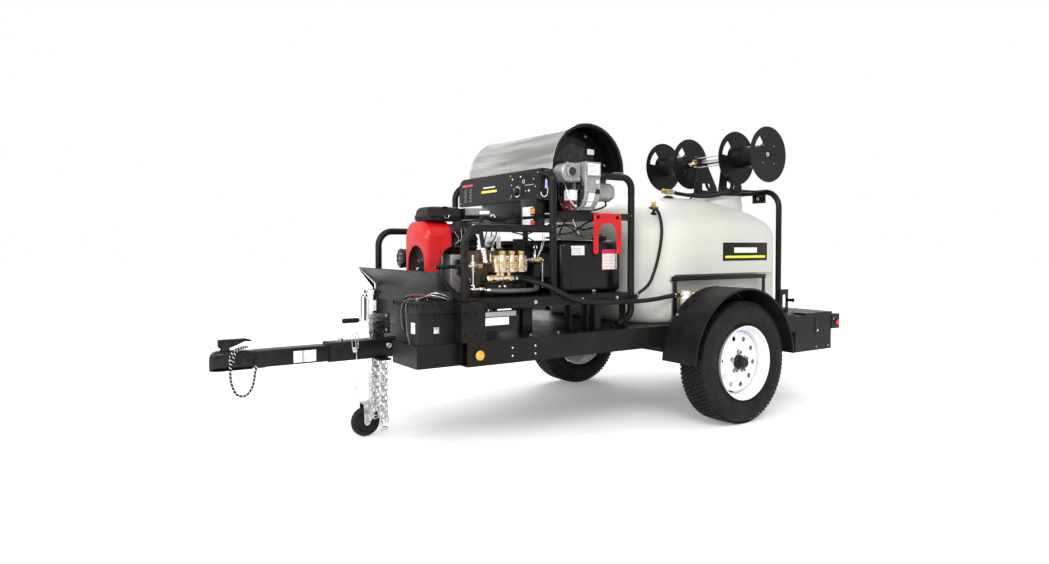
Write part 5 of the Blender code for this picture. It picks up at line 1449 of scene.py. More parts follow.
def make_engine_wiring():
    wires = Kit("engine_wiring")
    runs = (
        (
            "plastic", 0.0032,
            ((-1.3, -0.17, 1.165), (-1.27, -0.21, 1.13), (-1.262, -0.225, 1.06), (-1.29, -0.2, 0.99))
        ),
        (
            "plastic", 0.0032,
            ((-1.34, -0.19, 1.15), (-1.32, -0.225, 1.09), (-1.33, -0.215, 1.01), (-1.31, -0.19, 0.95))
        ),
        (
            "plastic", 0.004,
            ((-1.48, -0.185, 0.86), (-1.44, -0.215, 0.82), (-1.4, -0.23, 0.79), (-1.42, -0.3, 0.76))
        ),
        (
            "plastic", 0.004,
            ((-1.25, -0.13, 1.17), (-1.2, -0.19, 1.15), (-1.15, -0.24, 1.14), (-1.125, -0.28, 1.15))
        ),
        (
            "dark_red", 0.0036,
            ((-1.5, -0.2, 0.83), (-1.47, -0.24, 0.8), (-1.45, -0.3, 0.775), (-1.465, -0.37, 0.76))
        ),
        (
            "white_plastic", 0.0016,
            ((-1.27, -0.215, 1.09), (-1.262, -0.225, 1.05), (-1.28, -0.22, 1.0), (-1.262, -0.215, 0.96))
        ), ("white_plastic", 0.0016, ((-1.25, -0.225, 1.08), (-1.238, -0.23, 1.03), (-1.248, -0.225, 0.985)))
    )
    for finish, radius, points in runs:
        wires.tube(finish, flowing(points, 0.012), radius, 10)
    wires.done()
    dress_front_corner()


def make_engine_dressing():
    """Air cleaner, silencer, governor rods, cables and the small boxes above the engine."""
    make_air_cleaner_cover()
    make_muffler_shell()
    make_engine_controls()
    make_engine_wiring()


def dress_front_corner():
    """Oil drain, valves and cable ends between the near front leg and the pump."""
    kit = Kit("drain_and_fittings")
    x, y = -1.5, -0.395
    kit.rod("chrome", (x, y, 0.8), (x, y, 0.955), 0.0058, sides=16)
    kit.nut("forged_brass", (x, y, 0.9), (0, 0, 1), 0.011, 0.02)
    kit.nut("forged_brass", (x + 0.05, y, 0.9), (-1, 0, 0), 0.0125, 0.045)
    kit.rod("forged_brass", (x - 0.052, y, 0.9), (x + 0.008, y, 0.9), 0.0085)
    kit.nut("forged_brass", (x - 0.058, y, 0.9), (1, 0, 0), 0.011, 0.018)
    kit.rod("satin", (x - 0.19, y + 0.03, 0.898), (x - 0.058, y, 0.899), 0.01)
    kit.nut("chrome", (x, y, 0.808), (0, 0, -1), 0.01, 0.02)
    kit.ball("chrome", (x, y, 0.784), 0.0125, 12)
    kit.nut("chrome", (x + 0.004, y, 0.784), (1, -0.1, 0), 0.01, 0.026)
    kit.nut("forged_brass", (x + 0.034, y - 0.004, 0.784), (1, -0.1, 0), 0.0112, 0.03)
    for i, (dy, dz) in enumerate(((0.03, 0.88), (0.045, 0.85), (0.02, 0.83), (0.04, 0.815), (0.012, 0.87))):
        kit.nut(
            "zinc" if i % 2 else "chrome", (x - 0.04 + 0.014 * i, y + dy, dz), (1, 0.3, 0.4), 0.0075, 0.012
        )
    kit.done()


# Pump -------------------------------------------------------------------------------------------


def make_pump_crankcase_casting():
    kit = Kit("pump_crankcase_casting")
    front, back, near, far, low, high = -1.4545, -1.1855, -0.3545, -0.2155, 0.7475, 0.9745
    side_view = rounded_rectangle(near, far, low + 0.022, high, 0.034, 8)
    rings = []
    for x, inset in (
        (front, 0.012), (front + 0.004, 0.004), (front + 0.012, 0.0), (back - 0.012, 0.0),
        (back - 0.004, 0.004), (back, 0.012)
    ):
        middle_y, middle_z = (near + far) / 2, (low + high) / 2
        rings.append(
            [
                Vector(
                    (
                        x, middle_y + (y - middle_y) * (1 - inset / 0.07),
                        middle_z + (z - middle_z) * (1 - inset / 0.11)
                    )
                ) for y, z in side_view
            ]
        )
    kit.loft("bronze", rings)
    kit.lathe(
        "bronze", (front + 0.006, -0.285, 0.885), (-1, 0, 0),
        [(0, 0), (0, 0.062), (0.004, 0.062), (0.006, 0.058), (0.006, 0)], 40
    )
    for i in range(4):
        turn = math.radians(45 + 90 * i)
        kit.bolt(
            (front - 0.0002, -0.285 + 0.051 * math.cos(turn), 0.885 + 0.051 * math.sin(turn)), (-1, 0, 0),
            0.005, "zinc", washer=False
        )
    kit.box("bronze", (front + 0.004, near + 0.004, low), (back - 0.004, far - 0.004, low + 0.026), 0.003)
    kit.rod("forged_brass", (-1.32, -0.285, high - 0.004), (-1.32, -0.285, high + 0.014), 0.012)
    kit.lathe(
        "plastic", (-1.262, -0.285, high - 0.003), (0, 0, 1),
        [(0, 0), (0, 0.01), (0.012, 0.01), (0.02, 0.0065), (0.026, 0.0065), (0.028, 0)], 20
    )
    kit.lathe(
        "chrome", (-1.3, near - 0.0004, 0.8), (0, -1, 0),
        [(0, 0), (0, 0.016), (0.004, 0.016), (0.005, 0.012), (0.005, 0)], 28
    )
    kit.lathe(
        "label", (-1.3, near - 0.0054, 0.8), (0, -1, 0), [(0, 0), (0, 0.011), (0.0008, 0.011), (0.0008, 0)],
        28
    )
    kit.done("pump_crankcase")


def make_pump_head_manifold():
    head = Kit("pump_head_manifold")
    x0, x1, y_near, y_far = -1.3945, -1.2005, -0.444, -0.3556
    head.box("forged_brass", (x0, y_near + 0.014, 0.8665), (x1, y_far, 0.938), 0.006, segments=3)
    head.box("forged_brass", (x0 + 0.003, y_near + 0.018, 0.934), (x1 - 0.003, y_far, 0.952), 0.005)
    columns = [x0 + 0.0422 + 0.055 * i for i in range(3)]
    for x in columns:
        head.lathe(
            "forged_brass", (x, -0.43, 0.87), (0, 0, 1),
            [(0, 0), (0, 0.019), (0.078, 0.019), (0.082, 0.0175), (0.082, 0)], 32
        )
        head.lathe(
            "brass", (x, -0.43, 0.95), (0, 0, 1),
            [
                (0, 0), (0, 0.0165), (0.004, 0.0165), (0.006, 0.0185), (0.022, 0.0185), (0.0245, 0.016),
                (0.0245, 0)
            ], 28
        )
        head.nut("forged_brass", (x, -0.43, 0.972), (0, 0, 1), 0.0115, 0.0025)
        for dx in (-0.01, 0.01):
            head.lathe(
                "forged_brass", (x + dx, -0.437, 0.868), (0, 0, 1),
                [(0, 0), (0, 0.0088), (0.066, 0.0088), (0.07, 0.007), (0.07, 0)], 24
            )
        for z in (0.884, 0.926):
            for dx in (-0.0275, 0.0275):
                head.bolt((x + dx, y_near + 0.0136, z), (0, -1, 0), 0.0052, "zinc", washer=False)
        head.lathe(
            "brass", (x, -0.4488, 0.897), (0, -1, 0), [(0, 0), (0, 0.009), (0.0025, 0.008), (0.003, 0)], 24
        )
    head.nut("forged_brass", (x1 - 0.001, -0.415, 0.926), (1, 0, 0), 0.0125, 0.016)
    for z in (0.878, 0.905):
        head.bolt((x1 - 0.0002, -0.41, z), (1, 0, 0), 0.0075, "chrome", washer=False)
    unloader = Vector((-1.44, -0.42, 0.835))
    body = [
        (0, 0), (0, 0.014), (0.006, 0.0185), (0.03, 0.0185), (0.034, 0.016), (0.046, 0.016), (0.05, 0.0198),
        (0.1, 0.0198), (0.104, 0.017), (0.13, 0.017), (0.134, 0.0198), (0.1515, 0.0198), (0.1515, 0)
    ]
    head.lathe("forged_brass", unloader, (1, 0, 0), body, 32)
    for x in (-1.412, -1.33):
        head.nut("brass", (x, -0.42, 0.835), (1, 0, 0), 0.0225, 0.014)
    for x, z0, z1, radius in (
        (-1.35, 0.85, 0.868, 0.013), (-1.31, 0.85, 0.868, 0.011), (-1.372, 0.85, 0.868, 0.01)
    ):
        head.rod("forged_brass", (x, -0.42, z0), (x, -0.42, z1), radius)
    for x in (-1.395, -1.368, -1.345, -1.318, -1.3):
        head.nut("chrome" if x < -1.34 else "forged_brass", (x, -0.4385, 0.838), (0, -1, 0), 0.0075, 0.009)
    head.tube(
        "brass",
        flowing(
            [(-1.386, -0.447, 0.912), (-1.35, -0.451, 0.919), (-1.318, -0.451, 0.915), (-1.29, -0.447, 0.91)],
            0.008
        ), 0.0022, 8
    )
    head.done("pump_head")


def make_unloader_knob_grip():
    knob = Kit("unloader_knob_grip", "unloader_dial")
    profile = [(0, 0), (0, 0.015), (0.003, 0.018), (0.022, 0.018), (0.0245, 0.015), (0.0245, 0)]
    knob.lathe("plastic", (-1.465, -0.42, 0.835), (1, 0, 0), profile, 36)
    for i in range(16):
        turn = 2 * math.pi * i / 16
        y, z = -0.42 + 0.0178 * math.cos(turn), 0.835 + 0.0178 * math.sin(turn)
        knob.rod("plastic", (-1.4625, y, z), (-1.443, y, z), 0.0013, sides=8)
    knob.done("unloader_knob")


def make_pump_outlets():
    out = Kit("pump_outlets")
    valve_x, valve_y, valve_z = -1.184, -0.415, 0.926
    out.nut("chrome", (valve_x, valve_y, valve_z), (1, 0, 0), 0.0105, 0.016)
    out.nut("forged_brass", (valve_x + 0.014, valve_y, valve_z), (1, 0, 0), 0.014, 0.018)
    out.rod(
        "brass", (valve_x + 0.03, valve_y, valve_z), (valve_x + 0.06, valve_y, valve_z), 0.015, edge=0.003
    )
    out.nut("brass", (valve_x + 0.058, valve_y, valve_z), (1, 0, 0), 0.0165, 0.02)
    out.rod("forged_brass", (valve_x + 0.076, valve_y, valve_z), (valve_x + 0.088, valve_y, valve_z), 0.0105)
    out.nut("chrome", (valve_x + 0.038, valve_y, valve_z + 0.012), (0, 0, 1), 0.0085, 0.014)
    out.rod(
        "chrome", (valve_x + 0.038, valve_y, valve_z + 0.024), (valve_x + 0.038, valve_y, valve_z + 0.056),
        0.0058
    )
    out.tube(
        "chrome",
        flowing(
            [
                (valve_x + 0.038, valve_y, valve_z + 0.052), (valve_x + 0.034, valve_y, valve_z + 0.068),
                (valve_x + 0.048, valve_y, valve_z + 0.074), (valve_x + 0.052, valve_y, valve_z + 0.06)
            ], 0.005
        ), 0.004, 10
    )
    out.rod(
        "zinc", (valve_x + 0.086, valve_y, valve_z + 0.002), (valve_x + 0.086, valve_y, 0.782), 0.0036,
        sides=12
    )
    ferrule_x, ferrule_y = -1.436, -0.398
    out.nut("chrome", (ferrule_x + 0.039, ferrule_y, 0.921), (-1, 0, 0), 0.0115, 0.026)
    out.ball("chrome", (ferrule_x + 0.004, ferrule_y, 0.921), 0.014, 12)
    out.nut("chrome", (ferrule_x + 0.002, ferrule_y, 0.928), (-0.14, 0, 1), 0.013, 0.02)
    out.lathe(
        "chrome", (ferrule_x - 0.001, ferrule_y, 0.946), (-0.14, 0, 1),
        [(0, 0), (0, 0.011), (0.004, 0.0132), (0.04, 0.0132), (0.044, 0.0118), (0.046, 0)], 28
    )
    for i in range(5):
        at = Vector((ferrule_x - 0.0015, ferrule_y, 0.951)) + Vector((-0.14, 0, 1)).normalized() * 0.0072 * i
        out.lathe(
            "chrome", at, (-0.14, 0, 1), [(0, 0.0125), (0, 0.0139), (0.003, 0.0139), (0.003, 0.0125)], 28,
            closed=True
        )
    out.rod(
        "chrome", (ferrule_x + 0.028, ferrule_y - 0.01, 0.93), (ferrule_x + 0.028, ferrule_y - 0.01, 0.962),
        0.0042, sides=12
    )
    riser = [
        (-1.443, -0.398, 0.988), (-1.452, -0.398, 1.04), (-1.456, -0.392, 1.09), (-1.442, -0.372, 1.128),
        (-1.4, -0.345, 1.142), (-1.34, -0.32, 1.134), (-1.26, -0.3, 1.138), (-1.16, -0.28, 1.17)
    ]
    out.tube("hose", flowing(riser, 0.014), 0.0112, 18)
    low_hose = [
        (-1.435, -0.405, 0.7795), (-1.39, -0.435, 0.776), (-1.32, -0.452, 0.7745), (-1.25, -0.455, 0.7745),
        (-1.19, -0.45, 0.775), (-1.15, -0.435, 0.779), (-1.132, -0.41, 0.79), (-1.127, -0.39, 0.808)
    ]
    out.tube("grey_hose", flowing(low_hose, 0.012), 0.012, 18)
    out.lathe(
        "chrome", (-1.436, -0.4045, 0.7796), (1, -0.62, -0.05),
        [(0, 0), (0, 0.0125), (0.026, 0.0138), (0.03, 0.0125), (0.03, 0)], 24
    )
    out.nut("chrome", (-1.127, -0.39, 0.808), (0.05, 0.2, 1), 0.012, 0.018)
    for x in (-1.36, -1.33):
        out.lathe(
            "zinc", (x, -0.4205, 0.795), (0, -1, 0),
            [(0, 0), (0, 0.008), (0.002, 0.008), (0.0045, 0.005), (0.005, 0)], 20
        )
    out.box("satin", (-1.44, -0.42, 0.748), (-1.205, -0.36, 0.81), 0.004)
    out.sheet(
        "black", [[(-1.24, 0.748), (-1.165, 0.748), (-1.165, 1.035), (-1.24, 1.035)]], "XZ", -0.356, -0.352
    )
    out.done()
    make_pump_wires()


def make_pump():
    """The pump: crankcase, head, unloader knob and outlets."""
    make_pump_crankcase_casting()
    make_pump_head_manifold()
    make_unloader_knob_grip()
    make_pump_outlets()


def make_pump_wires():
    """The thin wires and small hoses round the pump and the fuel tank."""
    kit = Kit("pump_wiring")
    runs = (
        (
            "plastic", 0.0034,
            ((-1.18, -0.34, 1.06), (-1.15, -0.42, 1.02), (-1.165, -0.44, 0.98), (-1.16, -0.36, 0.9))
        ), ("zinc", 0.0016, ((-1.105, -0.43, 1.06), (-1.125, -0.45, 1.01), (-1.15, -0.45, 0.945))),
        ("zinc", 0.0016, ((-1.095, -0.43, 1.05), (-1.118, -0.45, 1.0), (-1.16, -0.45, 0.93))),
        (
            "plastic", 0.0046,
            ((-1.28, -0.45, 0.85), (-1.2, -0.47, 0.838), (-1.12, -0.47, 0.806), (-1.04, -0.47, 0.78))
        ),
        (
            "plastic", 0.0036,
            ((-1.23, -0.33, 1.07), (-1.16, -0.35, 1.06), (-1.1, -0.38, 1.085), (-1.02, -0.4, 1.12))
        ),
        (
            "plastic", 0.0046,
            ((-1.06, -0.43, 1.08), (-0.98, -0.47, 1.11), (-0.88, -0.48, 1.085), (-0.78, -0.47, 1.105))
        ),
        (
            "plastic", 0.0046,
            ((-1.07, -0.46, 1.055), (-0.96, -0.49, 1.07), (-0.86, -0.48, 1.12), (-0.79, -0.47, 1.138))
        ),
        (
            "grey_hose", 0.006,
            ((-1.08, -0.42, 1.04), (-0.99, -0.44, 1.048), (-0.9, -0.44, 1.046), (-0.74, -0.44, 1.052))
        ),
        (
            "dark_metal", 0.0034,
            ((-1.06, -0.43, 1.11), (-0.96, -0.46, 1.1), (-0.9, -0.46, 1.06), (-0.8, -0.43, 1.044))
        )
    )
    for finish, radius, points in runs:
        kit.tube(finish, flowing(points, 0.014), radius, 10)
    kit.done()


# Heater -----------------------------------------------------------------------------------------

BARREL_X, BARREL_Z, BARREL_R = -0.815, 1.41, 0.245
BARREL_Y0, BARREL_Y1 = -0.45, 0.42


def make_coil_wrap_sheet():
    kit = Kit("coil_wrap_sheet")
    centre, skirt = (BARREL_X, BARREL_Z), -4
    outer = arc(centre, BARREL_R, skirt, 180 - skirt, 72)
    inner = arc(centre, BARREL_R - 0.003, 180 - skirt, skirt, 72)
    kit.sheet("stainless", [outer + inner], "XZ", BARREL_Y0, BARREL_Y1, 0.0004)
    lining = arc(centre, BARREL_R - 0.0031, -2, 182, 72) + arc(centre, BARREL_R - 0.006, 182, -2, 72)
    kit.sheet("black", [lining], "XZ", BARREL_Y0 + 0.002, BARREL_Y1 - 0.002)
    for y in (BARREL_Y0 + 0.012, -0.01, BARREL_Y1 - 0.012):  # rolled beads
        bead = [Vector((x, y, z)) for x, z in arc(centre, BARREL_R - 0.0008, 2, 178, 72)]
        kit.tube("stainless", bead, 0.0022, 8)
    for side_turn in (3, 177):
        for i in range(9):
            y = BARREL_Y0 + 0.04 + 0.098 * i
            x, z = arc(centre, BARREL_R - 0.0002, side_turn, side_turn + 1, 2)[0]
            kit.lathe(
                "zinc", (x, y, z), (x - centre[0], 0, z - centre[1]),
                [(0, 0), (0, 0.0048), (0.0018, 0.0035), (0.0024, 0)], 12
            )
    rim = [Vector((x, BARREL_Y0 + 0.006, z)) for x, z in arc(centre, BARREL_R - 0.0115, 0, 180, 60)]
    kit.tube("black", rim, 0.008, 14)
    flange = [
        (BARREL_X + BARREL_R - 0.004, BARREL_Z - 0.006), (BARREL_X + 0.168, BARREL_Z - 0.01),
        (BARREL_X + 0.168, BARREL_Z - 0.0075), (BARREL_X + BARREL_R - 0.004, BARREL_Z - 0.0035)
    ]
    kit.sheet("stainless", [flange], "XZ", BARREL_Y0 + 0.004, BARREL_Y1 - 0.004, 0.0003)
    kit.done("coil_wrap")


def make_drum_details():
    drum = Kit("drum_details")
    near = (BARREL_X, -0.33, BARREL_Z)
    drum.lathe(
        "satin", near, (0, -1, 0),
        [(0.0002, 0.15), (0.0002, 0.219), (0.006, 0.219), (0.008, 0.212), (0.008, 0.15)], 60, closed=True
    )
    for i in range(6):
        turn = math.radians(60 * i + 12)
        drum.bolt(
            (BARREL_X + 0.205 * math.cos(turn), -0.338, BARREL_Z + 0.205 * math.sin(turn)), (0, -1, 0), 0.006,
            "zinc"
        )
    drum.box("label", (-0.742, -0.342, 1.505), (-0.694, -0.3384, 1.535), 0.0005)
    for y in (-0.25, 0.06, 0.32):
        strap = [Vector((x, y, z)) for x, z in circle((BARREL_X, BARREL_Z), 0.2235, 72)]
        drum.tube("zinc", strap, 0.0016, 8, closed=True)
    drum.rod("zinc", (-0.815, 0.4003, BARREL_Z), (-0.815, 0.4163, BARREL_Z), 0.055)
    for x in (-0.915, -0.715):
        drum.nut("brass", (x, 0.4003, BARREL_Z - 0.1), (0, 1, 0), 0.012, 0.016)
    drum.done()


def make_wrap():
    """The polished wrap over the coil, its dark end ring, seams and rivets."""
    make_coil_wrap_sheet()
    make_drum_details()


def make_burner_casting():
    y0, z0 = -0.46, 1.288
    x_front, x_back = -0.943, -0.844
    kit = Kit("burner_casting")
    scroll = arc((y0, z0), 0.12, 180, 360, 30)
    scroll += arc((y0, z0), 0.12, 12, 72, 12) + [(y0 + 0.004, 1.4315), (y0 - 0.12, 1.4315)]
    bore = circle((y0, z0), 0.097, 48)
    kit.sheet("cast", [scroll, bore], "YZ", x_front + 0.0005, x_front + 0.012, 0.003)
    inner_edge = [(y0 + (y - y0) * 0.965, z0 + (z - z0) * 0.965) for y, z in scroll]
    kit.sheet("cast", [inner_edge, bore], "YZ", x_front + 0.011, x_back - 0.011, 0.0005)
    kit.sheet("cast", [scroll], "YZ", x_back - 0.012, x_back - 0.0008, 0.003)
    for i in range(7):
        turn = math.radians(182 + 28 * i)
        y, z = y0 + 0.1115 * math.cos(turn), z0 + 0.1115 * math.sin(turn)
        kit.rod("cast", (x_front + 0.001, y, z), (x_back - 0.001, y, z), 0.0095)
        kit.bolt((x_front + 0.0006, y, z), (-1, 0, 0), 0.005, "zinc", washer=False)
    motor = [
        (-0.002, 0), (-0.002, 0.056), (0.006, 0.057), (0.012, 0.05), (0.052, 0.05), (0.054, 0.0488),
        (0.118, 0.0488), (0.12, 0.05), (0.15, 0.05), (0.16, 0.0455), (0.169, 0.03), (0.171, 0.0)
    ]
    kit.lathe("cast", (x_back, y0, z0), (1, 0, 0), motor, 48)
    for i in range(18):
        turn = 2 * math.pi * i / 18
        y, z = y0 + 0.049 * math.cos(turn), z0 + 0.049 * math.sin(turn)
        kit.box(
            "cast", (x_back + 0.058, y - 0.0016, z - 0.0016), (x_back + 0.114, y + 0.0016, z + 0.0016), 0.0005
        )
    for i in range(4):
        turn = math.radians(45 + 90 * i)
        y, z = y0 + 0.044 * math.cos(turn), z0 + 0.044 * math.sin(turn)
        kit.rod("zinc", (x_back + 0.15, y, z), (x_back + 0.168, y, z), 0.0032, sides=12)
    kit.box("plastic", (x_back + 0.03, y0 - 0.02, z0 + 0.046), (x_back + 0.09, y0 + 0.02, z0 + 0.07), 0.004)
    kit.rod("cast", (-0.8935, -0.395, 1.35), (-0.8935, -0.331, 1.35), 0.05, edge=0.002)
    kit.lathe(
        "cast", (-0.8935, -0.3345, 1.35), (0, 1, 0), [(0, 0.05), (0, 0.072), (0.0038, 0.072), (0.0038, 0.05)],
        40, closed=True
    )
    hood = [(-0.943, 1.4245), (-0.943, 1.33), (-0.97, 1.329)]
    hood += arc((-1.018, 1.376), 0.047, 285, 180, 12)
    hood += arc((-1.018, 1.377), 0.047, 175, 90, 10)
    kit.sheet("cast", [hood], "XZ", -0.544, -0.456, 0.008)
    lobe = circle((-1.008, 1.378), 0.03, 32)
    kit.sheet("cast", [lobe], "XZ", -0.554, -0.543, 0.003)
    kit.sheet("dark_metal", [circle((-1.008, 1.378), 0.022, 32)], "XZ", -0.557, -0.5535, 0.0008)
    for x, z in ((-0.958, 1.412), (-0.958, 1.342), (-1.012, 1.335), (-1.052, 1.36), (-1.035, 1.417)):
        kit.bolt((x, -0.544, z), (0, -1, 0), 0.0062, "zinc")
    kit.box("label", (-0.939, -0.586, 1.36), (-0.853, -0.5806, 1.426), 0.0008)
    frame_box = rounded_rectangle(-0.941, -0.85, 1.357, 1.429, 0.003, 3)
    window = rounded_rectangle(-0.935, -0.856, 1.363, 1.423, 0.002, 3)
    kit.sheet("cast", [frame_box, window], "XZ", -0.5885, -0.5806, 0.0006)
    for row in range(4):
        kit.box(
            "print", (-0.928, -0.5866, 1.374 + 0.012 * row),
            (-0.872 - 0.008 * (row % 2), -0.5859, 1.3765 + 0.012 * row), 0
        )
    strip = arc((y0, z0), 0.1206, 188, 226, 14)
    kit.loft(
        "label",
        [
            [Vector((x, y, z)) for y, z in strip] + [
                Vector((x, y + (y0 - y) * 0.012, z + (z0 - z) * 0.012)) for y, z in reversed(strip)
            ] for x in (x_front + 0.022, x_front + 0.06)
        ]
    )
    kit.box("label", (x_front + 0.066, -0.5812, 1.322), (x_front + 0.088, -0.579, 1.338), 0.0003)
    kit.box("plastic", (x_front + 0.066, -0.583, 1.268), (x_front + 0.092, -0.5775, 1.292), 0.001)
    air = [Vector((x_front - 0.0006, y, z)) for y, z in circle((y0, z0), 0.0985, 56)]
    kit.tube("plastic", air, 0.0048, 12, closed=True)
    band = arc((y0, z0), 0.102, 120, 300, 30)
    kit.tube("satin", [Vector((x_front - 0.004, y, z)) for y, z in band], 0.006, 10)
    kit.box("cast", (-0.9515, -0.499, 1.174), (-0.9425, -0.471, 1.386), 0.002)
    for turn in (60, 180, 300):
        angle = math.radians(turn)
        kit.box("cast", (-0.944, y0 + 0.05 * math.cos(angle) - 0.006, z0 + 0.05 * math.sin(angle) - 0.006),
                (-0.9405, y0 + 0.05 * math.cos(angle) + 0.006, z0 + 0.05 * math.sin(angle) + 0.006), 0.001)
    kit.box("white_plastic", (-0.999, -0.5246, 1.233), (-0.952, -0.468, 1.289), 0.005, segments=3)
    for i in range(5):
        kit.box(
            "white_plastic", (-0.9955 + 0.009 * i, -0.5258, 1.24), (-0.9925 + 0.009 * i, -0.5243, 1.2825),
            0.0006
        )
    kit.box("dark_red", (-0.9985, -0.524, 1.179), (-0.948, -0.456, 1.232), 0.006, segments=3)
    kit.rod("dark_red", (-0.972, -0.528, 1.205), (-0.972, -0.52, 1.205), 0.019, edge=0.002)
    for x, z in ((-0.99, 1.188), (-0.954, 1.188), (-0.99, 1.224), (-0.954, 1.224)):
        kit.bolt((x, -0.5242, z), (0, -1, 0), 0.0044, "zinc", washer=False)
    kit.nut("chrome", (-0.972, -0.528, 1.205), (0, -1, 0), 0.008, 0.008)
    kit.nut("chrome", (-1.006, -0.49, 1.195), (1, 0, 0), 0.0075, 0.01)
    kit.done("burner_housing")
    wheel = Kit("blower_wheel_vanes", "blower")
    wheel.lathe(
        "zinc", (-0.9395, y0, z0), (1, 0, 0), [(0.08, 0), (0.08, 0.0895), (0.0845, 0.0895), (0.0845, 0)], 48
    )
    wheel.lathe(
        "zinc", (-0.9395, y0, z0), (1, 0, 0),
        [(0.0, 0.0745), (0.0, 0.0898), (0.003, 0.0898), (0.003, 0.0745)], 48, closed=True
    )
    wheel.rod("dark_metal", (-0.938, y0, z0), (-0.8595, y0, z0), 0.012)
    for i in range(36):
        turn = Matrix.Rotation(2 * math.pi * i / 36, 4, "X")
        vane = bmesh.new()
        bmesh.ops.create_cube(vane, size=1.0)
        bmesh.ops.scale(vane, vec=(0.08, 0.014, 0.0012), verts=vane.verts)
        set_in = Matrix.Translation((0.041, 0.082, 0)) @ Matrix.Rotation(math.radians(28), 4, "X")
        bmesh.ops.transform(
            vane, matrix=Matrix.Translation((-0.9395, y0, z0)) @ turn @ set_in, verts=vane.verts
        )
        wheel.add("zinc", vane)
    wheel.done("blower_wheel")


def make_burner_leads():
    leads = Kit("burner_leads")
    runs = (
        (
            "plastic", 0.0052,
            (
                (-0.72, -0.47, 1.239), (-0.735, -0.49, 1.215), (-0.79, -0.5, 1.196), (-0.87, -0.5, 1.18),
                (-0.95, -0.49, 1.168)
            )
        ), ("plastic", 0.0045, ((-1.0, -0.47, 1.25), (-1.035, -0.45, 1.24), (-1.06, -0.43, 1.232))),
        (
            "plastic", 0.006,
            ((-1.03, -0.456, 1.4), (-1.02, -0.425, 1.43), (-0.96, -0.4, 1.44), (-0.905, -0.385, 1.4))
        ),
        (
            "chrome", 0.0032,
            ((-0.968, -0.5, 1.178), (-0.972, -0.505, 1.155), (-0.95, -0.49, 1.12), (-0.9, -0.47, 1.06))
        ),
        (
            "chrome", 0.0032,
            ((-0.985, -0.54, 1.205), (-1.01, -0.535, 1.235), (-1.015, -0.5, 1.31), (-0.985, -0.45, 1.325))
        )
    )
    for finish, radius, points in runs:
        leads.tube(finish, flowing(points, 0.01), radius, 12)
    leads.done()


def make_burner():
    """A grey cast burner: scroll with its air inlet, igniter, motor, fuel unit and solenoid."""
    make_burner_casting()
    make_burner_leads()


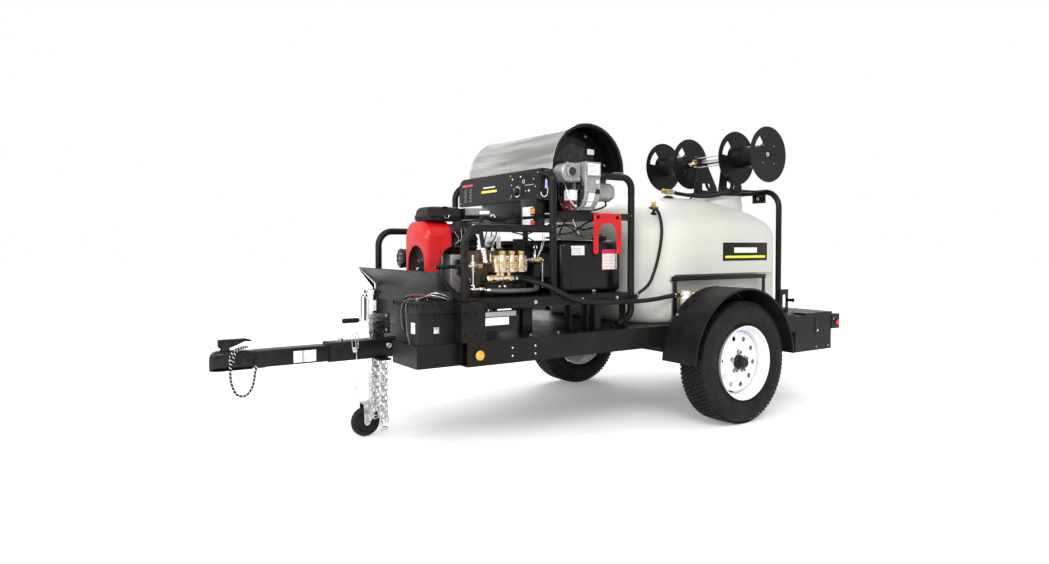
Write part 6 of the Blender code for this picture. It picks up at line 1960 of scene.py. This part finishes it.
def make_control_panel_sheet():
    face, back, near, far, low, top = -1.12, -1.07, -0.44, 0.44, 1.24, 1.4
    kit = Kit("control_panel_sheet")
    outline = [(near, low - 0.002), (near, top)] + arc(
        (far - 0.06, top - 0.06), 0.06, 90, 0, 12
    ) + [(far, low - 0.002)]
    kit.sheet("satin", [outline], "YZ", face, back, 0.003)
    kit.box("satin", (face, -0.257, 1.0852), (back, 0.167, low + 0.006), 0.003)
    sub = rounded_rectangle(-0.415, -0.14, 1.252, 1.386, 0.008)
    kit.sheet("black", [sub], "YZ", face - 0.0016, face + 0.0004, 0.0005)
    warning_y0, warning_y1 = 0.27, 0.395
    kit.box("plastic", (face - 0.0008, warning_y0, 1.256), (face, warning_y1, 1.364), 0)
    kit.box("tail_red", (face - 0.0014, warning_y0, 1.352), (face - 0.0004, warning_y1, 1.366), 0)
    for column in (warning_y0 + 0.012, warning_y0 + 0.074):
        for row in range(9):
            wide = 0.04 - 0.008 * (row % 3)
            kit.box(
                "print", (face - 0.0012, column, 1.262 + 0.0095 * row),
                (face - 0.0006, column + wide, 1.265 + 0.0095 * row), 0
            )
    kit.box("yellow", (face - 0.001, 0.0, 1.304), (face, 0.17, 1.317), 0)
    kit.box("label", (face - 0.001, 0.02, 1.33), (face, 0.15, 1.338), 0)
    kit.lathe(
        "chrome", (face - 0.0016, -0.215, 1.29), (-1, 0, 0),
        [(0, 0), (0, 0.029), (0.001, 0.029), (0.0016, 0.0265), (0.0016, 0)], 40
    )
    for i in range(11):
        turn = math.radians(-30 + 24 * i)
        y, z = -0.215 + 0.0335 * math.cos(turn), 1.29 + 0.0335 * math.sin(turn)
        kit.box("label", (face - 0.0022, y - 0.0011, z - 0.0011), (face - 0.0014, y + 0.0011, z + 0.0011), 0)
    kit.lathe(
        "label", (face - 0.0014, -0.275, 1.342), (-1, 0, 0),
        [(0, 0.0075), (0, 0.0105), (0.0012, 0.0105), (0.0012, 0.0075)], 32, closed=True
    )
    kit.nut("chrome", (face - 0.0014, -0.33, 1.29), (-1, 0, 0), 0.0092, 0.0034)
    kit.rod("chrome", (face - 0.003, -0.33, 1.29), (face - 0.0064, -0.33, 1.29), 0.0066)
    for y, z, finish in (
        (-0.17, 1.36, "label"), (-0.16, 1.33, "chrome"), (-0.16, 1.27, "chrome"), (-0.25, 1.368, "label"),
        (-0.375, 1.348, "chrome"), (-0.39, 1.308, "chrome")
    ):
        kit.rod(finish, (face - 0.0014, y, z), (face - 0.006, y, z), 0.0045, sides=20)
    kit.box("print", (face - 0.0024, -0.37, 1.318), (face - 0.0014, -0.29, 1.323), 0)
    column_y0, column_y1 = -0.4, -0.255
    kit.box("satin", (face - 0.004, column_y0, 1.09), (back, column_y1 + 0.004, 1.248), 0.004)
    for z, finish in ((1.18, "orange"), (1.115, "tail_red")):
        kit.box("label", (face - 0.0052, -0.37, z - 0.024), (face - 0.0038, -0.27, z + 0.024), 0)
        kit.box("plastic", (face - 0.0085, -0.395, z - 0.021), (face - 0.0038, -0.348, z + 0.019), 0.0015)
        rocker = Matrix.Rotation(math.radians(10), 3, "Y")
        kit.box(finish, (face - 0.0125, -0.39, z - 0.015), (face - 0.006, -0.354, z + 0.014), 0.002, rocker)
    edge = [Vector((face + 0.002, y, z)) for y, z in [(near + 0.002, low), (near + 0.002, top - 0.003)]
            + arc((far - 0.06, top - 0.06), 0.0572, 90, 0, 12) + [(far - 0.003, low)]]
    kit.tube("black", edge, 0.0038, 10)
    kit.box("black", (face - 0.003, -0.255, 1.234), (face + 0.004, 0.42, 1.24), 0.001)
    for y, z in (
        (-0.408, 1.259), (-0.408, 1.379), (-0.147, 1.259), (-0.147, 1.379), (0.14, 1.1), (-0.23, 1.1),
        (0.42, 1.255)
    ):
        kit.lathe(
            "zinc", (face - 0.0014, y, z), (-1, 0, 0), [(0, 0), (0, 0.004), (0.0014, 0.0032), (0.002, 0)], 14
        )
    kit.done("control_panel")


def make_thermostat_knob_grip():
    knob = Kit("thermostat_knob_grip", "thermostat_dial")
    skirt = [
        (0, 0), (0, 0.017), (0.002, 0.0188), (0.017, 0.0205), (0.019, 0.0228), (0.0234, 0.023), (0.0234, 0)
    ]
    knob.lathe("plastic", (-1.144, -0.215, 1.29), (1, 0, 0), skirt, 40)
    for i in range(20):
        turn = 2 * math.pi * i / 20
        y, z = -0.215 + 0.0192 * math.cos(turn), 1.29 + 0.0192 * math.sin(turn)
        knob.rod("plastic", (-1.142, y, z), (-1.1265, y, z), 0.0013, sides=8)
    knob.box("label", (-1.1446, -0.2162, 1.294), (-1.1436, -0.2138, 1.308), 0)
    knob.done("thermostat_knob")


def make_burner_switch_lever():
    toggle = Kit("burner_switch_lever", "toggle")
    foot, lean = Vector((-1.126, -0.33, 1.29)), Vector(
        (-math.cos(math.radians(12)), 0, -math.sin(math.radians(12)))
    )
    toggle.lathe(
        "chrome", foot, lean,
        [(0, 0), (0, 0.0028), (0.012, 0.0033), (0.018, 0.0042), (0.0205, 0.0036), (0.0218, 0)], 20
    )
    toggle.ball("chrome", foot, 0.0053, 10)
    toggle.done("burner_switch")


def make_panel_wiring():
    loom = Kit("panel_wiring")
    loop = [
        (-1.095, -0.444, 1.345), (-1.092, -0.45, 1.315), (-1.09, -0.452, 1.285), (-1.096, -0.452, 1.26),
        (-1.115, -0.45, 1.252), (-1.127, -0.448, 1.264), (-1.129, -0.446, 1.276)
    ]
    loom.tube("white_plastic", flowing(loop, 0.006), 0.0024, 10)
    loom.rod("blue", (-1.095, -0.447, 1.295), (-1.095, -0.447, 1.325), 0.0075)
    loom.rod("white_plastic", (-1.095, -0.447, 1.324), (-1.095, -0.447, 1.34), 0.0055)
    loom.tube(
        "plastic",
        flowing(
            [(-1.126, -0.422, 1.37), (-1.129, -0.422, 1.33), (-1.125, -0.424, 1.29), (-1.128, -0.42, 1.256)],
            0.008
        ), 0.0022, 8
    )
    loom.done()


def make_panel():
    """The control panel, its switches, plates and edge trim."""
    make_control_panel_sheet()
    make_thermostat_knob_grip()
    make_burner_switch_lever()
    make_panel_wiring()


def make_fuel_tank_shell():
    kit = Kit("fuel_tank_shell")
    x0, x1, y0, y1, z0, z1 = -0.9898, -0.5722, -0.4398, 0.3998, 0.7475, 1.0298
    rings = []
    for z, inset in (
        (z0, 0.014), (z0 + 0.004, 0.007), (z0 + 0.014, 0.001), (z0 + 0.022, 0.0), (z1 - 0.03, 0.0),
        (z1 - 0.018, 0.003), (z1 - 0.008, 0.01), (z1 - 0.002, 0.022), (z1, 0.038)
    ):
        ring = rounded_rectangle(x0 + inset, x1 - inset, y0 + inset, y1 - inset, 0.032, 8)
        rings.append([Vector((x, y, z)) for x, y in ring])
    kit.loft("satin", rings)
    for x in (x0 + 0.06, x1 - 0.05):
        kit.tube("satin", bent([(x, y0 + 0.0005, z0 + 0.03), (x, y0 + 0.0005, z1 - 0.04)], 0.01), 0.0032, 8)
    kit.box("label", (-0.93, -0.4412, 0.95), (-0.84, -0.4397, 1.0), 0)
    for row in range(3):
        kit.box(
            "print", (-0.922, -0.4417, 0.96 + 0.012 * row),
            (-0.86 - 0.01 * (row % 2), -0.4411, 0.9625 + 0.012 * row), 0
        )
    kit.box("pink", (-0.718, -0.4408, 0.868), (-0.61, -0.4397, 0.98), 0)
    kit.box("label", (-0.714, -0.4413, 0.872), (-0.614, -0.4405, 0.956), 0)
    for row in range(4):
        kit.box(
            "pink", (-0.706, -0.4418, 0.886 + 0.017 * row),
            (-0.626 - 0.012 * (row % 2), -0.4412, 0.888 + 0.017 * row), 0
        )
    kit.lathe(
        "satin", (-0.68, -0.37, z1 - 0.004), (0, 0, 1),
        [(0, 0), (0, 0.046), (0.0035, 0.046), (0.0042, 0.044), (0.0042, 0)], 40
    )
    kit.nut("brass", (-0.9, -0.3, z1 - 0.004), (0, 0, 1), 0.011, 0.018)
    kit.tube(
        "hose",
        flowing(
            [(-0.9, -0.3, z1 + 0.01), (-0.905, -0.31, 1.08), (-0.93, -0.38, 1.12), (-0.955, -0.45, 1.17)],
            0.01
        ), 0.0045, 12
    )
    kit.box("zinc", (-0.8, -0.46, 0.748), (-0.776, -0.44, 0.764), 0.002)
    kit.done("fuel_tank")


def make_fuel_cap_grip():
    cap = Kit("fuel_cap_grip", "cap")
    profile = [
        (0, 0), (0, 0.0415), (0.004, 0.0418), (0.02, 0.04), (0.024, 0.038), (0.026, 0.025), (0.028, 0.023),
        (0.0315, 0.022), (0.0315, 0)
    ]
    cap.lathe("plastic", (-0.68, -0.37, 1.0304), (0, 0, 1), profile, 48)
    for i in range(24):
        turn = 2 * math.pi * i / 24
        x, y = -0.68 + 0.0398 * math.cos(turn), -0.37 + 0.0398 * math.sin(turn)
        cap.rod("plastic", (x, y, 1.033), (x, y, 1.052), 0.0021, sides=8)
    cap.box("plastic", (-0.704, -0.3745, 1.056), (-0.656, -0.3655, 1.0618), 0.002)
    cap.done("fuel_cap")


def make_fuel_tank():
    """The fuel tank with its ribs and labels, and its cap."""
    make_fuel_tank_shell()
    make_fuel_cap_grip()


def make_wand_holder():
    """The red holder for the wand."""
    kit = Kit("wand_holder_plate")
    x0, x1, low, high, leg = -0.86, -0.668, 0.955, 1.172, 0.034
    middle, top_corner = (x0 + x1) / 2, 0.014
    view = arc((x0 + leg / 2, low + leg / 2), leg / 2, 180, 360, 10)
    view += arc((middle, 1.06), middle - x0 - leg, 180, 0, 28)
    view += arc((x1 - leg / 2, low + leg / 2), leg / 2, 180, 360, 10)
    view += arc((x1 - top_corner, high - top_corner), top_corner, 0, 90, 5) + arc(
        (x0 + top_corner, high - top_corner), top_corner, 90, 180, 5
    )
    back = -0.54
    kit.sheet("red", [view], "XZ", back - 0.004, back, 0.001)
    kit.box("red", (x0 + 0.004, back - 0.002, high - 0.006), (x1 - 0.004, back + 0.03, high), 0.0015)
    for x in (x0 + 0.03, x1 - 0.03):
        kit.bolt((x, back - 0.004, 1.15), (0, -1, 0), 0.007, "black")
    kit.done("wand_holder")


# Water ------------------------------------------------------------------------------------------

TANK_X, TANK_HALF_L, TANK_HALF_W, TANK_LOW = 0.15, 0.65, 0.55, 0.5568
NECK_X, NECK_Y, NECK_TOP, NECK_R = 0.63, -0.06, 1.338, 0.165


def tank_levels():
    """(height, drawn in at the ends, drawn in at the sides, corner) up the tank's wall and over its dome."""
    given = (
        (TANK_LOW, 0.03, 0.03, 0.26), (TANK_LOW + 0.01, 0.014, 0.014, 0.276),
        (TANK_LOW + 0.035, 0.0, 0.0, 0.29), (0.7, 0.0, 0.0, 0.29), (0.88, 0.0, 0.0, 0.29),
        (1.06, 0.0, 0.0, 0.29), (1.105, 0.008, 0.012, 0.288), (1.145, 0.025, 0.04, 0.285),
        (1.185, 0.055, 0.095, 0.275), (1.22, 0.095, 0.165, 0.26), (1.25, 0.145, 0.245, 0.24),
        (1.28, 0.215, 0.33, 0.2), (1.303, 0.3, 0.41, 0.13), (1.315, 0.4, 0.47, 0.07)
    )
    levels = []
    for before, after in zip(given, given[1:]):
        levels += [[a + (b - a) * i / 2 for a, b in zip(before, after)] for i in range(2)]
    return levels + [list(given[-1])]


def make_water_tank_moulding():
    kit = Kit("water_tank_moulding")
    rings = []
    for z, end, side, corner in tank_levels():
        half_x, half_y = TANK_HALF_L - end, TANK_HALF_W - side
        ring = rounded_rectangle(TANK_X - half_x, TANK_X + half_x, -half_y, half_y, corner, 14)
        rings.append([Vector((x, y, z)) for x, y in ring])
    kit.loft("poly", rings)
    wells = Kit("wells")
    for side in (-1, 1):
        low, high = sorted((side * 0.498, side * 0.62))
        wells.sheet("poly", [rounded_rectangle(-0.285, 0.9, 0.48, 0.835, 0.03, 8)], "XZ", low, high, 0.002)
    kit.cut("poly", wells)
    neck = [
        (1.14, NECK_R + 0.015), (1.23, NECK_R + 0.012), (1.3, NECK_R + 0.006), (1.32, NECK_R + 0.001),
        (1.326, NECK_R + 0.003), (1.336, NECK_R + 0.003), (NECK_TOP, NECK_R), (NECK_TOP, 0)
    ]
    kit.lathe("poly", (NECK_X, NECK_Y, 0), (0, 0, 1), [(1.14, 0), *neck], 72)
    kit.done("water_tank", smooth=50)


def make_tank_fittings():
    trim = Kit("tank_fittings")
    x0, x1 = 0.133, 0.544
    trim.box("plastic", (x0, -0.5516, 0.909), (x1, -0.5492, 1.02), 0.0006)
    trim.box("yellow", (x0 + 0.02, -0.5522, 0.926), (x1 - 0.02, -0.5514, 0.94), 0)
    trim.box("label", (x0 + 0.1, -0.5522, 0.958), (x1 - 0.1, -0.5514, 0.99), 0)
    rail_z, rail_high = 0.798, 0.824
    trim.box("black", (-0.3, -0.554, rail_z), (0.53, -0.5506, rail_high), 0.001)
    trim.box("black", (-0.3, -0.554, rail_z), (0.53, -0.51, rail_z + 0.0034), 0.001)
    trim.box("black", (-0.285, -0.554, 0.5575), (-0.255, -0.5506, rail_z + 0.004), 0.001)
    trim.box("black", (0.495, -0.554, 0.5575), (0.525, -0.5506, rail_z + 0.004), 0.001)
    slant = Vector((-0.18, -0.27, 0.94)).normalized()
    root = Vector((-0.2465, -0.35, 1.224))
    trim.lathe(
        "plastic", root - slant * 0.006, slant, [(0, 0), (0, 0.03), (0.01, 0.03), (0.012, 0.027), (0.012, 0)],
        32
    )
    trim.nut("brass", root + slant * 0.006, slant, 0.0165, 0.014)
    trim.ball("brass", root + slant * 0.03, 0.0145, 12)
    trim.nut("brass", root + slant * 0.03, (-0.6, -0.75, -0.1), 0.0135, 0.034)
    barb = root + slant * 0.03 + Vector((-0.6, -0.75, -0.1)).normalized() * 0.032
    trim.lathe(
        "brass", barb, (-0.6, -0.75, -0.1),
        [
            (0, 0), (0, 0.0085), (0.006, 0.007), (0.006, 0.0085), (0.012, 0.007), (0.012, 0.0085),
            (0.018, 0.0065), (0.018, 0)
        ], 20
    )
    grommet, out = Vector((-0.3073, -0.4134, 1.1846)), Vector((-0.314, -0.47, 0.825)).normalized()
    trim.lathe(
        "hose", grommet - out * 0.006, out, [(0, 0), (0, 0.019), (0.008, 0.019), (0.012, 0.015), (0.012, 0)],
        28
    )
    vent = Vector((0.123, -0.1, 1.312))
    trim.lathe("satin", vent, (0, 0, 1), [(0, 0), (0, 0.04), (0.006, 0.036), (0.012, 0.026), (0.014, 0)], 32)
    trim.nut("white_plastic", vent + Vector((0, 0, 0.01)), (0, 0, 1), 0.016, 0.012)
    trim.rod("brass", vent + Vector((-0.04, -0.01, 0.04)), vent + Vector((0.044, 0.01, 0.04)), 0.016)
    trim.nut("brass", vent + Vector((-0.044, -0.011, 0.04)), (-1, -0.2, 0), 0.0185, 0.014)
    trim.nut("brass", vent + Vector((0.04, 0.009, 0.04)), (1, 0.2, 0), 0.0185, 0.014)
    supply = [
        vent + Vector((0.052, 0.012, 0.04)), Vector((0.24, -0.08, 1.345)), Vector((0.36, -0.11, 1.333)),
        Vector((0.45, -0.16, 1.332)), Vector((0.53, -0.25, 1.36)), Vector((0.59, -0.23, 1.42)),
        Vector((0.62, -0.15, 1.5)), Vector((0.66, -0.12, 1.57))
    ]
    trim.tube("hose", flowing(supply, 0.014), 0.0125, 18)
    trim.done()


def make_manway_lid_disc():
    lid = Kit("manway_lid_disc", "tank_lid")
    profile = [
        (0.0003, 0), (0.0003, 0.166), (0.002, 0.1705), (0.014, 0.1705), (0.017, 0.168), (0.018, 0.156),
        (0.0145, 0.152), (0.0145, 0.06), (0.019, 0.056), (0.0218, 0.05), (0.0218, 0)
    ]
    lid.lathe("plastic", (NECK_X, NECK_Y, NECK_TOP), (0, 0, 1), profile, 80)
    for i in range(60):
        turn = 2 * math.pi * i / 60
        x, y = NECK_X + 0.17 * math.cos(turn), NECK_Y + 0.17 * math.sin(turn)
        lid.rod("plastic", (x, y, NECK_TOP + 0.003), (x, y, NECK_TOP + 0.014), 0.001, sides=6)
    for i in range(6):
        turn = Matrix.Rotation(math.radians(60 * i + 15), 3, "Z")
        at = Vector((NECK_X, NECK_Y, 0)) + turn @ Vector((0.105, 0, 0))
        lid.box(
            "plastic", (at.x - 0.046, at.y - 0.004, NECK_TOP + 0.014),
            (at.x + 0.046, at.y + 0.004, NECK_TOP + 0.019), 0.0015, turn
        )
    lid.done("manway_lid")


def make_water_tank():
    """The water tank, its fittings and its lid."""
    make_water_tank_moulding()
    make_tank_fittings()
    make_manway_lid_disc()


def make_water_filter_bowl():
    kit = Kit("water_filter_bowl")
    x, y = -0.197, -0.5634
    bowl = [
        (0.62, 0), (0.62, 0.012), (0.623, 0.02), (0.628, 0.025), (0.642, 0.0285), (0.695, 0.0335), (0.695, 0)
    ]
    kit.lathe("white_plastic", (x, y, 0), (0, 0, 1), bowl, 48)
    ring = [
        (0.693, 0), (0.693, 0.0355), (0.695, 0.036), (0.708, 0.036), (0.71, 0.0345), (0.712, 0.03),
        (0.738, 0.028), (0.7418, 0.023), (0.742, 0)
    ]
    kit.lathe("white_plastic", (x, y, 0), (0, 0, 1), ring, 48)
    for i in range(20):
        turn = 2 * math.pi * i / 20
        kit.rod(
            "white_plastic", (x + 0.0352 * math.cos(turn), y + 0.0352 * math.sin(turn), 0.696),
            (x + 0.0352 * math.cos(turn), y + 0.0352 * math.sin(turn), 0.707), 0.0016, sides=8
        )
    for side in (-1, 1):
        kit.nut("brass", (x + side * 0.027, y, 0.72), (side, 0, 0), 0.0128 + 0.0015, 0.014)
        kit.rod("brass", (x + side * 0.04, y, 0.72), (x + side * 0.054, y, 0.72), 0.01)
    kit.nut("brass", (x + 0.052, y, 0.72), (1, 0, 0), 0.0142, 0.016)
    kit.rod("brass", (x + 0.06, y, 0.72), (x + 0.06, -0.499, 0.72), 0.012)
    kit.done("water_filter")
    suction = Kit("suction_hose_run")
    route = [
        (x - 0.0555, y, 0.72), (x - 0.085, y, 0.72), (x - 0.16, y - 0.008, 0.714), (-0.46, -0.574, 0.704),
        (-0.62, -0.578, 0.7), (-0.88, -0.578, 0.706), (-1.0, -0.578, 0.726), (-1.09, -0.576, 0.762),
        (-1.16, -0.56, 0.796), (-1.205, -0.5, 0.818), (-1.24, -0.436, 0.832), (-1.266, -0.42, 0.835),
        (-1.2877, -0.42, 0.835)
    ]
    path = flowing(route, 0.012)
    suction.tube("hose", path, 0.0126, 20)
    for i in (2, len(path) - 4):
        along = (path[i + 1] - path[i]).normalized()
        suction.lathe(
            "zinc", path[i], along, [(0, 0.0122), (0, 0.0138), (0.011, 0.0138), (0.011, 0.0122)], 28,
            closed=True
        )
        suction.nut("zinc", path[i] + along * 0.0055 + Vector((0, 0, 0.0125)), (0, 1, 0), 0.0045, 0.01)
    suction.done("suction_hose")


def make_return_hose_run():
    back = Kit("return_hose_run")
    route = [
        (-0.3082, -0.4148, 1.1871), (-0.3167, -0.4275, 1.2093), (-0.33, -0.46, 1.208), (-0.34, -0.495, 1.175),
        (-0.352, -0.525, 1.11), (-0.364, -0.535, 1.04), (-0.375, -0.53, 0.96), (-0.4, -0.528, 0.88),
        (-0.45, -0.538, 0.8), (-0.505, -0.548, 0.762), (-0.544, -0.553, 0.745), (-0.575, -0.56, 0.726)
    ]
    back.tube("hose", flowing(route, 0.01), 0.0088, 18)
    back.tube("hose", [Vector((-0.57, -0.559, 0.729)), Vector((-0.6, -0.57, 0.708))], 0.012, 18)
    back.lathe(
        "zinc", (-0.566, -0.558, 0.7315), (-0.83, -0.19, -0.53),
        [(0, 0.0095), (0, 0.013), (0.008, 0.013), (0.008, 0.0095)], 24, closed=True
    )
    back.done("return_hose")


def make_plumbing():
    """The water filter and the two hoses by the tank."""
    make_water_filter_bowl()
    make_return_hose_run()


# Hose reels -------------------------------------------------------------------------------------

REEL_X, REEL_Z, DISC_R, DRUM_R = 0.683, 1.597, 0.182, 0.07
REEL_Y = {"left": (-0.45, -0.185), "right": (0.231, 0.507)}


def make_reels():
    """Both spools, each with two discs, a drum and its swivel."""
    for prefix, (low, high) in REEL_Y.items():
        kit = Kit(f"{prefix}_reel_discs", f"{prefix}_spool")
        for y_out, y_in, window_turn in ((low, low + 0.003, 150), (high, high - 0.003, 150)):
            y0, y1 = sorted((y_out, y_in))
            window = arc(
                (REEL_X, REEL_Z), 0.142, window_turn - 22, window_turn + 22, 12
            ) + arc((REEL_X, REEL_Z), 0.092, window_turn + 22, window_turn - 22, 12)
            hub = circle((REEL_X, REEL_Z), 0.024, 28)
            kit.sheet("black", [circle((REEL_X, REEL_Z), DISC_R - 0.003, 72), window, hub], "XZ", y0, y1)
            rolled = [
                Vector((x, (y0 + y1) / 2 + math.copysign(0.0014, y_in - y_out), z))
                for x, z in circle((REEL_X, REEL_Z), DISC_R - 0.0034, 72)
            ]
            kit.tube("black", rolled, 0.0033, 10, closed=True)
            for radius in (0.12, 0.16):
                bead = [
                    Vector((x, (y0 + y1) / 2, z))
                    for x, z in arc((REEL_X, REEL_Z), radius, window_turn + 30, window_turn + 330, 48)
                ]
                kit.tube("black", bead, 0.0022, 8)
            out = 1 if y_out > y_in else -1
            for i in range(4):
                turn = math.radians(45 + 90 * i)
                kit.bolt(
                    (REEL_X + 0.08 * math.cos(turn), y_out - out * 0.0042, REEL_Z + 0.08 * math.sin(turn)),
                    (0, out, 0), 0.005, "zinc", washer=False
                )
        drum = [(low + 0.002, 0.052), (low + 0.002, DRUM_R), (high - 0.002, DRUM_R), (high - 0.002, 0.052)]
        kit.lathe("black", (REEL_X, 0, REEL_Z), (0, 1, 0), drum, 48, closed=True)
        kit.lathe(
            "satin", (REEL_X, 0, REEL_Z), (0, 1, 0),
            [(low + 0.004, 0.021), (low + 0.004, 0.058), (low + 0.0075, 0.058), (low + 0.0075, 0.021)], 36,
            closed=True
        )
        kit.lathe(
            "satin", (REEL_X, 0, REEL_Z), (0, 1, 0),
            [(high - 0.0075, 0.021), (high - 0.0075, 0.058), (high - 0.004, 0.058), (high - 0.004, 0.021)],
            36, closed=True
        )
        kit.nut(
            "brass", (REEL_X + 0.02, (low + high) / 2, REEL_Z + DRUM_R - 0.004), (0, 0.3, 1), 0.0135, 0.018
        )
        kit.nut(
            "zinc", (REEL_X + 0.02, (low + high) / 2 + 0.005, REEL_Z + DRUM_R + 0.014), (0, 0.3, 1), 0.011,
            0.016
        )
        kit.rod("zinc", (REEL_X, low + 0.004, REEL_Z), (REEL_X, high - 0.004, REEL_Z), 0.016)
        if prefix == "right":
            swivel_y = low + 0.0005
            kit.lathe(
                "satin", (REEL_X, swivel_y + 0.06, REEL_Z), (0, 1, 0),
                [(0, 0), (0, 0.03), (0.004, 0.034), (0.06, 0.034), (0.06, 0)], 32
            )
        kit.done(f"{prefix}_reel")


def make_reel_stand():
    """The stand that holds the reels, with its bearings and feed hose."""
    kit = Kit("reel_stand_tubes")
    corners = [(0.835, -0.42, 0.5568), (0.835, -0.42, 1.365), (0.835, 0.42, 1.365), (0.835, 0.42, 0.5568)]
    kit.tube("black", bent(corners, 0.11, 14), CAGE_R, 24)
    for y in (-0.42, 0.42):
        kit.box("black", (0.802, y - 0.045, 0.557), (0.868, y + 0.045, 0.562), 0.001)
        kit.lathe(
            "satin", (0.835, y, 0.562), (0, 0, 1), [(0, CAGE_R), (0, CAGE_R + 0.005), (0.005, CAGE_R)], 24,
            closed=True
        )
    for y in (-0.1, 0.124):
        view = [
            (0.6, 1.362), (0.845, 1.362), (0.845, 1.42)
        ] + arc((REEL_X + 0.018, 1.606), 0.024, 20, 90, 5) + arc((REEL_X - 0.018, 1.606), 0.024, 90, 180, 5)
        hole = rounded_rectangle(0.69, 0.77, 1.4, 1.45, 0.012)
        kit.sheet("black", [view, hole], "XZ", y - 0.003, y + 0.003)
        kit.box("black", (0.6, y - 0.024, 1.36), (0.845, y + 0.024, 1.364), 0.001)
        kit.box(
            "black", (REEL_X - 0.04, y - 0.007, REEL_Z - 0.035), (REEL_X + 0.04, y + 0.007, REEL_Z + 0.0325),
            0.002
        )
        out = -1 if y < 0 else 1
        kit.lathe(
            "zinc", (REEL_X, y + out * 0.006, REEL_Z), (0, out, 0),
            [(0, 0), (0, 0.033), (0.008, 0.033), (0.012, 0.026), (0.012, 0)], 32
        )
        for x in (REEL_X - 0.03, REEL_X + 0.03):
            kit.bolt((x, y + out * 0.007, REEL_Z + 0.022), (0, out, 0), 0.006, "zinc")
    kit.rod("zinc", (REEL_X, -0.1847, REEL_Z), (REEL_X, 0.2307, REEL_Z), 0.0195)
    for y0, y1, z in ((-0.1, 0.124, 1.56), (-0.1, 0.124, 1.625)):
        kit.tube("zinc", [(REEL_X - 0.045, y0, z), (REEL_X - 0.045, y1, z)], 0.0045, 12)
    kit.box("black", (0.56, -0.128, 1.3605), (0.78, -0.094, 1.364), 0.001)
    kit.tube(
        "black",
        bent([(0.8, -0.3, 1.364), (0.56, -0.3, 1.364), (0.56, 0.18, 1.364), (0.8, 0.18, 1.364)], 0.04), 0.01,
        14
    )
    kit.box("satin", (0.8, -0.33, 1.29), (0.816, -0.23, 1.35), 0.002)
    kit.nut("brass", (0.795, -0.29, 1.32), (-1, 0, 0), 0.012, 0.016)
    swivel = Vector((REEL_X, 0.19, REEL_Z))
    kit.lathe(
        "brass", swivel, (0, 1, 0), [(0, 0.0195), (0, 0.029), (0.022, 0.029), (0.022, 0.0195)], 32,
        closed=True
    )
    kit.nut("brass", swivel + Vector((0.026, 0.011, 0.01)), (0.9, 0, 0.4), 0.014, 0.03)
    kit.nut("chrome", swivel + Vector((-0.024, 0.011, -0.006)), (-0.9, 0, -0.3), 0.012, 0.026)
    kit.nut(
        "brass", Vector((REEL_X, -0.172, REEL_Z)) + Vector((-0.018, 0, -0.02)), (-0.6, 0, -0.8), 0.013, 0.026
    )
    drop = [
        swivel + Vector((0.052, 0.011, 0.02)), Vector((0.76, 0.2, 1.59)), Vector((0.79, 0.19, 1.5)),
        Vector((0.805, 0.17, 1.42)), Vector((0.815, 0.12, 1.388))
    ]
    kit.tube("hose", flowing(drop, 0.012), 0.011, 16)
    kit.done("reel_stand")


# CAD nodes that keep their own shape ------------------------------------------------------------

KEPT = {
    "left_rail": "black", "right_rail": "black", "deck_frame": "black", "battery_tray": "black",
    "axle_beam": "black", "rear_toolbox": "black", "toolbox_lid": "black", "skid_base": "black",
    "front_guard": "black", "belt_guard": "black", "engine_pulley": "dark_metal", "pump_pulley": "dark_metal",
    "drive_belt": "hose", "coil_drum": "dark_metal", "heating_coil": "dark_metal"
}


def dress_kept_nodes():
    """A finish and softened edges for each CAD node that is shown as it is."""
    for name, finish in KEPT.items():
        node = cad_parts[name]
        node.data.materials.clear()
        node.data.materials.append(FINISHES[finish][1])
        node.data.shade_smooth()
        node.data.set_sharp_from_angle(angle=math.radians(35))
        edges = node.modifiers.new("soft_edges", "BEVEL")
        edges.width, edges.segments = 0.0012, 2
        edges.limit_method, edges.angle_limit = "ANGLE", math.radians(50)


# The whole scene --------------------------------------------------------------------------------

make_camera()
make_studio()
dress_kept_nodes()
for prefix, side in (("left", -1), ("right", 1)):
    make_tyre(prefix, side)
    make_rim(prefix, side)
    make_rail_details(prefix, side)
    make_fender(prefix, side)
make_markers()
make_tail()
make_tongue()
make_coupler()
make_wiring_loop()
make_chains()
make_jack()
make_batteries()
make_front_guard()
make_cages()
make_skid_details()
make_shroud()
make_engine_block()
make_engine_dressing()
make_pump()
make_wrap()
make_burner()
make_panel()
make_fuel_tank()
make_wand_holder()
make_water_tank()
make_plumbing()
make_reels()
make_reel_stand()

bpy.context.view_layer.update()
